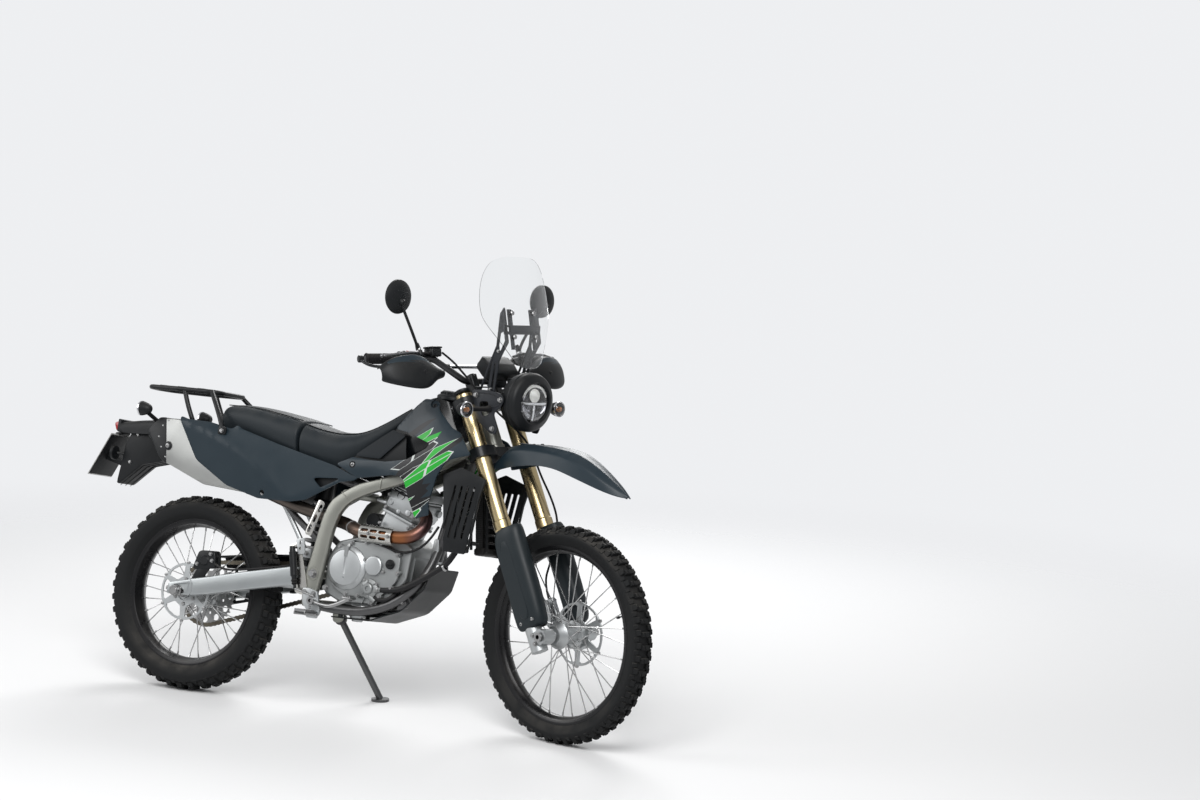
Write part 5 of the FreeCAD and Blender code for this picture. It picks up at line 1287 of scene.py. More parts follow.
    def wheel(self, rows: list[Pair], bore: float, slot: str, node: str) -> bpy.types.Object:
        """Rim, spokes, hub and valve as one piece."""
        parts = [self.rim(), self.spoke_set(), self.hub(rows, bore), self.valve()]
        return self.assemble(f"{self.name}_wheel_laced", parts, self.body, slot, (node,))

    def wave_disc(
        self, y: float, radius: float, band: float, waves: int, arms: int, seat: float, slot: str, node: str
    ) -> bpy.types.Object:
        """Wave disc, drilled, on a spoked carrier with round rivets.

        Args:
            y: Y of its middle.
            radius: Radius over the waves.
            band: Width of the braking band.
            waves: Number of waves round the band.
            arms: Arms of the carrier.
            seat: Radius of the carrier's seat on the hub.
            slot: Not used.
            node: CAD node that it stands for.

        Returns:
            The disc with its carrier.
        """
        thick = 4.0
        steps = waves * 12
        points = []
        for i in range(steps):
            angle = math.tau * i / steps
            wave = 0.5 + 0.5 * math.cos(waves * angle)
            points.append(self.at(angle, radius - 5 * wave ** 2, y - thick / 2))
        ring = extruded(outline("band", points), Vector((0, thick, 0)))
        inner = []
        for i in range(steps):
            angle = math.tau * i / steps
            inner.append(self.at(angle, radius - band + 3 * math.cos(waves * angle), y - thick))
        hole = extruded(outline("hole", inner), Vector((0, thick * 2, 0)))
        drills = []
        for index, reach in enumerate((0.24, 0.5, 0.76)):
            spot = self.at(math.tau / waves * 0.5 * (index + 0.4), radius - 4 - (band - 8) * reach, y - thick)
            drills.append(cylinder("drill", spot, LEFT, thick * 2, 3.2, 10))
        row = ring_of("drills", merged("drill_row", drills), waves * 2, self.axle, LEFT)
        carve(ring, hole, row)
        self.paint_in(ring, DISC)
        carrier = self.carrier(y, radius - band - 1, arms, seat)
        rivet = cylinder("rivet", self.at(math.tau / arms * 0.5, radius - band + 3, y - thick / 2 - 1.6),
                         LEFT, thick + 3.2, 6.0, 16, edge=0.8)
        rivets = self.paint_in(ring_of("rivets", rivet, arms, self.axle, LEFT), STEEL)
        return self.assemble(f"{self.name}_disc_wave", [ring, carrier, rivets], self.body, slot, (node,))

    def carrier(self, y: float, reach: float, arms: int, seat: float) -> bpy.types.Object:
        """Spoked carrier: a plate with a window between each two arms."""
        thick = 5.0
        base = self.axle + Vector((0, y - thick / 2, 0))
        plate = cylinder("carrier", base, LEFT, thick, reach + 3, 96)
        half = math.pi / arms
        low, high = seat + 8, reach - 5
        points = []
        for radius, spread in ((low, 0.42), (low + 4, 0.58), (high - 5, 0.80), (high, 0.62), (high + 1, 0.3)):
            points.append(self.at(half * spread, radius, y - thick))
        points += [self.at(-half * spread, radius, y - thick) for radius, spread in (
            (high + 1, 0.3), (high, 0.62), (high - 5, 0.80), (low + 4, 0.58), (low, 0.42)
        )]
        window = extruded(outline("window", points), Vector((0, thick * 2, 0)))
        windows = ring_of("windows", window, arms, self.axle, LEFT)
        bore = cylinder("bore", base - Vector((0, thick, 0)), LEFT, thick * 3, seat - 12, 48)
        carve(plate, windows, bore)
        soften(plate, 0.7, 1)
        bolt = cylinder("bolt", self.at(half, seat, y - thick / 2 - 4), LEFT, thick + 8, 6.5, 6, edge=0.8,
                        segments=1)
        bolts = self.paint_in(ring_of("bolts", bolt, arms, self.axle, LEFT), STEEL)
        return merged("carrier", [self.paint_in(plate, ALLOY), bolts])


# Tread blocks of one step: Y, width, length, place in the step, outward tilt in degrees
FRONT_KNOBS = [(0.0, 19.0, 17.0, 0.0, 0.0), (16.0, 15.0, 17.0, 0.5, 8.0), (29.0, 13.0, 20.0, 0.15, 24.0),
               (37.5, 11.0, 15.0, 0.62, 48.0)]
REAR_KNOBS = [(0.0, 26.0, 19.0, 0.0, 0.0), (22.0, 19.0, 20.0, 0.5, 8.0), (40.0, 17.0, 22.0, 0.1, 24.0),
              (51.0, 12.0, 18.0, 0.6, 50.0)]


@dataclass
class FrontWheel(Wheel):
    """Front wheel, with a disc on its left and the speedometer drive on its right."""

    disc_y: float = 60.0

    def build(self) -> None:
        """Make the tyre, wheel and disc."""
        self.tyre("tyre_rubber", "front_tyre")
        hub = [(-62, 20), (-60, 30), (-44, 38), (-37, 44), (-31, 44), (-27, 32), (-8, 26), (8, 26),
               (26, 32), (31, 44), (36, 44), (40, 36), (57, 36), (57.5, 20), (66, 20)]
        self.wheel(hub, 10.3, "black_rim", "front_wheel_spoked")
        self.wave_disc(self.disc_y, 125.0, 25.0, 12, 6, 38.0, "disc_steel", "front_disc")


@dataclass
class RearWheel(Wheel):
    """Rear wheel, with a disc on its right and the sprocket on its left."""

    disc_y: float = -70.0
    chain_y: float = 70.0
    teeth: int = 42
    pitch: float = 15.875

    def sprocket(self) -> bpy.types.Object:
        """Toothed sprocket with lightening holes and its bolts."""
        pitch_radius = self.pitch / 2 / math.sin(math.pi / self.teeth)
        points = []
        for i in range(self.teeth):
            for share, height in ((0.0, -4.6), (0.2, -3.2), (0.36, 2.0), (0.46, 4.6), (0.54, 4.6),
                                  (0.64, 2.0), (0.8, -3.2)):
                points.append(self.at(math.tau * (i + share) / self.teeth, pitch_radius + height,
                                      self.chain_y - 3))
        plate = extruded(outline("sprocket", points), Vector((0, 6, 0)))
        hole = cylinder("hole", self.at(0, 88, self.chain_y - 8), LEFT, 16, 11, 24)
        slot_hole = cylinder("slot", self.at(math.pi / 12, 66, self.chain_y - 8), LEFT, 16, 5, 16)
        cutters = [ring_of("holes", hole, 12, self.axle, LEFT),
                   ring_of("slots", slot_hole, 12, self.axle, LEFT),
                   cylinder("bore", self.at(0, 0, self.chain_y - 8), LEFT, 16, 25, 48)]
        carve(plate, *cutters)
        self.paint_in(plate, STEEL)
        bolt = cylinder("bolt", self.at(0.2, 48, self.chain_y - 6), LEFT, 14, 7, 6, edge=0.8, segments=1)
        bolts = self.paint_in(ring_of("bolts", bolt, 6, self.axle, LEFT), STEEL)
        return self.assemble("rear_sprocket_toothed", [plate, bolts], self.body, "bare_steel",
                             ("rear_sprocket",))

    def build(self) -> None:
        """Make the tyre, wheel, disc and sprocket."""
        self.tyre("tyre_rubber", "rear_tyre")
        hub = [(-80, 24), (-68.5, 24), (-67.5, 38), (-56, 40), (-50, 44), (-37, 44), (-34, 31), (-8, 27),
               (8, 27), (34, 31), (37, 44), (44, 44), (48, 54), (66.5, 56), (67.5, 24), (80, 24)]
        self.wheel(hub, 12.8, "black_rim", "rear_wheel_spoked")
        self.wave_disc(self.disc_y, 120.0, 26.0, 12, 6, 42.0, "disc_steel", "rear_disc")
        self.sprocket()


@dataclass
class Bodywork(Assembly):
    """Tank, seat, side covers, tank sides and shrouds."""

    cap: Triple = (905.0, 0.0, 1064.0)

    def tank(self) -> None:
        """Tank shell with its filler neck and cap."""
        table = [
            (700, 58, 70, 46, 808, 886, 930), (742, 62, 82, 56, 806, 904, 972),
            (800, 74, 100, 66, 812, 936, 1026), (846, 90, 116, 78, 826, 962, 1054),
            (905, 92, 122, 84, 850, 972, 1066), (950, 82, 116, 80, 880, 976, 1064),
            (986, 60, 98, 62, 908, 986, 1050), (1000, 44, 70, 40, 930, 990, 1030)
        ]
        sections = []
        for x, low, mid, top, z_low, z_mid, z_top in table:
            sections.append(arch(x, [(low * 0.5, z_low), (low, z_low + 3), (mid, (z_low + z_mid) / 2),
                                     (mid, z_mid), ((mid + top) / 2, (z_mid + z_top) / 2 + 6),
                                     (top, z_top - 4), (top * 0.5, z_top)]))
        shell = loft("tank", sections, 3)
        carve(shell, self.fork_room())
        self.paint_in(shell, BLACK_GLOSS)
        neck = spun("neck", [(-10, 0), (-10, 56), (0, 56), (5, 52), (7, 46), (7, 0)], Vector(self.cap),
                    Vector((0.04, 0, 1)), 48, False)
        self.paint_in(neck, BLACK_PLASTIC)
        cap = spun("cap", [(6, 0), (6, 45), (15, 44), (20, 38), (20, 27), (17, 25), (17, 0)],
                   Vector(self.cap), Vector((0.04, 0, 1)), 48, False)
        grips = []
        for index in range(24):
            angle = math.tau * index / 24
            spot = Vector(self.cap) + Vector((math.cos(angle) * 45, math.sin(angle) * 45, 6))
            grips.append(cylinder("grip", spot, UP, 9, 1.8, 6))
        cap = merged("cap", [cap] + grips)
        self.paint_in(cap, BLACK_PLASTIC)
        lock = cylinder("lock", Vector(self.cap) + Vector((0, 0, 16)), UP, 5, 11, 24, edge=1.0)
        self.paint_in(lock, STEEL)
        self.assemble("tank_shell", [shell, neck, cap, lock], Body.ROOT, "tank_black", ("fuel_tank",), 40.0)

    def fork_room(self) -> bpy.types.Object:
        """Space that the fork legs and clamps sweep at full lock, to be cut from the tank."""
        low, high, reach = 560.0, 960.0, 150.0
        sweep = cylinder("sweep", steered(low, 0, 0), STEER_UP, high - low, reach, 72)
        left = [(-reach - 10, 74.0), (-92, 46.0), (-56, 6.0)]
        ring = left + [(forward, -across) for forward, across in reversed(left)]
        ends = [[steered(along, forward, across) for forward, across in ring]
                for along in (low - 5, high + 5)]
        carve(sweep, loft("wedge", ends, 0))
        return sweep

    def pad(
        self, name: str, table: list[tuple[float, float, float, float, float, float, float]]
    ) -> bpy.types.Object:
        """One part of the seat, crowned on top and drawn in at its foot.

        Args:
            name: Name of the piece.
            table: Rows of x, low, mid and top half widths, low, mid and top heights.

        Returns:
            The pad.
        """
        sections = []
        for x, low, mid, top, z_low, z_mid, z_top in table:
            sections.append(arch(x, [
                (low * 0.55, z_low), (low - 3, z_low), (low + 1, z_low + 5),
                (mid, z_mid - (z_mid - z_low) * 0.35), (mid, z_mid),
                ((mid + top) / 2 + 5, z_mid + (z_top - z_mid) * 0.55), (top + 3, z_top - 7),
                (top * 0.62, z_top - 1.5), (top * 0.25, z_top)
            ]))
        return loft(name, sections, 2)

    def seat(self) -> None:
        """Two part seat with its seam and welts."""
        front = self.pad("seat_front", [
            (404, 104, 120, 80, 804, 888, 934), (408, 104, 124, 82, 802, 888, 937),
            (440, 102, 122, 80, 796, 882, 927), (500, 98, 116, 72, 784, 872, 917),
            (540, 94, 110, 66, 784, 868, 915), (590, 86, 98, 58, 806, 876, 918),
            (640, 74, 86, 52, 842, 896, 934), (700, 60, 76, 46, 888, 932, 968),
            (745, 52, 68, 42, 930, 962, 998), (776, 46, 60, 36, 962, 990, 1020),
            (782, 44, 56, 30, 972, 996, 1020)
        ])
        rear = self.pad("seat_rear", [
            (74, 80, 92, 56, 884, 930, 962), (82, 90, 104, 64, 878, 934, 970),
            (120, 96, 112, 72, 864, 938, 974), (200, 98, 118, 78, 838, 936, 974),
            (300, 102, 124, 84, 818, 918, 960), (370, 104, 128, 86, 804, 902, 950),
            (394, 104, 128, 84, 800, 896, 944), (400, 102, 124, 78, 800, 892, 934)
        ])
        welts = []
        for side in (1, -1):
            line = [Vector((x, side * half, z)) for x, half, z in (
                (82, 69, 966), (200, 83, 967), (300, 89, 953), (370, 91, 942), (396, 90, 937)
            )]
            welts.append(tube("welt", line, 1.7, 2))
            line = [Vector((x, side * half, z)) for x, half, z in (
                (406, 87, 929), (440, 85, 919), (500, 77, 909), (540, 71, 907), (590, 63, 911),
                (640, 57, 927), (700, 51, 961), (745, 47, 991), (776, 40, 1013)
            )]
            welts.append(tube("welt", line, 1.7, 2))
        piping = merged("welts", welts)
        self.paint_in(piping, BLACK_PLASTIC)
        self.paint_all(VINYL, front, rear)
        seat = self.assemble("seat_padded", [front, rear, piping], Body.ROOT, "seat_vinyl", ("seat",), 50.0)

    def side_covers(self) -> None:
        """Side covers with their crease, vent and access hole."""
        relief = Relief((
            (-80, ((925, 122), (902, 140), (896, 143), (890, 142), (850, 137), (760, 130))),
            (20, ((905, 128), (886, 148), (876, 152), (868, 151), (820, 145), (740, 136))),
            (130, ((896, 134), (850, 153), (842, 158), (834, 157), (780, 150), (690, 140))),
            (245, ((880, 131), (800, 152), (791, 158), (782, 157), (720, 150), (640, 140))),
            (330, ((850, 129), (742, 150), (732, 155), (722, 153), (690, 149), (640, 142))),
            (400, ((838, 128), (690, 145), (680, 148), (670, 146), (650, 142), (630, 138))),
            (500, ((820, 126), (720, 136), (700, 136), (690, 135), (670, 133), (650, 130))),
            (660, ((800, 124), (772, 127), (765, 127), (758, 127), (740, 126), (720, 125)))
        ))
        vent = side_plate("vent", [(484, 752, 8), (594, 760, 5), (521, 722, 8)], 90, 190)
        hole = cylinder("hole", Vector((305, 90, 684)), LEFT, 100, 9, 24)
        cover = draped("side_cover", [
            (-66, 912, 6), (-30, 903, 40), (60, 900, 60), (150, 884, 30), (168, 900, 14), (186, 888, 14),
            (335, 850, 80), (557, 800, 20), (655, 766, 8), (640, 757, 10), (589, 747, 30), (470, 676, 60),
            (415, 665, 30), (290, 664, 60), (157, 696, 80), (23, 770, 60)
        ], relief, 4.0, 14.0, 1.4, (vent, hole))
        backing = side_plate("backing", [(470, 762, 8), (600, 770, 5), (521, 712, 8)], 112, 116)
        self.paint_in(backing, BLACK_PLASTIC)
        self.paint_in(cover, SLATE)
        self.assemble("side_covers_moulded", [cover, backing], Body.ROOT, "slate_plastic", ("side_covers",),
                      28.0, True)

    def tank_sides(self) -> None:
        """Pebbled panels between the seat's nose and the shrouds."""
        relief = Relief((
            (600, ((950, 98), (880, 108), (830, 116), (780, 112))),
            (700, ((960, 96), (900, 114), (840, 124), (780, 118))),
            (780, ((960, 104), (900, 122), (840, 128), (780, 122))),
            (840, ((960, 110), (900, 128), (840, 132), (780, 126)))
        ))
        panel_piece = draped("tank_side",
                             [(623, 838, 8), (755, 936, 8), (766, 934, 6), (814, 921, 8), (727, 836, 14)],
                             relief, 4.0, 12.0, 1.2)
        self.paint_in(panel_piece, TEXTURED)
        backing = draped(
            "backing",
            [(566, 806, 6), (652, 768, 8), (835, 798, 8), (812, 915, 10), (748, 930, 12), (623, 836, 20)],
            Relief(tuple((x, tuple((z, y - 8) for z, y in line)) for x, line in relief.rows)), 4.0, 20.0,
            0.0
        )
        self.paint_in(backing, BLACK_PLASTIC)
        self.assemble("tank_sides_pebbled", [panel_piece, backing], Body.ROOT, "textured_plastic",
                      ("tank_sides",), 30.0, True)

    def shroud_relief(self) -> Relief:
        """Shape of the shroud and its rear arm."""
        return Relief((
            (560, ((860, 112), (820, 124), (800, 127), (760, 124), (700, 120))),
            (700, ((880, 108), (840, 128), (810, 134), (770, 130), (700, 124))),
            (780, ((1000, 108), (900, 128), (830, 140), (780, 140), (700, 130))),
            (850, ((1040, 112), (960, 136), (860, 150), (780, 150), (680, 140))),
            (930, ((1050, 118), (980, 146), (880, 163), (800, 162), (680, 146))),
            (1010, ((1040, 130), (960, 152), (890, 172), (840, 172), (680, 150))),
            (1100, ((1040, 140), (950, 160), (880, 176), (840, 172), (680, 150)))
        ))

    def shrouds(self) -> None:
        """Shrouds with their arms, forward points and screws."""
        relief = self.shroud_relief()
        shell = draped("shroud", [
            (566, 806, 6), (623, 833, 10), (700, 829, 60), (758, 829, 40), (842, 842, 60), (917, 884, 10),
            (929, 901, 8), (826, 931, 10), (769, 940, 8), (838, 1021, 14), (864, 1046, 16), (906, 1046, 14),
            (938, 1010, 40), (1001, 958, 14), (1036, 945, 20), (1094, 876, 8), (1050, 866, 60),
            (1003, 850, 40), (972, 800, 60), (944, 711, 14), (948, 672, 8), (898, 656, 10), (866, 716, 30),
            (838, 784, 40), (790, 788, 60), (652, 766, 8)
        ], relief, 4.5, 12.0, 1.6)
        recess = cylinder("recess", Vector((905, 96, 1026)), Vector((0.1, 1, 0.25)), 60, 15, 32)
        carve(shell, recess)
        self.paint_in(planned(shell), GRAPHIC)
        spot = Vector((905, relief.y_at(905, 1026) - 9, 1026))
        seat = self.paint_in(cylinder("seat", spot - Vector((0, 4, 0)), Vector((0.1, 1, 0.25)), 5, 16, 32),
                             SLATE)
        top_screw = self.paint_in(screw(spot, Vector((0.1, 1, 0.25)), 8.0), BLACK_METAL)
        arm_screw = self.paint_in(screw(Vector((630, relief.y_at(630, 809) - 1, 809)), LEFT, 7.5), STEEL)
        washer = self.paint_in(cylinder(
            "washer", Vector((630, relief.y_at(630, 809) - 3, 809)), LEFT, 4, 11, 32
        ), BLACK_PLASTIC)
        self.assemble("shrouds_moulded", [shell, seat, top_screw, arm_screw, washer], Body.ROOT,
                      "slate_plastic", ("shrouds",), 28.0, True)

    def build(self) -> None:
        """Make all the bodywork."""
        self.tank()
        self.seat()
        self.side_covers()
        self.tank_sides()
        self.shrouds()


@dataclass
class BarMounted(Assembly):
    """Base of the sub-assemblies with pieces on the handlebar; it says how the bar runs."""

    bar_level: float = 886.0
    bar_width: float = 828.0
    grip_length: float = 118.0

    def corner(self) -> Vector:
        """Corner between the clamped run and the rising run of the bar."""
        return steered(self.bar_level, 30, 80)

    def shoulder(self) -> Vector:
        """Corner between the rising run and the grip's run."""
        return steered(self.bar_level + 82, 24, 190)

    def end(self) -> Vector:
        """Left end of the bar."""
        return steered(self.bar_level + 113, -58, self.bar_width / 2 - 8)

    def on_bar(self, distance: float) -> Vector:
        """Point on the outer run of the bar, a distance inward from its left end."""
        return self.end() + (self.shoulder() - self.end()).normalized() * distance


@dataclass
class FrontEnd(BarMounted):
    """Mudguard, fork guards, lamp, screen, hand guards, mirrors and grips."""

    lamp: Triple = (1244.0, 0.0, 1071.0)
    lamp_axis: Triple = (1.0, 0.0, -0.05)
    lens_radius: float = 61.0

    def mudguard(self) -> None:
        """High mudguard with a flat crown, two ridges and a pointed beak."""
        table = [
            (1110, 868, 26, 862, 46, 844, 53), (1140, 889, 28, 876, 50, 850, 56),
            (1172, 926, 30, 908, 53, 858, 60), (1222, 938, 31, 922, 55, 868, 62),
            (1272, 941, 31, 925, 56, 875, 64), (1330, 940, 30, 924, 56, 880, 65),
            (1400, 937, 28, 920, 55, 876, 65), (1465, 928, 25, 906, 52, 858, 63),
            (1530, 899, 20, 880, 45, 838, 55), (1583, 868, 15, 851, 38, 821, 46),
            (1628, 838, 10, 828, 25, 808, 31), (1654, 818, 6, 813, 13, 803, 17),
            (1667, 808, 3, 806, 6, 802, 8)
        ]
        rows = []
        for x, z_top, top, z_mid, mid, z_low, low in table:
            half = [(low, z_low), (low - 0.6, z_low + 3), (mid + 0.8, z_mid - 4), (mid - 2.5, z_mid + 1.5),
                    (top + 2.2, z_top - 1.6), (top - 1.2, z_top + 1.2)]
            line = [Vector((x, y, z)) for y, z in half] + [Vector((x, 0, z_top - 2.5))]
            rows.append(symmetric(line))
        shell = panel("mudguard", rows, 4.0, 2, 1.0)
        recess = spun("recess", [(0, 0), (0, 13), (1.6, 15), (3, 14.4), (3, 0)], Vector((1216, 0, 936.2)),
                      UP, 40, False)
        stretch = translated(1216, 0, 0) @ Matrix.Diagonal((2.1, 1, 1, 1)) @ translated(-1216, 0, 0)
        recess.data.transform(stretch)
        screws = []
        for x, y in ((1160, 32), (1270, 32)):
            for side in (1, -1):
                screws.append(screw(Vector((x, side * y * 0.62, 921 if x < 1200 else 940)),
                                    Vector((-0.1, 0, 1)), 6.0))
        for piece in screws:
            self.paint_in(piece, BLACK_METAL)
        self.paint_all(SLATE, shell, recess)
        self.assemble("front_mudguard_beaked", [shell, recess] + screws, Body.STEERING, "slate_plastic",
                      ("front_mudguard",), 40.0)

    def fork_guards(self) -> None:
        """Guards round the lower legs, wider and longer at the foot."""
        stations = [(40, -4, 70, 118), (47, -10, 82, 128), (90, -10, 88, 130), (150, -6, 91, 130),
                    (220, -4, 92, 130), (300, -4, 92, 130), (340, 0, 93, 129), (360, 8, 92, 126),
                    (371, 14, 88, 122)]
        rows = []
        for along, back, front, out in stations:
            line = [(back, out), (back + 26, out + 0.5), (front - 34, out), (front - 8, out - 9),
                    (front, out - 22), (front, 88), (front - 7, 76), (front - 26, 68), (28, 66)]
            rows.append([steered(along, forward, across) for forward, across in line])
        guard = panel("guard", rows, 3.0, 2, 0.8)
        rib = panel("rib", [[
            steered(a, f, y) for f, y in ((14, 130.6), (34, 131.2), (54, 130.2))
        ] for a in (70, 140, 240, 330)], 2.4, 2, 0.8)
        screws = []
        for along, forward in ((62, 8), (62, 58), (96, 32)):
            screws.append(self.paint_in(screw(steered(along, forward, 130), LEFT, 6.0), STEEL))
        self.paint_all(GUARD, guard, rib)
        self.assemble("fork_guards_wrapped", [guard, rib] + screws, Body.STEERING, "black_plastic",
                      ("fork_guards",), 35.0, True)

    def headlight(self) -> None:
        """Round lamp: bowl with a flange, reflector with a bar and an arc, and its glass."""
        centre, axis = Vector(self.lamp), Vector(self.lamp_axis)
        lens = self.lens_radius
        bowl = spun("bowl", [
            (-4, lens + 1), (4, lens + 3), (7, lens + 8), (5, lens + 13), (1, 80), (-2, 86), (-6, 92),
            (-14, 95), (-24, 95.5), (-27, 93), (-31, 93), (-34, 95), (-48, 93), (-70, 84), (-86, 68),
            (-96, 50), (-100, 26), (-100, 0), (-92, 0), (-92, 26), (-80, 58), (-50, 74), (-26, lens + 6),
            (-10, lens + 1)
        ], centre, axis, 96, False)
        self.paint_in(bowl, BLACK_PLASTIC)
        ribs = []
        for index in range(10):
            angle = math.tau * (index + 0.5) / 10
            radial = Vector((0, math.cos(angle), math.sin(angle)))
            place = turn_to(axis, centre - axis * 58 + radial * 86) @ Matrix.Rotation(angle, 4, "Z")
            rib = block("rib", (30, 3.2, 7), place @ rotation(90, "Y"), 0.8, 1)
            ribs.append(self.paint_in(rib, BLACK_PLASTIC))
        dish = spun("dish", [
            (-8, lens - 1), (-22, lens - 8), (-38, lens - 20), (-48, lens - 36), (-52, 14), (-52, 0)
        ], centre, axis, 64, False)
        self.paint_in(dish, CHROME)
        local = turn_to(axis, centre)
        bar = block("bar", (2 * lens - 14, 9, 26), local @ translated(0, -2, -22))
        stem = block("stem", (12, lens - 12, 24), local @ translated(0, -lens / 2 + 2, -22))
        for piece in (bar, stem):
            soften(piece, 1.6, 2)
            self.paint_in(piece, CHROME)
        arc = tube("arc", [
            local @ Vector((math.cos(a) * (lens - 9), math.sin(a) * (lens - 9), -9))
            for a in [math.radians(20 + 140 * i / 8) for i in range(9)]
        ], 3.6, 3)
        self.paint_in(arc, LAMP_WHITE)
        projector = spun("projector", [(-30, 0), (-30, 20), (-16, 20), (-12, 16), (-8, 8), (-7, 0)],
                         local @ Vector((0, 22, 0)), axis, 40, False)
        self.paint_in(projector, LAMP_GLOW)
        collar = spun("collar", [(-34, 24), (-18, 24), (-16, 21), (-34, 21)], local @ Vector((0, 22, 0)),
                      axis, 40)
        self.paint_in(collar, BLACK_GLOSS)
        self.assemble("headlight_bowl", [bowl] + ribs + [dish, bar, stem, arc, projector, collar],
                      Body.STEERING, "black_plastic", ("headlight_shell",), 40.0)
        glass = spun("headlight_glass", [
            (-3, lens), (0, lens), (3, lens - 3), (7, 46), (10.5, 30), (12.5, 14), (13, 0), (10, 0),
            (9.5, 14), (7.5, 30), (4, 45), (0.5, lens - 5), (-3, lens - 4)
        ], centre, axis, 64, False)
        self.finish(glass, Body.STEERING, CLEAR, "lamp_glass", ("headlight_lens",), 40.0)

    def screen(self) -> None:
        """Clear screen, curved across."""
        low, top = 1180.0, 1536.0
        half_rows = [(1181, 24), (1190, 54), (1216, 72), (1262, 104), (1310, 140), (1345, 158), (1400, 157),
                     (1460, 146), (1505, 122), (1528, 90), (1535, 48)]
        rows = []
        for z, outer in half_rows:
            share = (z - low) / (top - low)
            x_mid = 1216 + share * (1138 - 1216)
            line = []
            for t in (1.0, 0.9, 0.66, 0.33, 0.0):
                y = outer * t
                line.append(Vector((x_mid - 46 * (y / 164) ** 2, y, z)))
            rows.append(symmetric(line))
        sheet = panel("screen", rows, 3.4, 2, 0.0)
        self.finish(sheet, Body.STEERING, CLEAR, "screen_clear", ("windscreen",), 50.0)
        sheet.name = "windscreen_clear"

    def build(self) -> None:
        """Make the front end."""
        self.mudguard()
        self.fork_guards()
        self.headlight()
        self.screen()
        self.handguards()
        self.mirrors()
        self.grips()

    def handguards(self) -> None:
        """Shell guards: an upper facet folded back over a flat face with a ridge, and a thin lower lip."""
        grid = [
            # across, forward, top, ridge, middle, bottom
            (192, 58, 914, 908, 901, 894), (230, 66, 926, 912, 901, 886), (256, 70, 948, 917, 900, 869),
            (290, 71, 966, 924, 898, 850), (332, 65, 970, 932, 904, 853), (378, 48, 967, 938, 910, 869),
            (406, 28, 957, 938, 914, 886), (420, 8, 944, 932, 918, 902),
        ]
        rows = []
        for level in range(6):
            line = []
            for across, forward, top, ridge, middle, bottom in grid:
                along, inward = (
                    (top - 4, 26), (top, 9), (ridge, 0), (middle, 1.5), (bottom + 4, 6), (bottom, 16)
                )[level]
                line.append(steered(along, forward - inward, across - inward * 0.25))
            rows.append(line)
        shell = panel("guard", rows, 3.2, 2, 1.0)
        self.paint_in(shell, BLACK_PLASTIC)
        facet = []
        for across, forward, top, ridge, _, _ in grid[2:7]:
            facet.append([steered(top - 5, forward - 4.5, across), steered(ridge + 6, forward + 0.9, across)])
        cap = panel("facet", facet, 1.6, 2, 0.6)
        outward(cap)
        self.paint_in(cap, SLATE)
        bolt = self.paint_in(screw(steered(902, 70, 292), STEER_FORWARD, 7.0), BLACK_METAL)
        stay = tube("stay", [
            self.on_bar(-18), steered(self.bar_level + 80, -36, self.bar_width / 2 + 18),
            steered(self.bar_level + 50, 22, self.bar_width / 2 - 12),
            steered(self.bar_level + 42, 54, self.bar_width / 2 - 94),
            steered(self.bar_level + 36, 54, self.bar_width / 2 - 172),
            self.on_bar(self.grip_length + 81) + STEER_FORWARD * 8 - STEER_UP * 28,
            self.on_bar(self.grip_length + 81) - STEER_UP * 14
        ], 5.0, 4)
        self.paint_in(stay, BLACK_METAL)
        direction = self.on_bar(10) - self.on_bar(0)
        plug = spun("plug", [(-24, 0), (-24, 10), (-22, 12), (-10, 12), (-8, 11), (-8, 0)], self.on_bar(0),
                    direction, 24, False)
        ring = spun("ring", [(0, 11.2), (0, 17), (1, 18), (9, 18), (10, 17), (10, 11.2)],
                    self.on_bar(self.grip_length + 76), direction, 24)
        self.paint_all(BLACK_METAL, plug, ring)
        self.assemble("handguards_shell", [shell, cap, bolt, stay, plug, ring], Body.STEERING,
                      "black_plastic", ("handguards",), 32.0, True)

    def grips(self) -> None:
        """Ribbed rubber grips with their flanges."""
        direction = self.on_bar(10) - self.on_bar(0)
        rows = [(0.3, 11.2), (0.3, 17), (3, 19), (6, 19), (8, 16.4)]
        place = 11.0
        while place < self.grip_length - 10:
            rows += [(place, 16.2), (place + 0.8, 17.4), (place + 3.0, 17.4), (place + 3.8, 16.2)]
            place += 5.4
        rows += [(self.grip_length - 6, 16.4), (self.grip_length - 5, 23), (self.grip_length - 1.5, 24),
                 (self.grip_length, 23), (self.grip_length, 11.2)]
        grip = spun("grip", rows, self.on_bar(0), direction, 28)
        self.finish(both_sides("grips_ribbed", grip), Body.STEERING, RUBBER, "grip_rubber", ("grips",), 30.0)

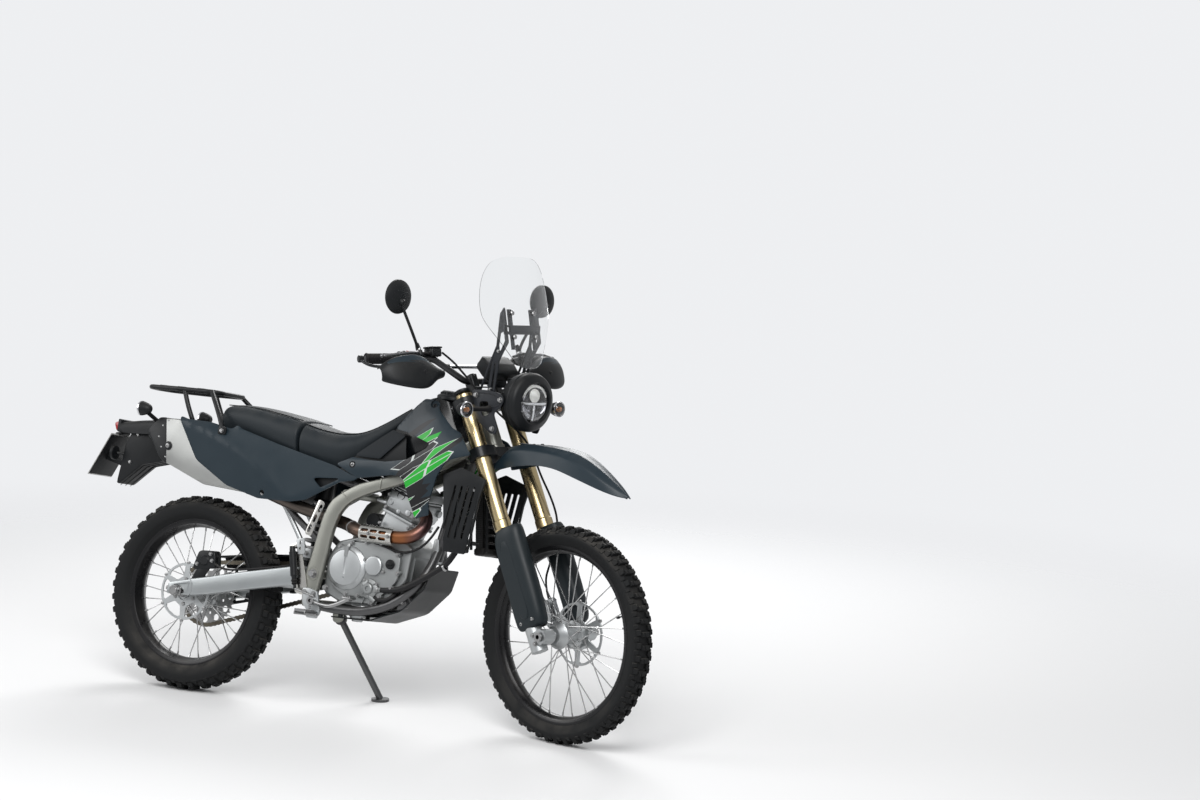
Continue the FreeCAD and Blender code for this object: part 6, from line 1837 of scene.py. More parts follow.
    def mirrors(self) -> None:
        """Round mirrors on bent stalks."""
        foot = self.on_bar(self.grip_length + 68) + STEER_FORWARD * 8 + STEER_UP * 15
        centre = Vector((945, 336, 1391))
        stalk = tube("stalk", [foot, foot + STEER_UP * 34, centre - Vector((-12, 0, 20))], 5.0, 4)
        nut = cylinder("nut", foot, STEER_UP, 10, 10.5, 6)
        boot = spun("boot", [(10, 0), (10, 9), (22, 8), (34, 6.2), (36, 0)], foot, STEER_UP, 20, False)
        soften(nut, 0.8, 1)
        head = spun("head", [
            (-9, 0), (-9, 49), (-8, 53), (-4, 55.5), (2, 54), (8, 45), (13, 30), (17, 14), (18, 0)
        ], centre, AHEAD, 56, False)
        glass = spun("glass", [(-9.6, 0), (-9.6, 48), (-8.8, 48.5), (-8.8, 0)], centre, AHEAD, 56, False)
        ball = spun("ball", [(10, 0), (10, 12), (20, 11), (26, 7), (28, 0)], centre - Vector((0, 0, 10)),
                    Vector((1, 0, -0.4)), 20, False)
        for piece, finish in ((stalk, BLACK_METAL), (nut, STEEL), (boot, RUBBER), (head, BLACK_PLASTIC),
                              (glass, CHROME), (ball, BLACK_PLASTIC)):
            self.paint_in(piece, finish)
        self.assemble("mirrors_round", [stalk, nut, boot, head, glass, ball], Body.STEERING, "mirror_head",
                      ("mirrors",), 40.0, True)


@dataclass
class Engine(Assembly):
    """Engine covers, cylinder, head and the hoses and fittings round them."""

    case_half: float = 90.0
    cover_y: float = 104.0
    lean: float = 20.0
    barrel_foot: Triple = (762.0, 0.0, 586.0)

    def round_cover(self, x: float, z: float, rows: list[Pair], side: int) -> bpy.types.Object:
        """Turned cover on the side of the cases.

        Args:
            x: X of its middle.
            z: Z of its middle.
            rows: Profile as rows of (distance out from the cases, radius).
            side: 1 for the left, -1 for the right.

        Returns:
            The cover.
        """
        return spun("cover", rows, Vector((x, side * self.case_half, z)), LEFT * side, 64, False)

    def rim_bolts(self, spots: list[Pair], side: int, face: float) -> bpy.types.Object:
        """Bolts with round bosses along the edge of a cover."""
        axis = LEFT * side
        first = Vector((spots[0][0], side * (face - 12), spots[0][1]))
        boss = cylinder("boss", first, axis, 14, 9.5, 16, 8.5)
        head = hex_bolt(first + axis * 14, axis, 5.0)
        self.paint_in(boss, ENGINE)
        self.paint_in(head, STEEL)
        step = merged("rim_bolt", [boss, head])
        moves = [translated(x - spots[0][0], 0, z - spots[0][1]) for x, z in spots[1:]]
        return merged("rim_bolts", [step] + [copied(step, move) for move in moves])

    def clutch_side(self) -> list[bpy.types.Object]:
        """Right side: clutch cover, filter cover and water pump on one casting."""
        plate = side_plate("plate", [
            (584, 410, 40), (640, 382, 40), (776, 388, 40), (836, 446, 40), (840, 530, 30), (760, 566, 30),
            (650, 560, 40), (586, 520, 40)
        ], -self.cover_y, -self.case_half, 4.0, 3)
        clutch = self.round_cover(642, 473, [
            (0, 0), (0, 74), (12, 74), (16, 73), (19, 70), (24, 62), (26, 59), (28.5, 57.5), (29.5, 55),
            (29.5, 0)
        ], -1)
        key_slot = block("slot", (7, 12, 78), translated(642, -self.case_half - 33, 490), 2.5, 2)
        dimple = cylinder("dimple", Vector((642, -self.case_half - 34, 440)), LEFT, 8, 3.0, 12)
        carve(clutch, key_slot, dimple)
        rib = cylinder("rib", Vector((642, -self.case_half - 25, 508)), UP, 34, 8.0, 20, 9.5)
        neck = cylinder("neck", Vector((642, -self.case_half - 16, 536)), Vector((0, 0.1, 1)), 14, 11, 20, 8)
        filter_cover = self.round_cover(745, 489, [
            (0, 0), (0, 33), (19, 33), (23, 31.5), (25, 28.5), (25.5, 26), (25.5, 0)
        ], -1)
        ears = side_plate("ears", [(702, 500, 10), (716, 512, 10), (790, 480, 10), (776, 466, 10)],
                          -self.case_half - 16, -self.case_half, 2.0)
        pump = self.round_cover(738, 414, [
            (0, 0), (0, 33), (14, 33), (19, 31), (21, 27), (23, 20), (30, 17), (32, 14), (32, 8), (28, 6),
            (28, 0)
        ], -1)
        spout = cylinder("spout", Vector((746, -self.case_half - 6, 414)), Vector((1, -0.06, 0)), 34, 12.5,
                         24, 11.5)
        second = cylinder("second", Vector((736, -self.case_half - 14, 392)), Vector((0.8, 0, -0.5)), 34, 9,
                          20)
        ribs = []
        for angle in (20, 80, 140, 200, 260, 320):
            place = translated(738, -self.case_half - 21, 414) @ rotation(angle, "Y") @ translated(22, 0, 0)
            web = block("web", (16, 10, 3.4), place, 1.0, 1)
            ribs.append(web)
        self.paint_all(ENGINE, plate, ears, rib, neck, pump, spout, second, *ribs)
        self.paint_all(ALLOY, clutch, filter_cover)
        bolts = self.rim_bolts([
            (594, 440), (588, 492), (608, 538), (652, 556), (706, 562), (764, 562), (828, 534), (836, 474),
            (818, 424), (778, 392), (696, 388), (650, 388)
        ], -1, self.cover_y)
        axis = RIGHT
        small = self.bolts([
            (709, -self.case_half - 16, 506), (783, -self.case_half - 16, 473),
            (718, -self.case_half - 16, 440), (764, -self.case_half - 16, 432)
        ], axis, 5.0)
        filler = spun("filler", [(0, 0), (0, 15), (3, 16), (9, 16), (11, 14), (12, 6), (12, 0)],
                      Vector((806, -self.cover_y + 2, 500)), axis, 24, False)
        bar = block("bar", (24, 7, 6), translated(806, -self.cover_y - 11, 500), 2.0, 2)
        self.paint_all(BLACK_PLASTIC, filler, bar)
        return [plate, clutch, rib, neck, filter_cover, ears, pump, spout, second, *ribs, bolts, small,
                filler, bar]

    def generator_side(self) -> list[bpy.types.Object]:
        """Left side: generator cover with its plugs, and the slotted cover of the drive sprocket."""
        plate = side_plate("plate", [
            (660, 384, 30), (776, 388, 40), (838, 446, 40), (842, 530, 30), (770, 560, 30), (664, 540, 30)
        ], self.case_half, self.case_half + 12, 4.0, 3)
        cover = self.round_cover(765, 460, [
            (0, 0), (0, 72), (14, 72), (18, 70.5), (21, 66), (24, 56), (26, 50), (28, 46), (28, 30),
            (26, 28), (26, 0)
        ], 1)
        plug = self.round_cover(765, 460,
                                [(20, 0), (20, 20), (28, 20), (30, 18), (30, 8), (26, 7), (26, 0)], 1)
        sight = self.round_cover(800, 512, [(10, 0), (10, 12), (16, 12), (17, 10), (15, 8), (15, 0)], 1)
        drive = side_plate("drive", [
            (560, 424, 20), (600, 388, 40), (662, 400, 20), (668, 510, 30), (600, 522, 30), (566, 500, 20)
        ], self.case_half, self.case_half + 6, 2.4, 2)
        cutters = []
        for index in range(4):
            cutters.append(capsule("slot", Vector((592 + index * 18, self.case_half - 4, 458 + index * 3)),
                                   62, 8, 20, 78.0))
        carve(drive, merged("slots", cutters))
        self.paint_all(ENGINE, plate, cover)
        self.paint_all(ALLOY, plug, sight)
        self.paint_in(drive, BLACK_PLASTIC)
        bolts = self.rim_bolts([
            (672, 394), (724, 388), (782, 396), (826, 440), (836, 500), (806, 546), (740, 552), (676, 536)
        ], 1, self.case_half + 12)
        small = self.bolts([
            (578, self.case_half + 6, 430), (655, self.case_half + 6, 414), (584, self.case_half + 6, 506)
        ], LEFT, 5.0)
        return [plate, cover, plug, sight, drive, bolts, small]

    def top_end(self) -> None:
        """Barrel, head and cam cover, leaned forward, with their bolts, plugs and stubs."""
        place = Matrix.Translation(self.barrel_foot) @ rotation(self.lean, "Y")

        def ring(level: float, back: float, front: float, half: float, cut: float) -> list[Vector]:
            """Eight sided section at a level."""
            return [Vector(p) for p in (
                (back + cut, -half, level), (front - cut, -half, level), (front, -half + cut, level),
                (front, half - cut, level), (front - cut, half, level), (back + cut, half, level),
                (back, half - cut, level), (back, -half + cut, level)
            )]
        barrel = loft("barrel", [ring(-4, -60, 60, 58, 10), ring(70, -60, 60, 60, 10)], 0)
        deck = loft("deck", [ring(69, -70, 68, 68, 8), ring(79, -70, 68, 68, 8)], 0)
        head = loft("head", [
            ring(79, -66, 64, 60, 14), ring(92, -76, 72, 70, 18), ring(118, -78, 76, 74, 22),
            ring(149, -74, 72, 70, 18)
        ], 0)
        cover = loft("cover", [
            ring(153, -70, 70, 70, 18), ring(166, -70, 70, 70, 18), ring(186, -64, 62, 64, 22),
            ring(196, -46, 44, 50, 20)
        ], 0)
        seal = loft("seal", [ring(147, -71, 69, 67, 18), ring(154, -71, 69, 67, 18)], 0)
        groove = loft("groove", [ring(159, -80, 80, 80, 20), ring(161.5, -80, 80, 80, 20)], 0)
        core = loft("core", [ring(158, -68, 68, 68.4, 18), ring(162, -68, 68, 68.4, 18)], 0)
        carve(cover, groove)
        for piece, width in ((barrel, 3.0), (deck, 2.0), (head, 3.5), (cover, 4.0)):
            soften(piece, width, 2, 25.0)
            self.paint_in(piece, ALLOY)
        self.paint_all(BLACK_METAL, seal, core)
        parts = [barrel, deck, head, cover, seal, core]
        for side in (-1, 1):
            axis = LEFT * side
            for x, level, radius, reach in ((-42, 108, 11, 76), (34, 104, 13, 77), (-4, 92, 9, 73),
                                            (54, 126, 9, 73)):
                lump = cylinder("lump", Vector((x, side * 50, level)), axis, reach - 50, radius, 16,
                                radius * 0.8, edge=1.6, segments=2)
                parts.append(self.paint_in(lump, ALLOY))
            plug = spun("plug", [(0, 0), (0, 15), (2, 15), (3, 12.5), (1, 11), (1, 0)],
                        Vector((-18, side * 69.5, 142)), axis, 28, False)
            parts.append(self.paint_in(plug, BLACK_METAL))
            parts.append(self.bolts([
                (x, side * 72, level)
                for x, level in ((-60, 128), (58, 104), (-54, 86), (56, 60), (-50, 30))
            ], axis, 4.5))
        parts.append(self.bolts([(x, y, 187) for x, y in ((-50, -50), (48, -50), (-50, 50), (48, 50))], UP,
                                5.0))
        cap = spun("cap", [(0, 0), (0, 15), (8, 15), (10, 11), (30, 9), (32, 6), (32, 0)],
                   Vector((0, 0, 192)), UP, 24, False)
        parts.append(self.paint_in(cap, RUBBER))
        stub = cylinder("stub", Vector((-64, -58, 96)), Vector((-1, -0.15, -0.1)), 34, 8.5, 20, 7, edge=1.2)
        parts.append(self.paint_in(stub, ALLOY))
        intake = spun("intake", [
            (0, 0), (0, 27), (14, 27), (18, 24), (34, 24), (36, 29), (44, 29), (46, 24), (60, 24), (60, 0)
        ], Vector((-72, 0, 122)), Vector((-1, 0, 0.12)), 32, False)
        parts.append(self.paint_in(intake, RUBBER))
        outlet = cylinder("outlet", Vector((60, 40, 128)), Vector((1, 0, 0.1)), 22, 13, 24, 12)
        parts.append(self.paint_in(outlet, ALLOY))
        lead = self.paint_in(tube("lead", [
            (0, 0, 220), (-10, 6, 236), (-50, 20, 236), (-86, 30, 214)
        ], 3.5, 3), HOSE)
        parts.append(lead)
        whole = merged("cylinder_and_head_cast", parts)
        whole.data.transform(place)
        self.finish(whole, Body.ROOT, None, "engine_alloy", ("cylinder_and_head",), 30.0)

    def fittings(self) -> None:
        """Starter motor, thin hoses, clamps of the coolant elbows and webs of the cases."""
        starter = spun("starter", [(0, 0), (0, 24), (4, 27), (60, 27), (64, 24), (70, 10), (70, 0)],
                       Vector((676, -36, 634)), LEFT, 28, False)
        self.paint_in(starter, BLACK_METAL)
        breather = self.paint_in(tube("breather", [
            (700, -84, 560), (724, -100, 566), (780, -110, 556), (836, -106, 540), (884, -92, 552),
            (918, -66, 590), (930, -40, 640)
        ], 4.2, 3), HOSE)
        return_hose = self.paint_in(tube("return_hose", [
            (760, -104, 386), (788, -104, 378), (820, -98, 392), (836, -84, 420), (846, -60, 470),
            (848, -40, 520)
        ], 7.0, 4), HOSE)
        clamps = []
        for spot, axis, radius in (
            ((766, -98, 414), (1, -0.03, 0), 12.6), ((1002, -100, 509), (0.84, 0, 0.54), 11.2),
            ((858, 42, 734), (0.8, 0.1, 0.55), 11.2), ((984, 58, 780), (0.9, 0.17, 0.3), 11.2)
        ):
            clamps.append(spun("clamp",
                               [(0, radius - 1.5), (0, radius + 1.2), (7, radius + 1.2), (7, radius - 1.5)],
                               Vector(spot), Vector(axis), 32))
            tongue = block("tongue", (7, 5, 9), Matrix.Translation(
                Vector(spot) + Vector(axis).normalized() * 3.5 + Vector((0, 0, radius + 2))
            ))
            clamps.append(tongue)
        bands = self.paint_in(merged("clamps", clamps), STEEL)
        webs = []
        for index in range(5):
            web = side_plate("web", [
                (706 + index * 26, 362, 3), (710 + index * 26, 362, 3), (718 + index * 26, 384, 3),
                (714 + index * 26, 384, 3)
            ], -self.case_half - 6, -self.case_half + 2, 0.8, 1)
            webs.append(web)
        drain = self.bolts([(660, -self.case_half - 1, 376)], RIGHT, 9.0)
        ribs = self.paint_in(merged("webs", webs), ENGINE)
        self.assemble("engine_fittings", [starter, breather, return_hose, bands, ribs, drain], Body.ROOT,
                      "hose_black", (), 35.0)

    def build(self) -> None:
        """Make the engine's outer pieces."""
        self.assemble("engine_covers_cast", self.clutch_side() + self.generator_side(), Body.ROOT,
                      "cover_alloy", ("engine_covers",), 30.0)
        self.top_end()
        self.fittings()


@dataclass
class Exhaust(Assembly):
    """Header pipe, its slotted shield and the silencer."""

    pipe_radius: float = 21.0
    inner_y: float = -80.0
    outer_y: float = -136.0

    def header(self) -> None:
        """Pipe from the head, round the right of the barrel and back to the silencer."""
        route = [Vector(p) for p in (
            (846, -40, 690), (892, -60, 678), (914, -94, 636), (890, -122, 598), (846, -128, 588),
            (760, -129, 590), (684, -128, 594), (640, -98, 606), (596, -71, 616), (540, -70, 626),
            (460, -80, 642), (370, -98, 666), (262, -108, 700)
        )]
        pipe = self.paint_in(tube("pipe", route, self.pipe_radius, 7), HEADER)
        start, axis = route[0], (route[1] - route[0]).normalized()
        flange = spun("flange", [(-6, 18), (-6, 30), (0, 32), (6, 30), (8, 23), (8, 18)], start + axis * 6,
                      axis, 40)
        self.paint_in(flange, STEEL)
        rings = []
        for spot, along in (((640, -98, 606), (-0.8, 0.5, 0.2)), ((302, -105, 688), (-0.95, -0.1, 0.3))):
            rings.append(spun("weld", [(-4, 20), (-3, 22.4), (3, 22.4), (4, 20)], Vector(spot),
                              Vector(along), 40))
        clamp = spun("clamp", [(-14, 20), (-14, 24), (14, 24), (14, 20)], Vector((284, -106, 694)),
                     Vector((-0.93, -0.1, 0.33)), 40)
        self.paint_all(STEEL, *rings, clamp)
        nuts = self.bolts([start + Vector((-4, -26, -14)), start + Vector((12, 26, -14))], axis, 7.0)
        self.assemble("exhaust_header_pipe", [pipe, flange, *rings, clamp, nuts], Body.ROOT, "header_metal",
                      ("exhaust_header",), 40.0)

    def shield(self) -> None:
        """Half round shield over the pipe, pierced by two rows of long slots."""
        x_front, x_back, middle = 822.0, 700.0, 590.0
        radius = self.pipe_radius + 7.5
        rows = []
        for step in range(13):
            angle = math.radians(-84 + 168 * step / 12)
            line = []
            for x in (x_back, x_back + 6, (x_back + x_front) / 2, x_front - 6, x_front):
                line.append(Vector((x, -128 - math.cos(angle) * radius,
                                    middle + math.sin(angle) * radius - (x - 760) * 0.03)))
            rows.append(line)
        shell = panel("shell", rows, 1.4, 1, 0.0)
        outward(shell)
        cutters = []
        for index in range(3):
            for lift in (10.5, -10.5):
                spot = Vector((721 + index * 34, -180, middle + lift - (index - 1.0) * 1.1))
                cutters.append(capsule("slot", spot, 18, 10.0, 60, 0.0))
        carve(shell, merged("slots", cutters))
        modify(shell, "BEVEL", width=0.4, segments=1, limit_method="ANGLE", angle_limit=math.radians(60))
        self.paint_in(shell, BRIGHT)
        bolts = self.bolts([(813, -128 - radius, 588), (738, -128 - radius, 591)], RIGHT, 5.0)
        self.assemble("heat_shield_slotted", [shell, bolts], Body.ROOT, "shield_metal", ("heat_shield",),
                      40.0)

    def silencer(self) -> None:
        """Flat sided silencer with rolled edges, a riveted dark tail and a mounting bolt."""
        body = side_plate("body", [
            (262, 676, 16), (60, 690, 60), (-113, 753, 20), (-126, 764, 6), (-170, 866, 10),
            (-146, 898, 20), (-60, 900, 60), (90, 812, 80), (262, 748, 16)
        ], self.outer_y, self.inner_y, 17.0, 5)
        tail = side_plate("tail", [
            (-96, 746, 8), (-113, 752, 20), (-135, 771, 12), (-190, 852, 16), (-147, 899, 20),
            (-118, 901, 8)
        ], self.outer_y - 1, self.inner_y + 1, 16.0, 4)
        seam = side_plate("seam", [(236, 674, 3), (244, 674, 3), (244, 756, 3), (236, 759, 3)],
                          self.outer_y - 0.8, self.inner_y + 0.8, 15.0, 4)
        cone = spun("cone", [(0, 21), (0, 27), (-14, 27), (-30, 33), (-30, 21)], Vector((262, -108, 704)),
                    Vector((0.95, 0, -0.3)), 36)
        outlet = spun("outlet", [(0, 0), (0, 17), (12, 17), (12, 14.5), (2, 14), (2, 0)],
                      Vector((-178, -108, 838)), Vector((-0.9, 0, 0.45)), 32, False)
        strap = side_plate("strap", [(118, 760, 6), (146, 756, 6), (140, 846, 8), (116, 850, 8)],
                           self.inner_y - 2, self.inner_y + 4, 1.2)
        hook = cylinder("hook", Vector((130, -74, 790)), Vector((-0.05, 0.1, 1)), 52, 6, 16)
        self.paint_in(body, SILENCER)
        self.paint_all(SILENCER, seam, cone)
        self.paint_all(BLACK_METAL, tail, outlet, strap, hook)
        boss = spun("boss", [(-6, 0), (-6, 15), (2, 15), (4, 12), (4, 0)], Vector((-98, self.outer_y, 806)),
                    RIGHT, 32, False)
        self.paint_in(boss, BLACK_METAL)
        bolt = self.paint_in(screw(Vector((-98, self.outer_y - 4, 806)), RIGHT, 8.5), STEEL)
        rivets = []
        for x, z in ((-104, 768), (-126, 800), (-140, 834), (-130, 872), (-110, 892)):
            rivets.append(spun("rivet", [(-3, 0), (-3, 3.4), (0, 3.4), (1.4, 2.2), (1.8, 0)],
                               Vector((x, self.outer_y - 1, z)), RIGHT, 12, False))
        studs = self.paint_in(merged("rivets", rivets), STEEL)
        self.assemble("muffler_rolled", [body, tail, seam, cone, outlet, strap, hook, boss, bolt, studs],
                      Body.ROOT, "muffler_metal", ("muffler",), 35.0)

    def build(self) -> None:
        """Make the whole exhaust."""
        self.header()
        self.shield()
        self.silencer()


@dataclass
class Chassis(Assembly):
    """Spars, swingarm, spring, brackets, pedals, coolers and the rear caliper."""

    inner: float = 96.0
    outer: float = 124.0
    arm_inner: float = 92.0
    arm_outer: float = 120.0
    pivot: Pair = (528.0, 440.0)
    head_low: float = 654.0
    head_top: float = 798.0
    stand_pivot: Triple = (508.0, 116.0, 300.0)
    stand_axis: Triple = (-0.192, 0.981, 0.0)

    def spar(self) -> bpy.types.Object:
        """Left spar: a box that bends from the pivot plate up and in to the steering head."""
        # outer edge, inner edge, inner y, outer y
        rows = [
            ((494, 328), (532, 328), 96, 122), ((492, 372), (546, 372), 96, 124),
            ((492, 428), (556, 424), 96, 124), ((506, 486), (564, 482), 96, 124),
            ((517, 540), (571, 536), 96, 124), ((526, 592), (581, 592), 96, 124),
            ((536, 640), (596, 642), 96, 124), ((560, 688), (622, 676), 96, 124),
            ((604, 720), (652, 696), 96, 124), ((655, 750), (684, 712), 96, 124),
            ((742, 775), (742, 735), 95, 123), ((796, 800), (797, 755), 90, 118),
            ((850, 826), (850, 778), 84, 112), ((956, 886), (956, 832), 50, 78),
            ((1040, 958), (1040, 902), 10, 36)
        ]
        sections = []
        for (x0, z0), (x1, z1), y0, y1 in rows:
            a, b = Vector((x0, 0, z0)), Vector((x1, 0, z1))
            across = (b - a).normalized()
            cut = 5.0
            line = [(a, y0 + cut), (a, y1 - cut), (a + across * cut, y1), (b - across * cut, y1),
                    (b, y1 - cut), (b, y0 + cut), (b - across * cut, y0), (a + across * cut, y0)]
            sections.append([Vector((p.x, y, p.z)) for p, y in line])
        body = loft("spar", sections, 0)
        modify(body, "SUBSURF", levels=1, render_levels=1, subdivision_type="SIMPLE")
        modify(body, "SMOOTH", factor=0.5, iterations=3)
        soften(body, 1.2, 1, 32.0)
        return body

    def spars(self) -> None:
        """Both spars with their welds, pivot bolts and cross tubes, and the steering head."""
        spar = self.paint_in(self.spar(), CHAMPAGNE)
        parts = [spar]
        boss = spun("boss", [(-28, 0), (-28, 24), (-2, 24), (1, 22), (1, 15), (-1, 15), (-1, 0)],
                    Vector((self.pivot[0], self.outer, self.pivot[1])), LEFT, 40, False)
        parts.append(self.paint_in(boss, CHAMPAGNE))
        nut = self.paint_in(hex_bolt(Vector((self.pivot[0], self.outer + 1, self.pivot[1])), LEFT, 12.0),
                            STEEL)
        parts.append(nut)
        for (x, z), (x1, z1), y in (((597, 716), (640, 686), 124.3), ((742, 776), (742, 734), 124.0)):
            line = [Vector((x, y - 4, z)), Vector((x + (x1 - x) * 0.1, y, z + (z1 - z) * 0.1)),
                    Vector((x + (x1 - x) * 0.9, y, z + (z1 - z) * 0.9)), Vector((x1, y - 4, z1))]
            parts.append(self.paint_in(tube("weld", line, 1.7, 2), CHAMPAGNE))
        parts.append(self.bolts([(582, 123, 400), (520, 123.5, 356)], LEFT, 8.0))
        half = merged("half", parts)
        both = both_sides("both", half)
        head = cylinder("head", STEER_FOOT + STEER_UP * self.head_low, STEER_UP,
                        self.head_top - self.head_low, 29, 40)
        rings = [spun(
            "ring", [(0, 28), (0, 31), (2, 32.5), (12, 32.5), (14, 31), (14, 28)],
            STEER_FOOT + STEER_UP * level, STEER_UP, 40
        ) for level in (self.head_low, self.head_top - 14)]
        crosses = [cylinder("cross", Vector((x, -self.inner - 4, z)), LEFT, 2 * self.inner + 8, radius, 24)
                   for x, z, radius in ((self.pivot[0], self.pivot[1], 14), (600, 712, 14), (512, 344, 12))]
        gusset = side_plate("gusset", [(990, 842, 10), (1046, 880, 10), (1052, 958, 12), (1010, 930, 20)],
                            -26, 26, 6.0, 2)
        self.paint_all(CHAMPAGNE, head, *rings, *crosses, gusset)
        lug = self.stand_lug()
        self.assemble("frame_spars_welded", [both, head, *rings, *crosses, gusset, lug], Body.ROOT,
                      "frame_champagne", ("frame_spars",), 32.0)

    def stand_lug(self) -> bpy.types.Object:
        """Lug under the left pivot plate, with the bolt that the side stand turns on."""
        spot, axis = Vector(self.stand_pivot), Vector(self.stand_axis)
        lug = side_plate("lug", [(486, 356, 8), (534, 356, 8), (530, 290, 16), (492, 284, 16)], 90, 98, 2.0)
        shoulder = cylinder("shoulder", spot - axis * 22, axis, 16, 12, 28)
        bolt = spun("bolt",
                    [(-22, 0), (-22, 6.9), (6, 6.9), (6.2, 11), (7.5, 12), (13, 12), (14, 11), (14, 0)],
                    spot, axis, 28, False)
        self.paint_in(lug, CHAMPAGNE)
        self.paint_all(STEEL, shoulder, bolt)
        return merged("stand_lug", [lug, shoulder, bolt])

    def cradle_fittings(self) -> None:
        """Gussets, lugs and bolts on the downtube and the cradle."""
        parts = []
        web = side_plate("web", [
            (902, 516, 6), (928, 516, 6), (934, 566, 10), (930, 600, 6), (914, 600, 6), (908, 560, 20)
        ], -30, 30, 3.0)
        parts.append(self.paint_in(web, ALLOY))
        for x, z in ((856, 372), (742, 356)):
            lug = side_plate("lug", [
                (x - 20, z - 18, 6), (x + 20, z - 6, 6), (x + 10, z + 26, 8), (x - 10, z + 26, 8)
            ], 74, 86, 2.0)
            parts.append(self.paint_in(lug, GRAPHITE))
            parts.append(self.paint_in(hex_bolt(Vector((x, 86, z + 12)), LEFT, 7.0), STEEL))
        half = merged("cradle_half", parts[1:])
        self.assemble("cradle_fittings", [parts[0], both_sides("both", half)], Body.ROOT, "frame_graphite",
                      (), 32.0)

    def seat_struts(self) -> None:
        """Bright lower struts from the pivot plates up under the side covers."""
        line = [Vector((457, 62, 500)), Vector((349, 62, 657)), Vector((300, 62, 706))]
        strut = self.paint_in(tube("strut", line, 8.5, 4), ALLOY)
        tab = side_plate("tab", [(440, 488, 8), (476, 488, 8), (474, 520, 8), (446, 520, 8)], 56, 70, 2.0)
        self.paint_in(tab, ALLOY)
        bolt = self.paint_in(hex_bolt(Vector((458, 70, 503)), LEFT, 7.0), STEEL)
        self.assemble("seat_struts", [strut, tab, bolt], Body.ROOT, "cast_alloy", (), 32.0, True)

    def swingarm(self) -> None:
        """Tapered arms with slotted axle blocks, adjusters, a yoke and the chain slider."""
        arm = side_plate("arm", [
            (40, 314, 14), (120, 326, 60), (230, 350, 80), (436, 392, 20), (468, 404, 10), (468, 462, 10),
            (400, 448, 80), (230, 414, 80), (120, 388, 60), (40, 372, 14)
        ], self.arm_inner, self.arm_outer, 7.0, 3)
        tongue = side_plate("tongue", [(440, 396, 10), (548, 418, 24), (548, 462, 24), (440, 458, 10)],
                            self.arm_inner, self.arm_inner + 3.4, 1.0)
        block_piece = side_plate("axle_block", [
            (-42, 314, 8), (52, 316, 10), (60, 330, 10), (60, 362, 10), (50, 370, 10), (-36, 352, 8)
        ], self.arm_inner - 2, self.arm_outer + 1.5, 3.0, 2)
        carve(block_piece, capsule("slot", Vector((0, self.arm_inner - 20, 327)), 44, 15, 80, 2.0),
              capsule("slot", Vector((18, self.arm_outer - 3, 350)), 56, 7, 20, 12.0))
        axle_plate = side_plate("axle_plate", [(-26, 314, 4), (20, 314, 4), (20, 341, 4), (-26, 341, 4)],
                                self.arm_outer + 1, self.arm_outer + 6, 1.4)
        nut = hex_bolt(Vector((0, self.arm_outer + 7, 327)), LEFT, 15.0)
        adjuster = hex_bolt(Vector((-44, (self.arm_inner + self.arm_outer) / 2, 333)),
                            Vector((-1, 0, -0.05)), 6.5)
        band = tube("weld", [
            (44, self.arm_outer - 2, 316), (44, self.arm_outer + 0.6, 326), (44, self.arm_outer + 0.6, 362),
            (44, self.arm_outer - 2, 372)
        ], 2.0, 2)
        self.paint_all(SWINGARM, arm, tongue, block_piece, band)
        self.paint_all(STEEL, axle_plate, nut, adjuster)
        whole = both_sides("both",
                           merged("arm_half", [arm, tongue, block_piece, axle_plate, nut, adjuster, band]))
        yoke = side_plate("yoke",
                          [(366, 380, 10), (446, 392, 10), (466, 436, 14), (430, 448, 14), (366, 430, 14)],
                          -self.arm_inner - 2, self.arm_inner + 2, 5.0, 2)
        self.paint_in(yoke, SWINGARM)
        slider = side_plate("slider", [
            (330, 362, 8), (448, 388, 8), (474, 410, 20), (474, 458, 14), (440, 470, 14), (330, 442, 8),
            (330, 434, 4), (430, 456, 20), (462, 440, 14), (452, 404, 14), (330, 372, 4)
        ], 58, 82, 2.0)
        self.paint_in(slider, BLACK_PLASTIC)
        guide = side_plate("guide", [
            (88, 300, 12), (178, 322, 8), (176, 352, 8), (140, 346, 4), (138, 322, 8), (100, 314, 4),
            (96, 344, 6), (82, 342, 6)
        ], 86, 91.5, 1.2)
        self.paint_in(guide, BLACK_PLASTIC)
        hose = self.paint_in(tube("brake_line", [
            (470, -84, 470), (440, -96, 462), (380, -106, 447), (250, -107, 424), (160, -104, 414),
            (122, -92, 430)
        ], 3.6, 3), HOSE)
        clips = [block("clip", (7, 10, 12), translated(x, -107, z)) for x, z in ((360, 441), (220, 416))]
        for clip in clips:
            soften(clip, 2.0, 2)
            self.paint_in(clip, BLACK_PLASTIC)
        self.assemble("swingarm_tapered", [whole, yoke, slider, guide, hose, *clips], Body.ROOT,
                      "cast_alloy", ("swingarm",), 32.0)

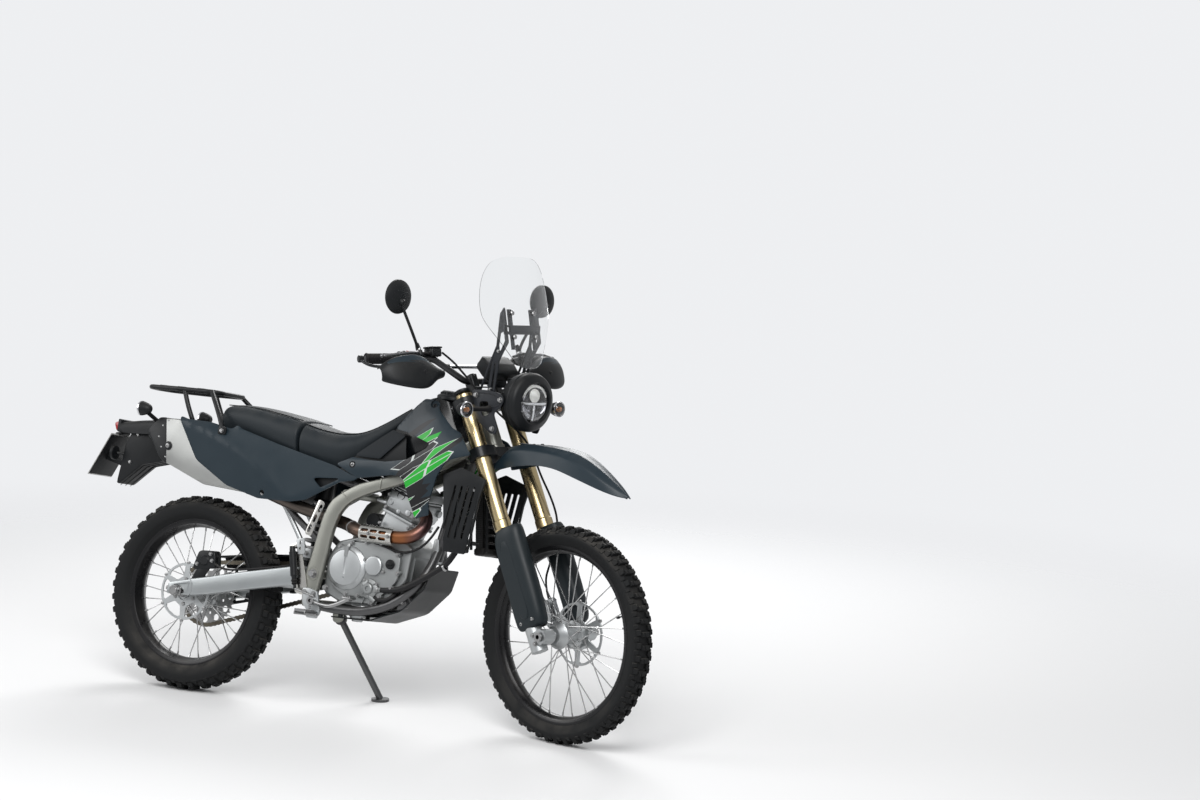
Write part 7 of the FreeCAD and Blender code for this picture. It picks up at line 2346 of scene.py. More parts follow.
    def shock(self) -> None:
        """Damper with its coil spring, collars and reservoir."""
        low, top = Vector((424, 0, 446)), Vector((470, 0, 758))
        axis = (top - low).normalized()
        place = turn_to(axis, low)
        length = (top - low).length
        turns, start, end = 7.5, 40.0, length - 84
        steps = int(turns * 14)
        coil = tube("coil", [place @ Vector((
            math.cos(math.tau * turns * i / steps) * 30, math.sin(math.tau * turns * i / steps) * 30,
            start + (end - start) * i / steps
        )) for i in range(steps + 1)], 5.6, 3)
        self.paint_in(coil, SPRING)
        rod = spun("rod", [
            (0, 0), (0, 14), (24, 14), (30, 35), (36, 35), (38, 8), (length - 150, 8), (length - 148, 22),
            (length - 82, 22), (length - 82, 35), (length - 76, 35), (length - 70, 26), (length - 8, 24),
            (length - 2, 12), (length - 2, 0)
        ], low, axis, 32, False)
        self.paint_in(rod, BLACK_METAL)
        tank = spun("tank", [(0, 0), (0, 20), (4, 22), (96, 22), (102, 16), (102, 0)],
                    Vector((438, 44, 650)), Vector((0.1, 0, 1)), 32, False)
        self.paint_in(tank, BLACK_METAL)
        bridge = cylinder("bridge", Vector((462, 8, 730)), Vector((-0.4, 1, -0.3)), 44, 9, 16)
        self.paint_in(bridge, BLACK_METAL)
        self.assemble("shock_coil", [coil, rod, tank, bridge], Body.ROOT, "spring_paint",
                      ("shock_absorber",), 32.0)

    def bracket(self, side: int) -> bpy.types.Object:
        """Footpeg with its cast bracket; the right one also carries the heel guard.

        Args:
            side: 1 for the left, -1 for the right.

        Returns:
            All the pieces of one side as one.
        """
        bracket = side_plate("bracket", [
            (500, 392, 10), (530, 392, 8), (560, 384, 10), (578, 322, 12), (574, 306, 10), (544, 300, 12),
            (508, 340, 20)
        ], self.outer, self.outer + 12, 3.0, 2)
        carve(bracket, capsule("hole", Vector((536, self.outer - 4, 356)), 16, 14, 30, 70.0))
        collar = block("collar", (34, 24, 26), translated(556, self.outer + 18, 309), 5.0, 3)
        pin = cylinder("pin", Vector((532, self.outer + 20, 309)), AHEAD, 48, 4.5, 12)
        tread = []
        for step in range(6):
            tooth = block("tooth", (44, 5, 9), translated(556, self.outer + 38 + step * 11, 318), 1.2, 1)
            tread.append(tooth)
        for offset in (-20, 20):
            rail = block("rail", (5, 70, 14), translated(556 + offset, self.outer + 62, 310), 2.0, 2)
            tread.append(rail)
        self.paint_all(ALLOY, bracket, collar)
        self.paint_all(STEEL, pin, *tread)
        bolts = self.bolts([(512, self.outer + 12, 378), (548, self.outer + 12, 376)], LEFT, 6.5)
        parts = [bracket, collar, pin, bolts, *tread]
        if side < 0:
            guard = side_plate("guard", [
                (426, 524, 10), (466, 540, 10), (506, 420, 10), (516, 380, 8), (498, 366, 8), (470, 372, 10)
            ], self.outer, self.outer + 4, 1.2)
            cutters = [capsule(
                "hole", Vector((477 - (level - 410) * 0.25, self.outer - 5, level)), 15, 9, 20, 0.0
            ) for level in (510, 482, 454, 426)]
            carve(guard, merged("holes", cutters))
            parts.append(self.paint_in(guard, BRIGHT))
            body = spun("master", [
                (0, 0), (0, 9), (16, 10), (18, 12), (96, 12), (100, 9), (112, 8), (116, 5), (138, 5),
                (138, 0)
            ], Vector((446, self.outer + 16, 520)), Vector((0.22, 0, -1)), 24, False)
            parts.append(self.paint_in(body, BLACK_METAL))
            boot = spun("boot", [(0, 0), (0, 9), (5, 11), (9, 8), (13, 10), (17, 7), (17, 0)],
                        Vector((469, self.outer + 16, 414)), Vector((0.22, 0, -1)), 20, False)
            parts.append(self.paint_in(boot, RUBBER))
            rear_guard = side_plate("rear_guard",
                                    [(478, 566, 10), (504, 560, 8), (544, 676, 12), (518, 684, 8)],
                                    self.outer + 1, self.outer + 4, 1.0)
            slots = [capsule(
                "slot", Vector((495 + step * 16, self.outer - 5, 586 + step * 34)), 17, 11, 20, 70.0
            ) for step in range(3)]
            carve(rear_guard, merged("slots", slots))
            parts.append(self.paint_in(rear_guard, BRIGHT))
            parts.append(self.bolts([(516, self.outer + 4, 600), (532, self.outer + 4, 650)], LEFT, 4.5))
            clevis = side_plate("clevis", [(455, 548, 8), (486, 552, 8), (494, 500, 6), (466, 496, 6)],
                                self.outer + 6, self.outer + 12, 1.6)
            holes = [capsule("eye", Vector((474, self.outer - 5, z)), 5, 8, 30, 80.0) for z in (516, 536)]
            carve(clevis, merged("eyes", holes))
            parts.append(self.paint_in(clevis, ALLOY))
        piece = merged("bracket_side", parts)
        return flipped(piece) if side < 0 else piece

    def pedals(self) -> None:
        """Brake pedal on the right and gear lever on the left, both with ribbed pads."""
        arm = tube("arm", [Vector(p) for p in (
            (548, -144, 352), (600, -150, 338), (650, -156, 348), (698, -158, 374)
        )], 6.2, 4)
        hub = spun("hub", [(0, 6), (0, 13), (22, 13), (22, 6)], Vector((548, -133, 352)), RIGHT, 28)
        pad = block("pad", (34, 38, 6), translated(699, -160, 375), 2.0, 2)
        teeth = []
        for step in range(4):
            tooth = block("tooth", (4, 36, 5), translated(687 + step * 8, -160, 379), 1.0, 1)
            teeth.append(tooth)
        rod = tube("rod", [(556, -142, 366), (520, -141, 374), (478, -140, 384)], 3.4, 3)
        spring = tube("spring", [(
            548 + math.cos(i * 0.9) * 4.5, -150 + math.sin(i * 0.9) * 4.5, 340 - i * 0.9
        ) for i in range(36)], 1.0, 2)
        self.paint_all(STEEL, arm, hub, pad, rod, *teeth, spring)
        lever = tube("lever", [Vector(p) for p in (
            (688, 108, 392), (700, 128, 388), (684, 148, 372), (700, 156, 380), (724, 158, 398)
        )], 5.2, 4)
        shaft = spun("shaft", [(0, 0), (0, 12), (24, 12), (26, 8), (26, 0)], Vector((688, 98, 392)), LEFT,
                     24, False)
        rows = [(0, 0), (0, 8)]
        for index in range(7):
            rows += [(2 + index * 5.2, 9.4), (4.6 + index * 5.2, 9.4), (5.4 + index * 5.2, 8.2)]
        toe = spun("toe", rows + [(40, 8), (40, 0)], Vector((724, 149, 398)), LEFT, 24, False)
        self.paint_all(STEEL, lever, shaft)
        self.paint_in(toe, RUBBER)
        self.assemble("pedals_forged", [arm, hub, pad, rod, spring, *teeth, lever, shaft, toe], Body.ROOT,
                      "cast_alloy", ("pedals",), 32.0)

    def coolers(self) -> None:
        """Radiators with tubes, fins, tanks and slatted guards."""
        lean = math.atan2(-32, 230)
        place = translated(1042, 0, 570) @ Matrix.Rotation(lean, 4, "Y")
        parts = []
        for index in range(9):
            parts.append(self.paint_in(block(
                "row", (26, 3, 212), place @ translated(-4, 56 + index * 11, 116)
            ), RADIATOR))
        for index in range(34):
            parts.append(self.paint_in(block(
                "fin", (20, 90, 0.9), place @ translated(-4, 99, 16 + index * 6)
            ), FIN))
        for level, tall in ((6, 24), (226, 28)):
            tank = block("tank", (40, 100, tall), place @ translated(-2, 98, level), 7.0, 3)
            parts.append(self.paint_in(tank, RADIATOR))
        for index in range(7):
            vane = block("vane", (16, 96, 3),
                         place @ translated(24, 98, 34 + index * 26) @ rotation(32, "Y"), 1.2, 2)
            parts.append(self.paint_in(vane, BLACK_PLASTIC))
        for across in (52, 144):
            rail = block("rail", (10, 4, 216), place @ translated(26, across, 112), 1.6, 2)
            parts.append(self.paint_in(rail, BLACK_PLASTIC))
        cheek = side_plate("cheek", [
            (1020, 563, 6), (1100, 560, 8), (1122, 740, 10), (1140, 806, 8), (1050, 836, 10), (986, 806, 8)
        ], 146, 150, 1.6)
        slots = [capsule("slot", Vector((1024 + index * 23, 140, 692)), 164, 9, 20, 81) for index in range(4)]
        carve(cheek, merged("slots", slots))
        parts.append(self.paint_in(cheek, BLACK_PLASTIC))
        ridge = side_plate("ridge", [
            (1106, 566, 4), (1110, 566, 4), (1130, 738, 8), (1146, 804, 4), (1140, 806, 4), (1124, 740, 8)
        ], 143, 153, 2.0)
        parts.append(self.paint_in(ridge, BLACK_PLASTIC))
        for start, end in (((930, 6, 600), (1030, 60, 600)), ((984, 6, 784), (1010, 60, 784))):
            run = Vector(end) - Vector(start)
            parts.append(self.paint_in(cylinder("arm", Vector(start), run, run.length, 7, 16), BLACK_METAL))
        neck = spun("neck", [(0, 0), (0, 17), (8, 17), (9, 20), (18, 20), (20, 16), (20, 0)],
                    Vector((1004, 84, 802)), Vector((0.1, 0, 1)), 24, False)
        parts.append(self.paint_in(neck, STEEL))
        self.assemble("radiators_finned", parts, Body.ROOT, "radiator_black", ("radiators",), 32.0, True)

    def rear_brake(self) -> None:
        """Rear caliper with its carrier and pins."""
        y_out, y_in = -94.0, -50.0
        outer = side_plate("outer", [(30, 404, 10), (124, 416, 10), (116, 474, 18), (50, 470, 18)], y_out,
                           -76, 5.0, 3)
        inner = side_plate("inner", [(34, 408, 10), (120, 418, 10), (114, 470, 18), (52, 466, 18)], -64,
                           y_in, 5.0, 3)
        bridge = side_plate("bridge", [(42, 452, 6), (116, 458, 6), (116, 474, 8), (50, 471, 8)], -80, -60,
                            2.0)
        lug = side_plate("lug", [(20, 350, 8), (60, 352, 8), (104, 420, 8), (60, 430, 8)], -92, -84, 2.4)
        boss = spun("boss", [(0, 0), (0, 19), (8, 18), (12, 14), (12, 0)], Vector((78, y_out + 8, 438)),
                    RIGHT, 32, False)
        self.paint_all(BLACK_METAL, outer, inner, bridge, lug, boss)
        pins = self.bolts([(50, y_out, 424), (108, y_out, 440), (100, y_out, 462)], RIGHT, 5.5)
        self.assemble("rear_caliper_bolted", [outer, inner, bridge, lug, boss, pins], Body.ROOT,
                      "cast_alloy", ("rear_caliper",), 32.0)

    def build(self) -> None:
        """Make the frame's visible pieces and what hangs on them."""
        self.spars()
        self.cradle_fittings()
        self.seat_struts()
        self.swingarm()
        self.shock()
        self.assemble("footpegs_cast", [self.bracket(1), self.bracket(-1)], Body.ROOT, "cast_alloy",
                      ("footpegs",), 32.0)
        self.pedals()
        self.coolers()
        self.rear_brake()


@dataclass
class Tail(Assembly):
    """Rear mudguard, blank plate, lamps and rack fittings."""

    rack_level: float = 1003.0

    def fender(self) -> None:
        """Channel over the rear tyre with a rolled edge, and the flap under it."""
        table = [(60, 76, 820, 868), (-60, 74, 840, 886), (-160, 70, 846, 892), (-270, 62, 836, 886),
                 (-372, 50, 838, 870)]
        rows = []
        for x, half, low, crown in table:
            line = [Vector((x, half, low)), Vector((x, half, low + 6)), Vector((x, half, crown - 13)),
                    Vector((x, half - 6, crown - 3)), Vector((x, half - 20, crown)),
                    Vector((x, 0, crown + 1))]
            rows.append(symmetric(line))
        shell = panel("channel", rows, 3.6, 2, 1.2)
        if sum(
            polygon.normal.z * polygon.area for polygon in shell.data.polygons if polygon.center.z > 870
        ) < 0:
            shell.data.flip_normals()
        flap = side_plate("flap", [
            (-150, 760, 20), (-262, 734, 30), (-358, 652, 10), (-338, 800, 20), (-302, 880, 4),
            (-160, 884, 4)
        ], -46, 46, 6.0, 3)
        ribs = []
        for across in (-28, 0, 28):
            ribs.append(side_plate("rib", [
                (-176, 752, 4), (-262, 731, 30), (-352, 656, 6), (-344, 664, 4), (-262, 742, 30),
                (-176, 762, 4)
            ], across - 2, across + 2, 1.0, 1))
        self.paint_all(BLACK_PLASTIC, shell, flap, *ribs)
        bolts = self.bolts([(-196, -46, 850), (-290, -46, 836), (-310, -46, 740)], RIGHT, 4.5)
        self.assemble("rear_fender_ribbed", [shell, flap, *ribs, bolts], Body.ROOT, "black_plastic",
                      ("rear_fender",), 32.0)

    def tail_pieces(self) -> None:
        """Blank plate on its arm, red tail lamp, plate lamp and round red reflector."""
        low, high = Vector((-464, 0, 683)), Vector((-386, 0, 831))
        rise = (high - low).normalized()
        back = Vector((-rise.z, 0, rise.x))
        place = facing((low + high) / 2, LEFT, rise, back)
        sheet = block("sheet", (139, (high - low).length, 1.6), place, 0.5, 1)
        frame_piece = block("frame", (132, (high - low).length - 10, 3.0), place @ translated(0, 0, -2.4),
                            1.2, 2)
        emboss = block("emboss", (128, (high - low).length - 14, 0.8), place @ translated(0, 0, 0.9))
        self.paint_all(PLATE, sheet, emboss)
        self.paint_in(frame_piece, BLACK_PLASTIC)
        bolts = self.bolts([place @ Vector((side * 40, 52, 1.6)) for side in (-1, 1)], back, 4.5)
        arm = side_plate("arm", [(-432, 742, 2), (-346, 720, 4), (-343, 740, 4), (-424, 758, 2)], -24, 24,
                         2.0)
        hood = side_plate("hood", [(-404, 836, 6), (-374, 842, 4), (-374, 832, 4), (-398, 824, 6)], -26, 26,
                          3.0, 2)
        self.paint_all(BLACK_PLASTIC, arm, hood)
        lens = side_plate("lens", [(-399, 869, 8), (-376, 878, 4), (-376, 846, 4), (-388, 842, 8)], -42, 42,
                          3.6, 3)
        ribs = []
        for index in range(7):
            ribs.append(block("rib", (3, 1.6, 26),
                              translated(-393, -30 + index * 10, 858) @ rotation(-18, "Y")))
        self.paint_all(RED, lens, *ribs)
        bezel = side_plate("bezel", [(-380, 884, 4), (-366, 882, 4), (-366, 838, 4), (-382, 840, 4)], -47,
                           47, 3.0, 2)
        self.paint_in(bezel, BLACK_PLASTIC)
        eye = spun("eye", [(-2, 0), (-2, 21.5), (2, 21.5), (3.4, 18), (4.4, 0)], Vector((-370, -60, 766)),
                   BEHIND, 40, False)
        self.paint_in(eye, RED)
        rim = spun("rim", [(-6, 0), (-6, 23), (-4, 24), (3, 24), (3.6, 22), (2, 21.4), (-2, 21.4), (-2, 0)],
                   Vector((-370, -60, 766)), BEHIND, 40, False)
        self.paint_in(rim, BLACK_PLASTIC)
        run = Vector((-341, -35, 766)) - Vector((-366, -50, 766))
        stalk = self.paint_in(cylinder("stalk", Vector((-366, -50, 766)), run, run.length, 5, 12),
                              BLACK_METAL)
        self.assemble("tail_pieces_lit",
                      [sheet, emboss, frame_piece, bolts, arm, hood, lens, *ribs, bezel, eye, rim, stalk],
                      Body.ROOT, "tail_mixed", ("tail_pieces",), 32.0)

    def rack(self) -> None:
        """Slotted deck plates, feet and bolts of the rack."""
        parts = []
        for x, half in ((-30, 88), (-110, 89), (-190, 78)):
            deck = block("deck", (30, 2 * half, 4), translated(x, 0, self.rack_level + 7.2), 1.2, 2)
            cutters = []
            for side in (-1, 0, 1):
                hole = block("hole", (9, half * 0.42, 20),
                             translated(x, side * half * 0.58, self.rack_level + 7), 4.2, 3, 30.0)
                cutters.append(hole)
            carve(deck, merged("holes", cutters))
            parts.append(self.paint_in(deck, BLACK_METAL))
        for side in (1, -1):
            foot = side_plate("foot", [(104, 862, 6), (136, 862, 6), (136, 888, 10), (106, 890, 10)],
                              side * 146, side * 153, 1.4)
            parts.append(self.paint_in(foot, BLACK_METAL))
            parts.append(self.paint_in(hex_bolt(Vector((121, side * 154, 874)), LEFT * side, 6.0), STEEL))
        self.assemble("rack_deck", parts, Body.ROOT, "black_plastic", (), 32.0)

    def indicators(self) -> None:
        """Rear indicators with a clear lens in a bright rim, on rubber stems."""
        spot, axis = Vector((-190, 180, 921)), BEHIND
        half = indicator(self, spot, axis, 25.0)
        run = Vector((-188, 158, 912)) - Vector((-176, 72, 874))
        stem = spun("stem", [
            (0, 0), (0, 11), (12, 10), (18, 7.4), (run.length - 8, 7), (run.length, 9), (run.length, 0)
        ], Vector((-176, 72, 874)), run, 20, False)
        self.paint_in(stem, RUBBER)
        self.assemble("rear_indicators_stalked", [half, stem], Body.ROOT, "lamp_smoked",
                      ("rear_indicators",), 32.0, True)
        lens = both_sides("rear_indicator_lenses", indicator_lens(spot, axis, 25.0))
        self.finish(lens, Body.ROOT, CLEAR, "lamp_glass", (), 40.0)

    def build(self) -> None:
        """Make the tail."""
        self.fender()
        self.tail_pieces()
        self.rack()
        self.indicators()


@dataclass
class Cockpit(BarMounted):
    """Handlebar, controls, dash, lamp brackets, clamps' bolts, indicators, caliper and brake hose."""

    bar_radius: float = 11.1
    fork_spacing: float = 98.0
    fork_offset: float = 24.0
    disc_y: float = 60.0
    caliper_along: float = 108.0

    def handlebar(self) -> None:
        """Braced bar with its bends, bright brace and brace clamps."""
        end, shoulder, corner = self.end(), self.shoulder(), self.corner()
        half = [end]
        for spot, before, after, reach in ((shoulder, end, corner, 44.0),
                                           (corner, shoulder, steered(self.bar_level, 30, 0), 34.0)):
            half += [spot + (before - spot).normalized() * reach, spot,
                     spot + (after - spot).normalized() * reach]
        path = half + [Vector((p.x, -p.y, p.z)) for p in reversed(half)]
        bar = self.paint_in(tube("bar", path, self.bar_radius, 6), BAR)
        share = (150 - corner.y) / (shoulder.y - corner.y)
        tip = corner + (shoulder - corner) * share
        brace = cylinder("brace", tip, RIGHT, 2 * tip.y, 6.5, 24)
        self.paint_in(brace, CHROME)
        ends = []
        for side in (1, -1):
            spot = Vector((tip.x, side * tip.y, tip.z))
            lug = spun("lug", [(-9, 6), (-9, 9.5), (-7, 11), (9, 11), (11, 9), (11, 6)],
                       spot - Vector((0, side * 9, 0)), LEFT * side, 24)
            ends.append(self.paint_in(lug, BLACK_METAL))
        self.assemble("handlebar_braced", [bar, brace, *ends], Body.STEERING, "black_alloy", ("handlebar",),
                      40.0)

    def perch_spot(self, distance: float = 18.0) -> Vector:
        """Point ahead of the bar at the lever's perch."""
        return self.on_bar(self.grip_length + 40) + STEER_FORWARD * distance

    def control(self, side: int) -> bpy.types.Object:
        """Switch housing, perch and lever of the left, or with a reservoir for the right.

        Args:
            side: 1 for the left, -1 for the right.

        Returns:
            All the pieces of one side as one.
        """
        direction = (self.shoulder() - self.end()).normalized()
        place = turn_to(direction, self.on_bar(self.grip_length + 1))
        housing = spun("housing", [
            (0, 11.2), (0, 20), (2, 22), (5, 23), (25, 23), (27, 21), (27.6, 18.5), (28.4, 18.5), (29, 20),
            (48, 20), (50, 17), (50, 11.2)
        ], self.on_bar(self.grip_length + 1), direction, 36)
        face = block("face", (26, 16, 34), place @ translated(0, 14, 24), 4.0, 3)
        parts = [self.paint_in(housing, BLACK_PLASTIC), self.paint_in(face, BLACK_PLASTIC)]
        for along, high, finish in ((14, 24.0, RUBBER), (26, 24.5, RED if side < 0 else RUBBER),
                                    (36, 23.0, RUBBER)):
            key = block("key", (11, 6, 7), place @ translated(0, high - 2, along), 1.6, 2)
            parts.append(self.paint_in(key, finish))
        clamp = spun("clamp", [(-12, 11.2), (-12, 18), (-10, 20), (10, 20), (12, 18), (12, 11.2)],
                     self.on_bar(self.grip_length + 64), direction, 32)
        neck = cylinder("neck", self.perch_spot(6), STEER_FORWARD, 42, 11, 24, 9, edge=2.0)
        pivot = cylinder("pivot", self.perch_spot(46) - STEER_UP * 9, STEER_UP, 18, 8, 20, edge=1.5)
        for piece in (clamp, neck, pivot):
            parts.append(self.paint_in(piece, BLACK_METAL))
        parts.append(self.paint_in(hex_bolt(self.perch_spot(46) + STEER_UP * 9, STEER_UP, 5.0), STEEL))
        tip = self.on_bar(10) + STEER_FORWARD * 62 - STEER_UP * 16
        start = self.perch_spot(46)
        bend = start + Vector((0, 40, 0)) + STEER_FORWARD * 4
        sections = []
        run = [start - STEER_FORWARD * 2, start + Vector((0, 20, 0)), bend, bend.lerp(tip, 0.35),
               bend.lerp(tip, 0.75), tip]
        for index, spot in enumerate(run):
            ahead = run[min(index + 1, len(run) - 1)] - run[max(index - 1, 0)]
            across = ahead.cross(STEER_UP).normalized()
            wide = (9.0, 7.0, 5.5, 5.0, 4.6, 4.2)[index]
            sections.append([spot + across * (wide * math.cos(a)) + STEER_UP * (5.4 * math.sin(a))
                             for a in [math.tau * i / 8 for i in range(8)]])
        lever = loft("lever", sections, 1)
        outward(lever)
        ball = spun("ball", [(-6.5, 0), (-5.6, 3.6), (-3, 6), (0, 6.8), (3, 6), (5.6, 3.6), (6.5, 0)], tip,
                    LEFT, 20, False)
        for piece in (lever, ball):
            parts.append(self.paint_in(piece, LEVER))
        cable = tube("cable", [
            self.perch_spot(40) - Vector((0, 10, 0)), self.perch_spot(44) - Vector((0, 40, -4)),
            self.perch_spot(40) - Vector((0, 84, 6))
        ], 4.2 if side > 0 else 5.0, 3)
        parts.append(self.paint_in(cable, RUBBER))
        if side < 0:
            foot = self.perch_spot(30) + STEER_UP * 2
            spin = Matrix.Translation(foot) @ rotation(-8, "Y")
            cup = block("cup", (40, 44, 28), spin @ translated(2, -70, 6), 5.0, 3)
            lid = block("lid", (43, 47, 6), spin @ translated(2, -70, 22), 2.2, 2)
            eye = cylinder("eye", spin @ Vector((-18, -70, 6)), spin.to_3x3() @ BEHIND, 3, 7, 24)
            link = block("link", (22, 44, 18), spin @ translated(-6, -32, -2), 4.0, 3)
            parts.append(self.paint_in(link, BLACK_METAL))
            parts += [self.paint_in(cup, BLACK_METAL), self.paint_in(lid, BLACK_METAL),
                      self.paint_in(eye, CHROME)]
            for dx, dy in ((-13, -54), (17, -86)):
                parts.append(self.paint_in(screw(spin @ Vector((dx, dy, 25.4)), spin.to_3x3() @ UP, 3.6),
                                           STEEL))
        piece = merged("control", parts)
        return flipped(piece) if side < 0 else piece

    def controls(self) -> None:
        """Levers, perches and switches of both sides."""
        self.assemble("hand_controls_levers", [self.control(1), self.control(-1)], Body.STEERING,
                      "black_alloy", ("hand_controls",), 32.0)

    def screen_x(self, z: float) -> float:
        """X of the screen's middle line at a height."""
        return 1216 + (z - 1180) / 356 * (1138 - 1216)

    def brackets(self) -> None:
        """Lamp cheeks, slender screen stays and the cross plate with its tabs and screws."""
        cheek = side_plate("cheek", [
            (1060, 1104, 14), (1120, 1106, 20), (1186, 1100, 26), (1206, 1080, 18), (1190, 1054, 16),
            (1161, 1033, 14), (1181, 984, 10), (1172, 966, 10), (1150, 968, 10), (1096, 1002, 12),
            (1062, 1040, 14)
        ], 97, 101, 1.2)
        window = side_plate("window",
                            [(1092, 1068, 12), (1136, 1070, 10), (1140, 1026, 12), (1112, 1018, 16)], 90,
                            110)
        carve(cheek, window)
        ridge = tube("ridge", [
            (1066, 101, 1094), (1130, 101, 1098), (1184, 101, 1090), (1196, 101, 1078), (1184, 101, 1060),
            (1150, 101, 1052), (1110, 101, 1050)
        ], 2.2, 2)
        stay = side_plate("stay", [
            (1104, 1090, 4), (1136, 1090, 4), (1150, 1200, 20), (self.screen_x(1262) - 11, 1262, 6),
            (self.screen_x(1276) - 11, 1276, 4), (self.screen_x(1366) - 11, 1366, 6),
            (self.screen_x(1374) - 13, 1374, 4), (self.screen_x(1360) - 32, 1352, 6), (1136, 1250, 20),
            (1118, 1180, 20)
        ], 72.6, 76.4, 0.8, 1)
        opening = side_plate("opening", [
            (1152, 1226, 4), (1172, 1266, 4), (1166, 1296, 6), (1150, 1290, 6), (1146, 1250, 6)
        ], 60, 90)
        slit = side_plate("slit", [(1118, 1104, 3), (1128, 1104, 3), (1138, 1196, 4), (1130, 1190, 4)], 60,
                          90)
        carve(stay, opening, slit)
        brace = tube("brace", [(1070, 74, 1096), (1096, 74.5, 1160), (1138, 74.5, 1246)], 4.0, 3)
        foot = block("foot", (38, 28, 4), translated(1120, 86, 1092), 1.2, 1)
        self.paint_all(BRACKET, cheek, ridge, stay, brace, foot)
        axis = LEFT
        bolts = self.bolts([(1190, 101.5, 1078), (1082, 101.5, 1088), (1160, 101.5, 984)], axis, 7.0)
        small = self.bolts([(1120, 77, 1108), (1148, 77, 1232)], axis, 4.5)
        half = both_sides("bracket_sides",
                          merged("bracket_half", [cheek, ridge, stay, brace, foot, bolts, small]))
        x_bar = self.screen_x(1300) - 17
        bar = block("bar", (4, 166, 30), translated(x_bar, 0, 1302), 1.4, 2)
        hole = block("hole", (30, 24, 13), translated(x_bar, -66, 1303))
        hole_left = block("hole", (30, 24, 13), translated(x_bar, 66, 1303))
        carve(bar, hole, hole_left)
        parts = [half, self.paint_in(bar, BRACKET)]
        for across in (-50, 50):
            tab = block("tab", (4, 20, 84),
                        translated(self.screen_x(1330) - 16.5, across, 1326) @ rotation(-12.3, "Y"), 1.4, 2)
            low_tab = block("tab", (4, 16, 56),
                            translated(self.screen_x(1264) - 17, across, 1266) @ rotation(-12.3, "Y"), 1.4,
                            2)
            parts += [self.paint_in(tab, BRACKET), self.paint_in(low_tab, BRACKET)]
            for z in (1356, 1280):
                forward = Vector((0.97, 0, 0.22))
                base = Vector((self.screen_x(z) - 4.0, across, z))
                spacer = cylinder("spacer", base - forward * 12, forward, 11, 7.5, 20)
                parts.append(self.paint_in(spacer, RUBBER))
                head = spun("head", [(0, 0), (0, 8), (2, 8), (4.4, 5.4), (5, 0)], base + forward * 1.0,
                            forward, 24, False)
                parts.append(self.paint_in(head, STEEL))
        self.assemble("front_bracket_stays", parts, Body.STEERING, "black_plastic", ("front_bracket",), 32.0)

    def dash(self) -> None:
        """Dash box with its hood, dark display, scale marks, tell-tales and buttons."""
        box = side_plate("box", [
            (1030, 1176, 10), (1062, 1146, 10), (1090, 1130, 10), (1116, 1160, 12), (1092, 1188, 20),
            (1058, 1212, 12)
        ], -62, 62, 8.0, 3)
        self.paint_in(box, BLACK_PLASTIC)
        low, high = Vector((1030, 0, 1176)), Vector((1058, 0, 1212))
        rise = (high - low).normalized()
        back = Vector((-rise.z, 0, rise.x))
        place = facing((low + high) / 2 + back * 0.4, LEFT, rise, back)
        bezel = block("bezel", (108, 38, 5), place, 2.2, 2)
        self.paint_in(bezel, BLACK_METAL)
        glass = block("glass", (96, 27, 3), place @ translated(0, 1, 1.8), 1.0, 2)
        self.paint_in(glass, DISPLAY)
        marks = []
        for index in range(17):
            tall = 5.0 if index % 4 == 0 else 3.0
            marks.append(block("mark", (0.9, tall, 0.6),
                               place @ translated(-36 + index * 4.5, 9 - (index - 8) ** 2 * 0.05, 3.4)))
        for index, wide in enumerate((20, 9, 9, 9)):
            marks.append(block("mark", (wide, 1.1, 0.6), place @ translated(-24 + index * 15, -5, 3.4)))
        for piece in marks:
            self.paint_in(piece, CHALK_MARK)
        keys = []
        for side in (-1, 1):
            key = cylinder("key", place @ Vector((side * 46, -13, 2)), back, 4, 4.2, 16, edge=0.8)
            keys.append(self.paint_in(key, RUBBER))
        shelf = block("shelf", (22, 202, 4), translated(1081, 0, 1112.4), 1.0, 1)
        post = block("post", (18, 60, 30), translated(1081, 0, 1128), 3.0, 2)
        loom = tube("loom", [(1100, 20, 1140), (1118, 22, 1120), (1128, 22, 1096), (1140, 16, 1078)], 5.0, 3)
        self.paint_all(BLACK_PLASTIC, shelf, post, loom)
        self.assemble("instrument_panel_dash", [box, bezel, glass, *marks, *keys, shelf, post, loom],
                      Body.STEERING, "black_plastic", ("instrument_panel",), 32.0)

    def indicators(self) -> None:
        """Front indicators with a clear lens in a bright rim, on rubber stems."""
        spot, axis = Vector((1150, 216, 1045)), AHEAD
        half = indicator(self, spot, axis, 26.0)
        stem = spun("stem", [(0, 0), (0, 12), (10, 11), (16, 7.5), (90, 7.2), (98, 10), (98, 0)],
                    Vector((1143, 101.2, 1046)), LEFT, 20, False)
        self.paint_in(stem, RUBBER)
        self.assemble("front_indicators_stalked", [half, stem], Body.STEERING, "lamp_smoked",
                      ("front_indicators",), 32.0, True)
        lens = both_sides("front_indicator_lenses", indicator_lens(spot, axis, 26.0))
        self.finish(lens, Body.STEERING, CLEAR, "lamp_glass", (), 40.0)

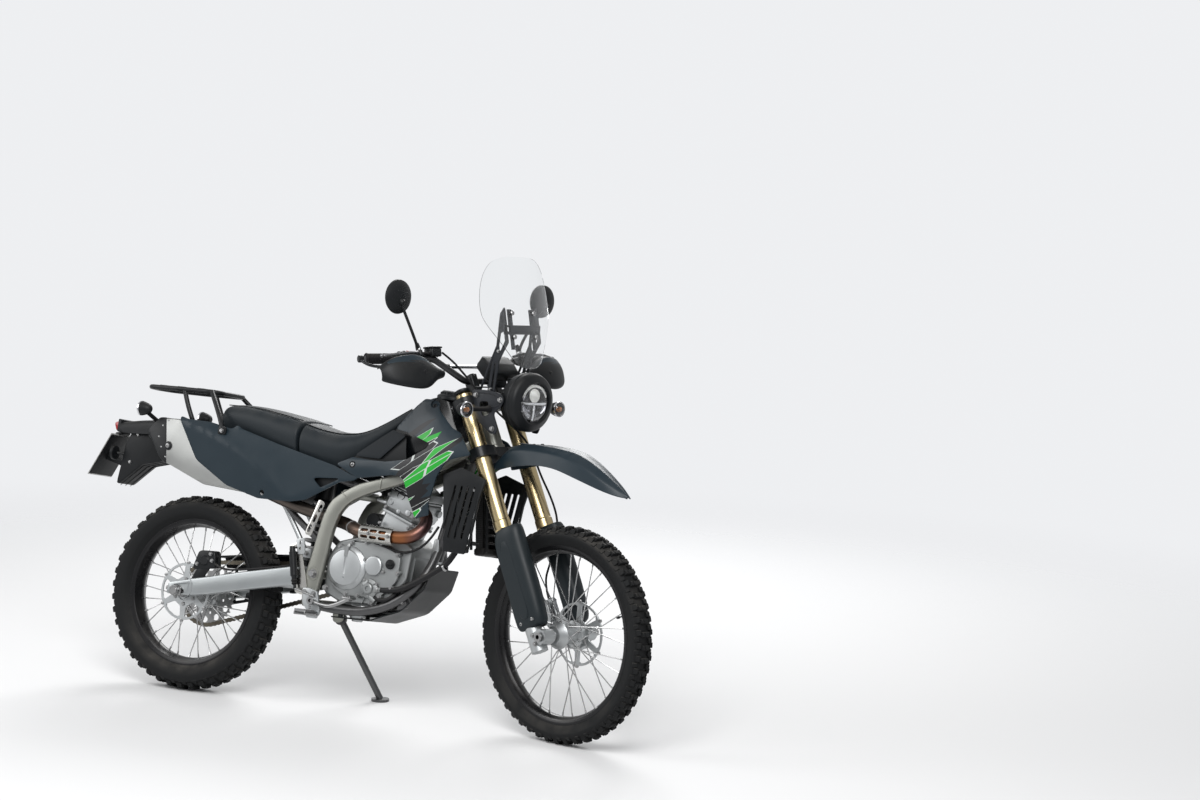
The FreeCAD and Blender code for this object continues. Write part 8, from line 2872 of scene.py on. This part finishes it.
    def clamp_fittings(self) -> None:
        """Fork caps, stem nut, pinch bolts, ignition lock and bar clamp bolts."""
        parts = []
        for side in (1, -1):
            cap = spun("cap", [(0, 0), (0, 24), (3, 25.5), (9, 25.5), (11, 23), (11, 10), (8, 9), (8, 0)],
                       steered(846, self.fork_offset, side * self.fork_spacing), STEER_UP, 36, False)
            parts.append(self.paint_in(cap, BLACK_METAL))
            for level in (636, 812):
                spot = steered(level, self.fork_offset - 42, side * (self.fork_spacing + 16))
                parts.append(self.paint_in(hex_bolt(spot, -STEER_FORWARD, 6.0), STEEL))
            for forward in (-14, 14):
                spot = steered(self.bar_level + 19, 30 + forward, side * 50)
                parts.append(self.paint_in(screw(spot, STEER_UP, 5.5), STEEL))
        nut = spun("nut", [(0, 0), (0, 20), (2, 21), (10, 21), (12, 18), (12, 8), (6, 8), (6, 0)],
                   steered(832, 0, 0), STEER_UP, 6, False)
        parts.append(self.paint_in(nut, STEEL))
        lock = spun("lock", [(0, 0), (0, 17), (16, 17), (18, 15), (18, 6), (14, 5), (14, 0)],
                    steered(806, 62, 0), STEER_UP, 32, False)
        parts.append(self.paint_in(lock, BLACK_METAL))
        self.assemble("triple_clamp_fittings", parts, Body.STEERING, "black_alloy", (), 32.0)

    def axle_fittings(self) -> None:
        """Pinch bolts of the axle clamps and the axle's nut."""
        parts = []
        for side in (1, -1):
            for along in (-14, 14):
                across = Vector((0, side * (self.fork_spacing + 26), 0))
                spot = FRONT_AXLE + STEER_UP * along + across - STEER_FORWARD * 24
                parts.append(self.paint_in(hex_bolt(spot, LEFT * side, 6.0), STEEL))
        nut = hex_bolt(FRONT_AXLE + Vector((0, self.fork_spacing + 33, 0)), LEFT, 13.0)
        parts.append(self.paint_in(nut, STEEL))
        self.assemble("axle_clamp_bolts", parts, Body.STEERING, "cast_alloy", (), 32.0)

    def caliper(self) -> None:
        """Front caliper with two piston bosses, pins, carrier and bleed screw."""
        centre = self.caliper_along

        def slab(
            y_from: float, y_to: float, back: float, front: float, half: float, edge: float
        ) -> bpy.types.Object:
            """Block of the caliper behind the fork leg."""
            middle = steered(centre, (back + front) / 2, (y_from + y_to) / 2)
            place = facing(middle, STEER_FORWARD, LEFT, STEER_UP)
            return block("slab", (front - back, y_to - y_from, half * 2), place, edge, 3)

        outer = slab(self.disc_y + 5, self.disc_y + 26, -66, -8, 44, 7.0)
        inner = slab(self.disc_y - 23, self.disc_y - 5, -64, -12, 38, 6.0)
        bridge = slab(self.disc_y - 23, self.disc_y + 26, -80, -64, 32, 6.0)
        parts = [outer, inner, bridge]
        for offset in (-20, 20):
            parts.append(spun("boss", [(0, 0), (0, 17), (5, 16.5), (8, 13), (8, 0)],
                              steered(centre + offset, -38, self.disc_y + 22), LEFT, 32, False))
        lug = slab(83, 95, -30, 22, 10, 2.0)
        lug.data.transform(Matrix.Translation(STEER_UP * -22))
        parts.append(lug)
        for piece in parts:
            self.paint_in(piece, ALLOY)
        pins = self.bolts([
            steered(centre + 36, -20, self.disc_y + 26), steered(centre - 36, -20, self.disc_y + 26),
            steered(centre, -54, self.disc_y + 26)
        ], LEFT, 5.5)
        nipple = self.paint_in(cylinder(
            "nipple", steered(centre + 40, -54, self.disc_y + 12), STEER_UP, 16, 3.6, 6
        ), STEEL)
        self.assemble("front_caliper_bolted", [*parts, pins, nipple], Body.STEERING, "cast_alloy",
                      ("front_caliper",), 32.0)

    def brake_hose(self) -> None:
        """Front brake hose: one smooth line from the lever's cylinder to the caliper."""
        route = [steered(*spot) for spot in (
            (962, 84, -205), (940, 78, -165), (905, 70, -126), (868, 66, -94), (820, 68, -66),
            (765, 78, -34), (715, 84, 10), (675, 85, 48), (620, 84, 76), (540, 80, 84), (460, 74, 110),
            (395, 50, 138), (335, 10, 147), (268, -32, 128), (212, -36, 84), (154.6, -34, 78)
        )]
        place = METRES @ GROUND @ STEER
        line = [place @ spot for spot in route]
        hose = round_curve("front_brake_hose_line", line, HOSE_RADIUS, 4, 12)
        hose.data.materials.append(self.paint.get(HOSE))
        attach(hose, Body.STEERING.value)
        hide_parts("front_brake_hose")
        length = sum((b - a).length for a, b in zip(line, line[1:]))
        LOG.info("%s: runs add up to %.3f m", hose.name, length)

    def build(self) -> None:
        """Make the cockpit."""
        self.brake_hose()
        self.handlebar()
        self.controls()
        self.brackets()
        self.dash()
        self.indicators()
        self.clamp_fittings()
        self.axle_fittings()
        self.caliper()


@dataclass
class Studio:
    """Camera, lamps, floor and backdrop."""

    azimuth: float = 27.62
    elevation: float = -3.3
    roll: float = 6.95
    distance: float = 10246.0
    target: Triple = (1439.0, 0.0, 1101.0)
    focal_pixels: float = 3212.0
    image_width: float = 1200.0
    sensor: float = 36.0
    floor_size: float = 40.0
    floor_colour: tuple[float, float, float, float] = (0.8, 0.8, 0.8, 1.0)
    floor_fade: Pair = (1.6, 5.5)
    sky_colour: tuple[float, float, float, float] = (0.93, 0.94, 0.96, 1.0)
    sky_strength: float = 0.42
    background_gain: float = 0.5
    reflected_share: float = 0.35

    def camera(self) -> None:
        """Place the camera as it stood beside the leaning machine."""
        turn, rise, roll = (math.radians(a) for a in (self.azimuth, self.elevation, self.roll))
        outward = Vector((math.sin(turn) * math.cos(rise), -math.cos(turn) * math.cos(rise), math.sin(rise)))
        right = (-outward).cross(UP).normalized()
        up = right.cross(-outward)
        across = right * math.cos(roll) + up * math.sin(roll)
        upward = up * math.cos(roll) - right * math.sin(roll)
        spot = Vector(self.target) + outward * self.distance
        turned = Matrix((across, upward, outward)).transposed().to_4x4()
        lens = bpy.data.cameras.new("camera")
        lens.sensor_fit = "HORIZONTAL"
        lens.sensor_width = self.sensor
        lens.lens = self.focal_pixels / self.image_width * self.sensor
        lens.clip_end = 60.0
        holder = bpy.data.objects.new("camera", lens)
        placed = GROUND @ Matrix.Translation(spot) @ turned
        location = METRES @ placed.translation
        holder.matrix_world = Matrix.Translation(location) @ placed.to_3x3().to_4x4()
        bpy.context.scene.collection.objects.link(holder)
        bpy.context.scene.camera = holder

    def lamp(self, name: str, spot: Triple, size: float, power: float) -> None:
        """Add a square lamp that faces the middle of the machine.

        Args:
            name: Name of the lamp.
            spot: Its place, in metres.
            size: Its side, in metres.
            power: Its power, in watts.
        """
        data = bpy.data.lights.new(name, "AREA")
        data.size = size
        data.energy = power
        holder = bpy.data.objects.new(name, data)
        aim = Vector((0.0, 0.0, 0.6)) - Vector(spot)
        holder.matrix_world = Matrix.Translation(spot) @ aim.to_track_quat("-Z", "Y").to_matrix().to_4x4()
        bpy.context.scene.collection.objects.link(holder)

    def floor(self) -> None:
        """Pale floor that keeps the machine's shadow."""
        bpy.ops.mesh.primitive_plane_add(size=self.floor_size, location=(0, 0, 0))
        plane = bpy.context.object
        plane.name = "floor"
        material = bpy.data.materials.new("pale floor")
        material.use_nodes = True
        tree = material.node_tree
        shader = tree.nodes["Principled BSDF"]
        feed(tree, shader, {"Base Color": self.floor_colour, "Roughness": 0.9})
        where = add_node(tree, "ShaderNodeTexCoord").outputs["Object"]
        reach = add_node(tree, "ShaderNodeVectorMath", {0: where}, operation="LENGTH").outputs["Value"]
        fade = spread_over(tree, reach, self.floor_fade, interpolation_type="SMOOTHSTEP")
        gone = add_node(tree, "ShaderNodeBsdfTransparent")
        mix = add_node(tree, "ShaderNodeMixShader",
                       {"Fac": fade, 1: shader.outputs["BSDF"], 2: gone.outputs["BSDF"]})
        feed(tree, tree.nodes["Material Output"], {"Surface": mix.outputs["Shader"]})
        plane.data.materials.append(material)

    def world(self) -> None:
        """Even light from all round, and a pale background for the camera and for reflections."""
        world = bpy.data.worlds.new("studio")
        bpy.context.scene.world = world
        world.use_nodes = True
        tree = world.node_tree
        tree.nodes.clear()
        path = add_node(tree, "ShaderNodeLightPath").outputs
        seen = math_node(tree, "MAXIMUM", path["Is Camera Ray"], path["Is Transmission Ray"])
        seen = math_node(tree, "MAXIMUM", seen,
                         math_node(tree, "MULTIPLY", path["Is Glossy Ray"], self.reflected_share))
        strength = math_node(tree, "MULTIPLY_ADD", seen, self.background_gain, self.sky_strength)
        light = add_node(tree, "ShaderNodeBackground", {"Color": self.sky_colour, "Strength": strength})
        add_node(tree, "ShaderNodeOutputWorld", {"Surface": light.outputs["Background"]})

    def build(self) -> None:
        """Make the whole studio."""
        self.camera()
        self.floor()
        self.world()
        self.lamp("key", (1.8, -3.6, 4.2), 3.0, 210.0)
        self.lamp("fill", (-3.4, -2.4, 2.6), 2.6, 60.0)
        self.lamp("rim", (-1.0, 3.8, 3.4), 2.6, 140.0)
        bpy.context.scene.view_settings.view_transform = "Standard"


def dress_frame(paint: Paintbox) -> None:
    """Give the CAD nodes that stay in view their finishes."""
    for name, finish in NODE_FINISH.items():
        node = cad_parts[name]
        node.data.materials.clear()
        node.data.materials.append(paint.get(finish))


def main() -> None:
    """Build the studio and every sub-assembly."""
    logging.basicConfig(level=logging.INFO)
    bpy.ops.object.select_all(action="DESELECT")
    paint = Paintbox()
    Studio().build()
    dress_frame(paint)
    Cockpit(paint).build()
    FrontWheel(
        paint, "front", Body.FRONT_WHEEL, FRONT_AXLE, 347.0, 86.0, 279.0, 54.0, 32.0, 52, FRONT_KNOBS
    ).build()
    RearWheel(
        paint, "rear", Body.REAR_WHEEL, REAR_AXLE, 327.0, 116.0, 241.0, 68.0, 40.0, 44, REAR_KNOBS
    ).build()
    Bodywork(paint).build()
    FrontEnd(paint).build()
    Engine(paint).build()
    Exhaust(paint).build()
    Chassis(paint).build()
    Tail(paint).build()


if __name__ == "__main__":
    main()
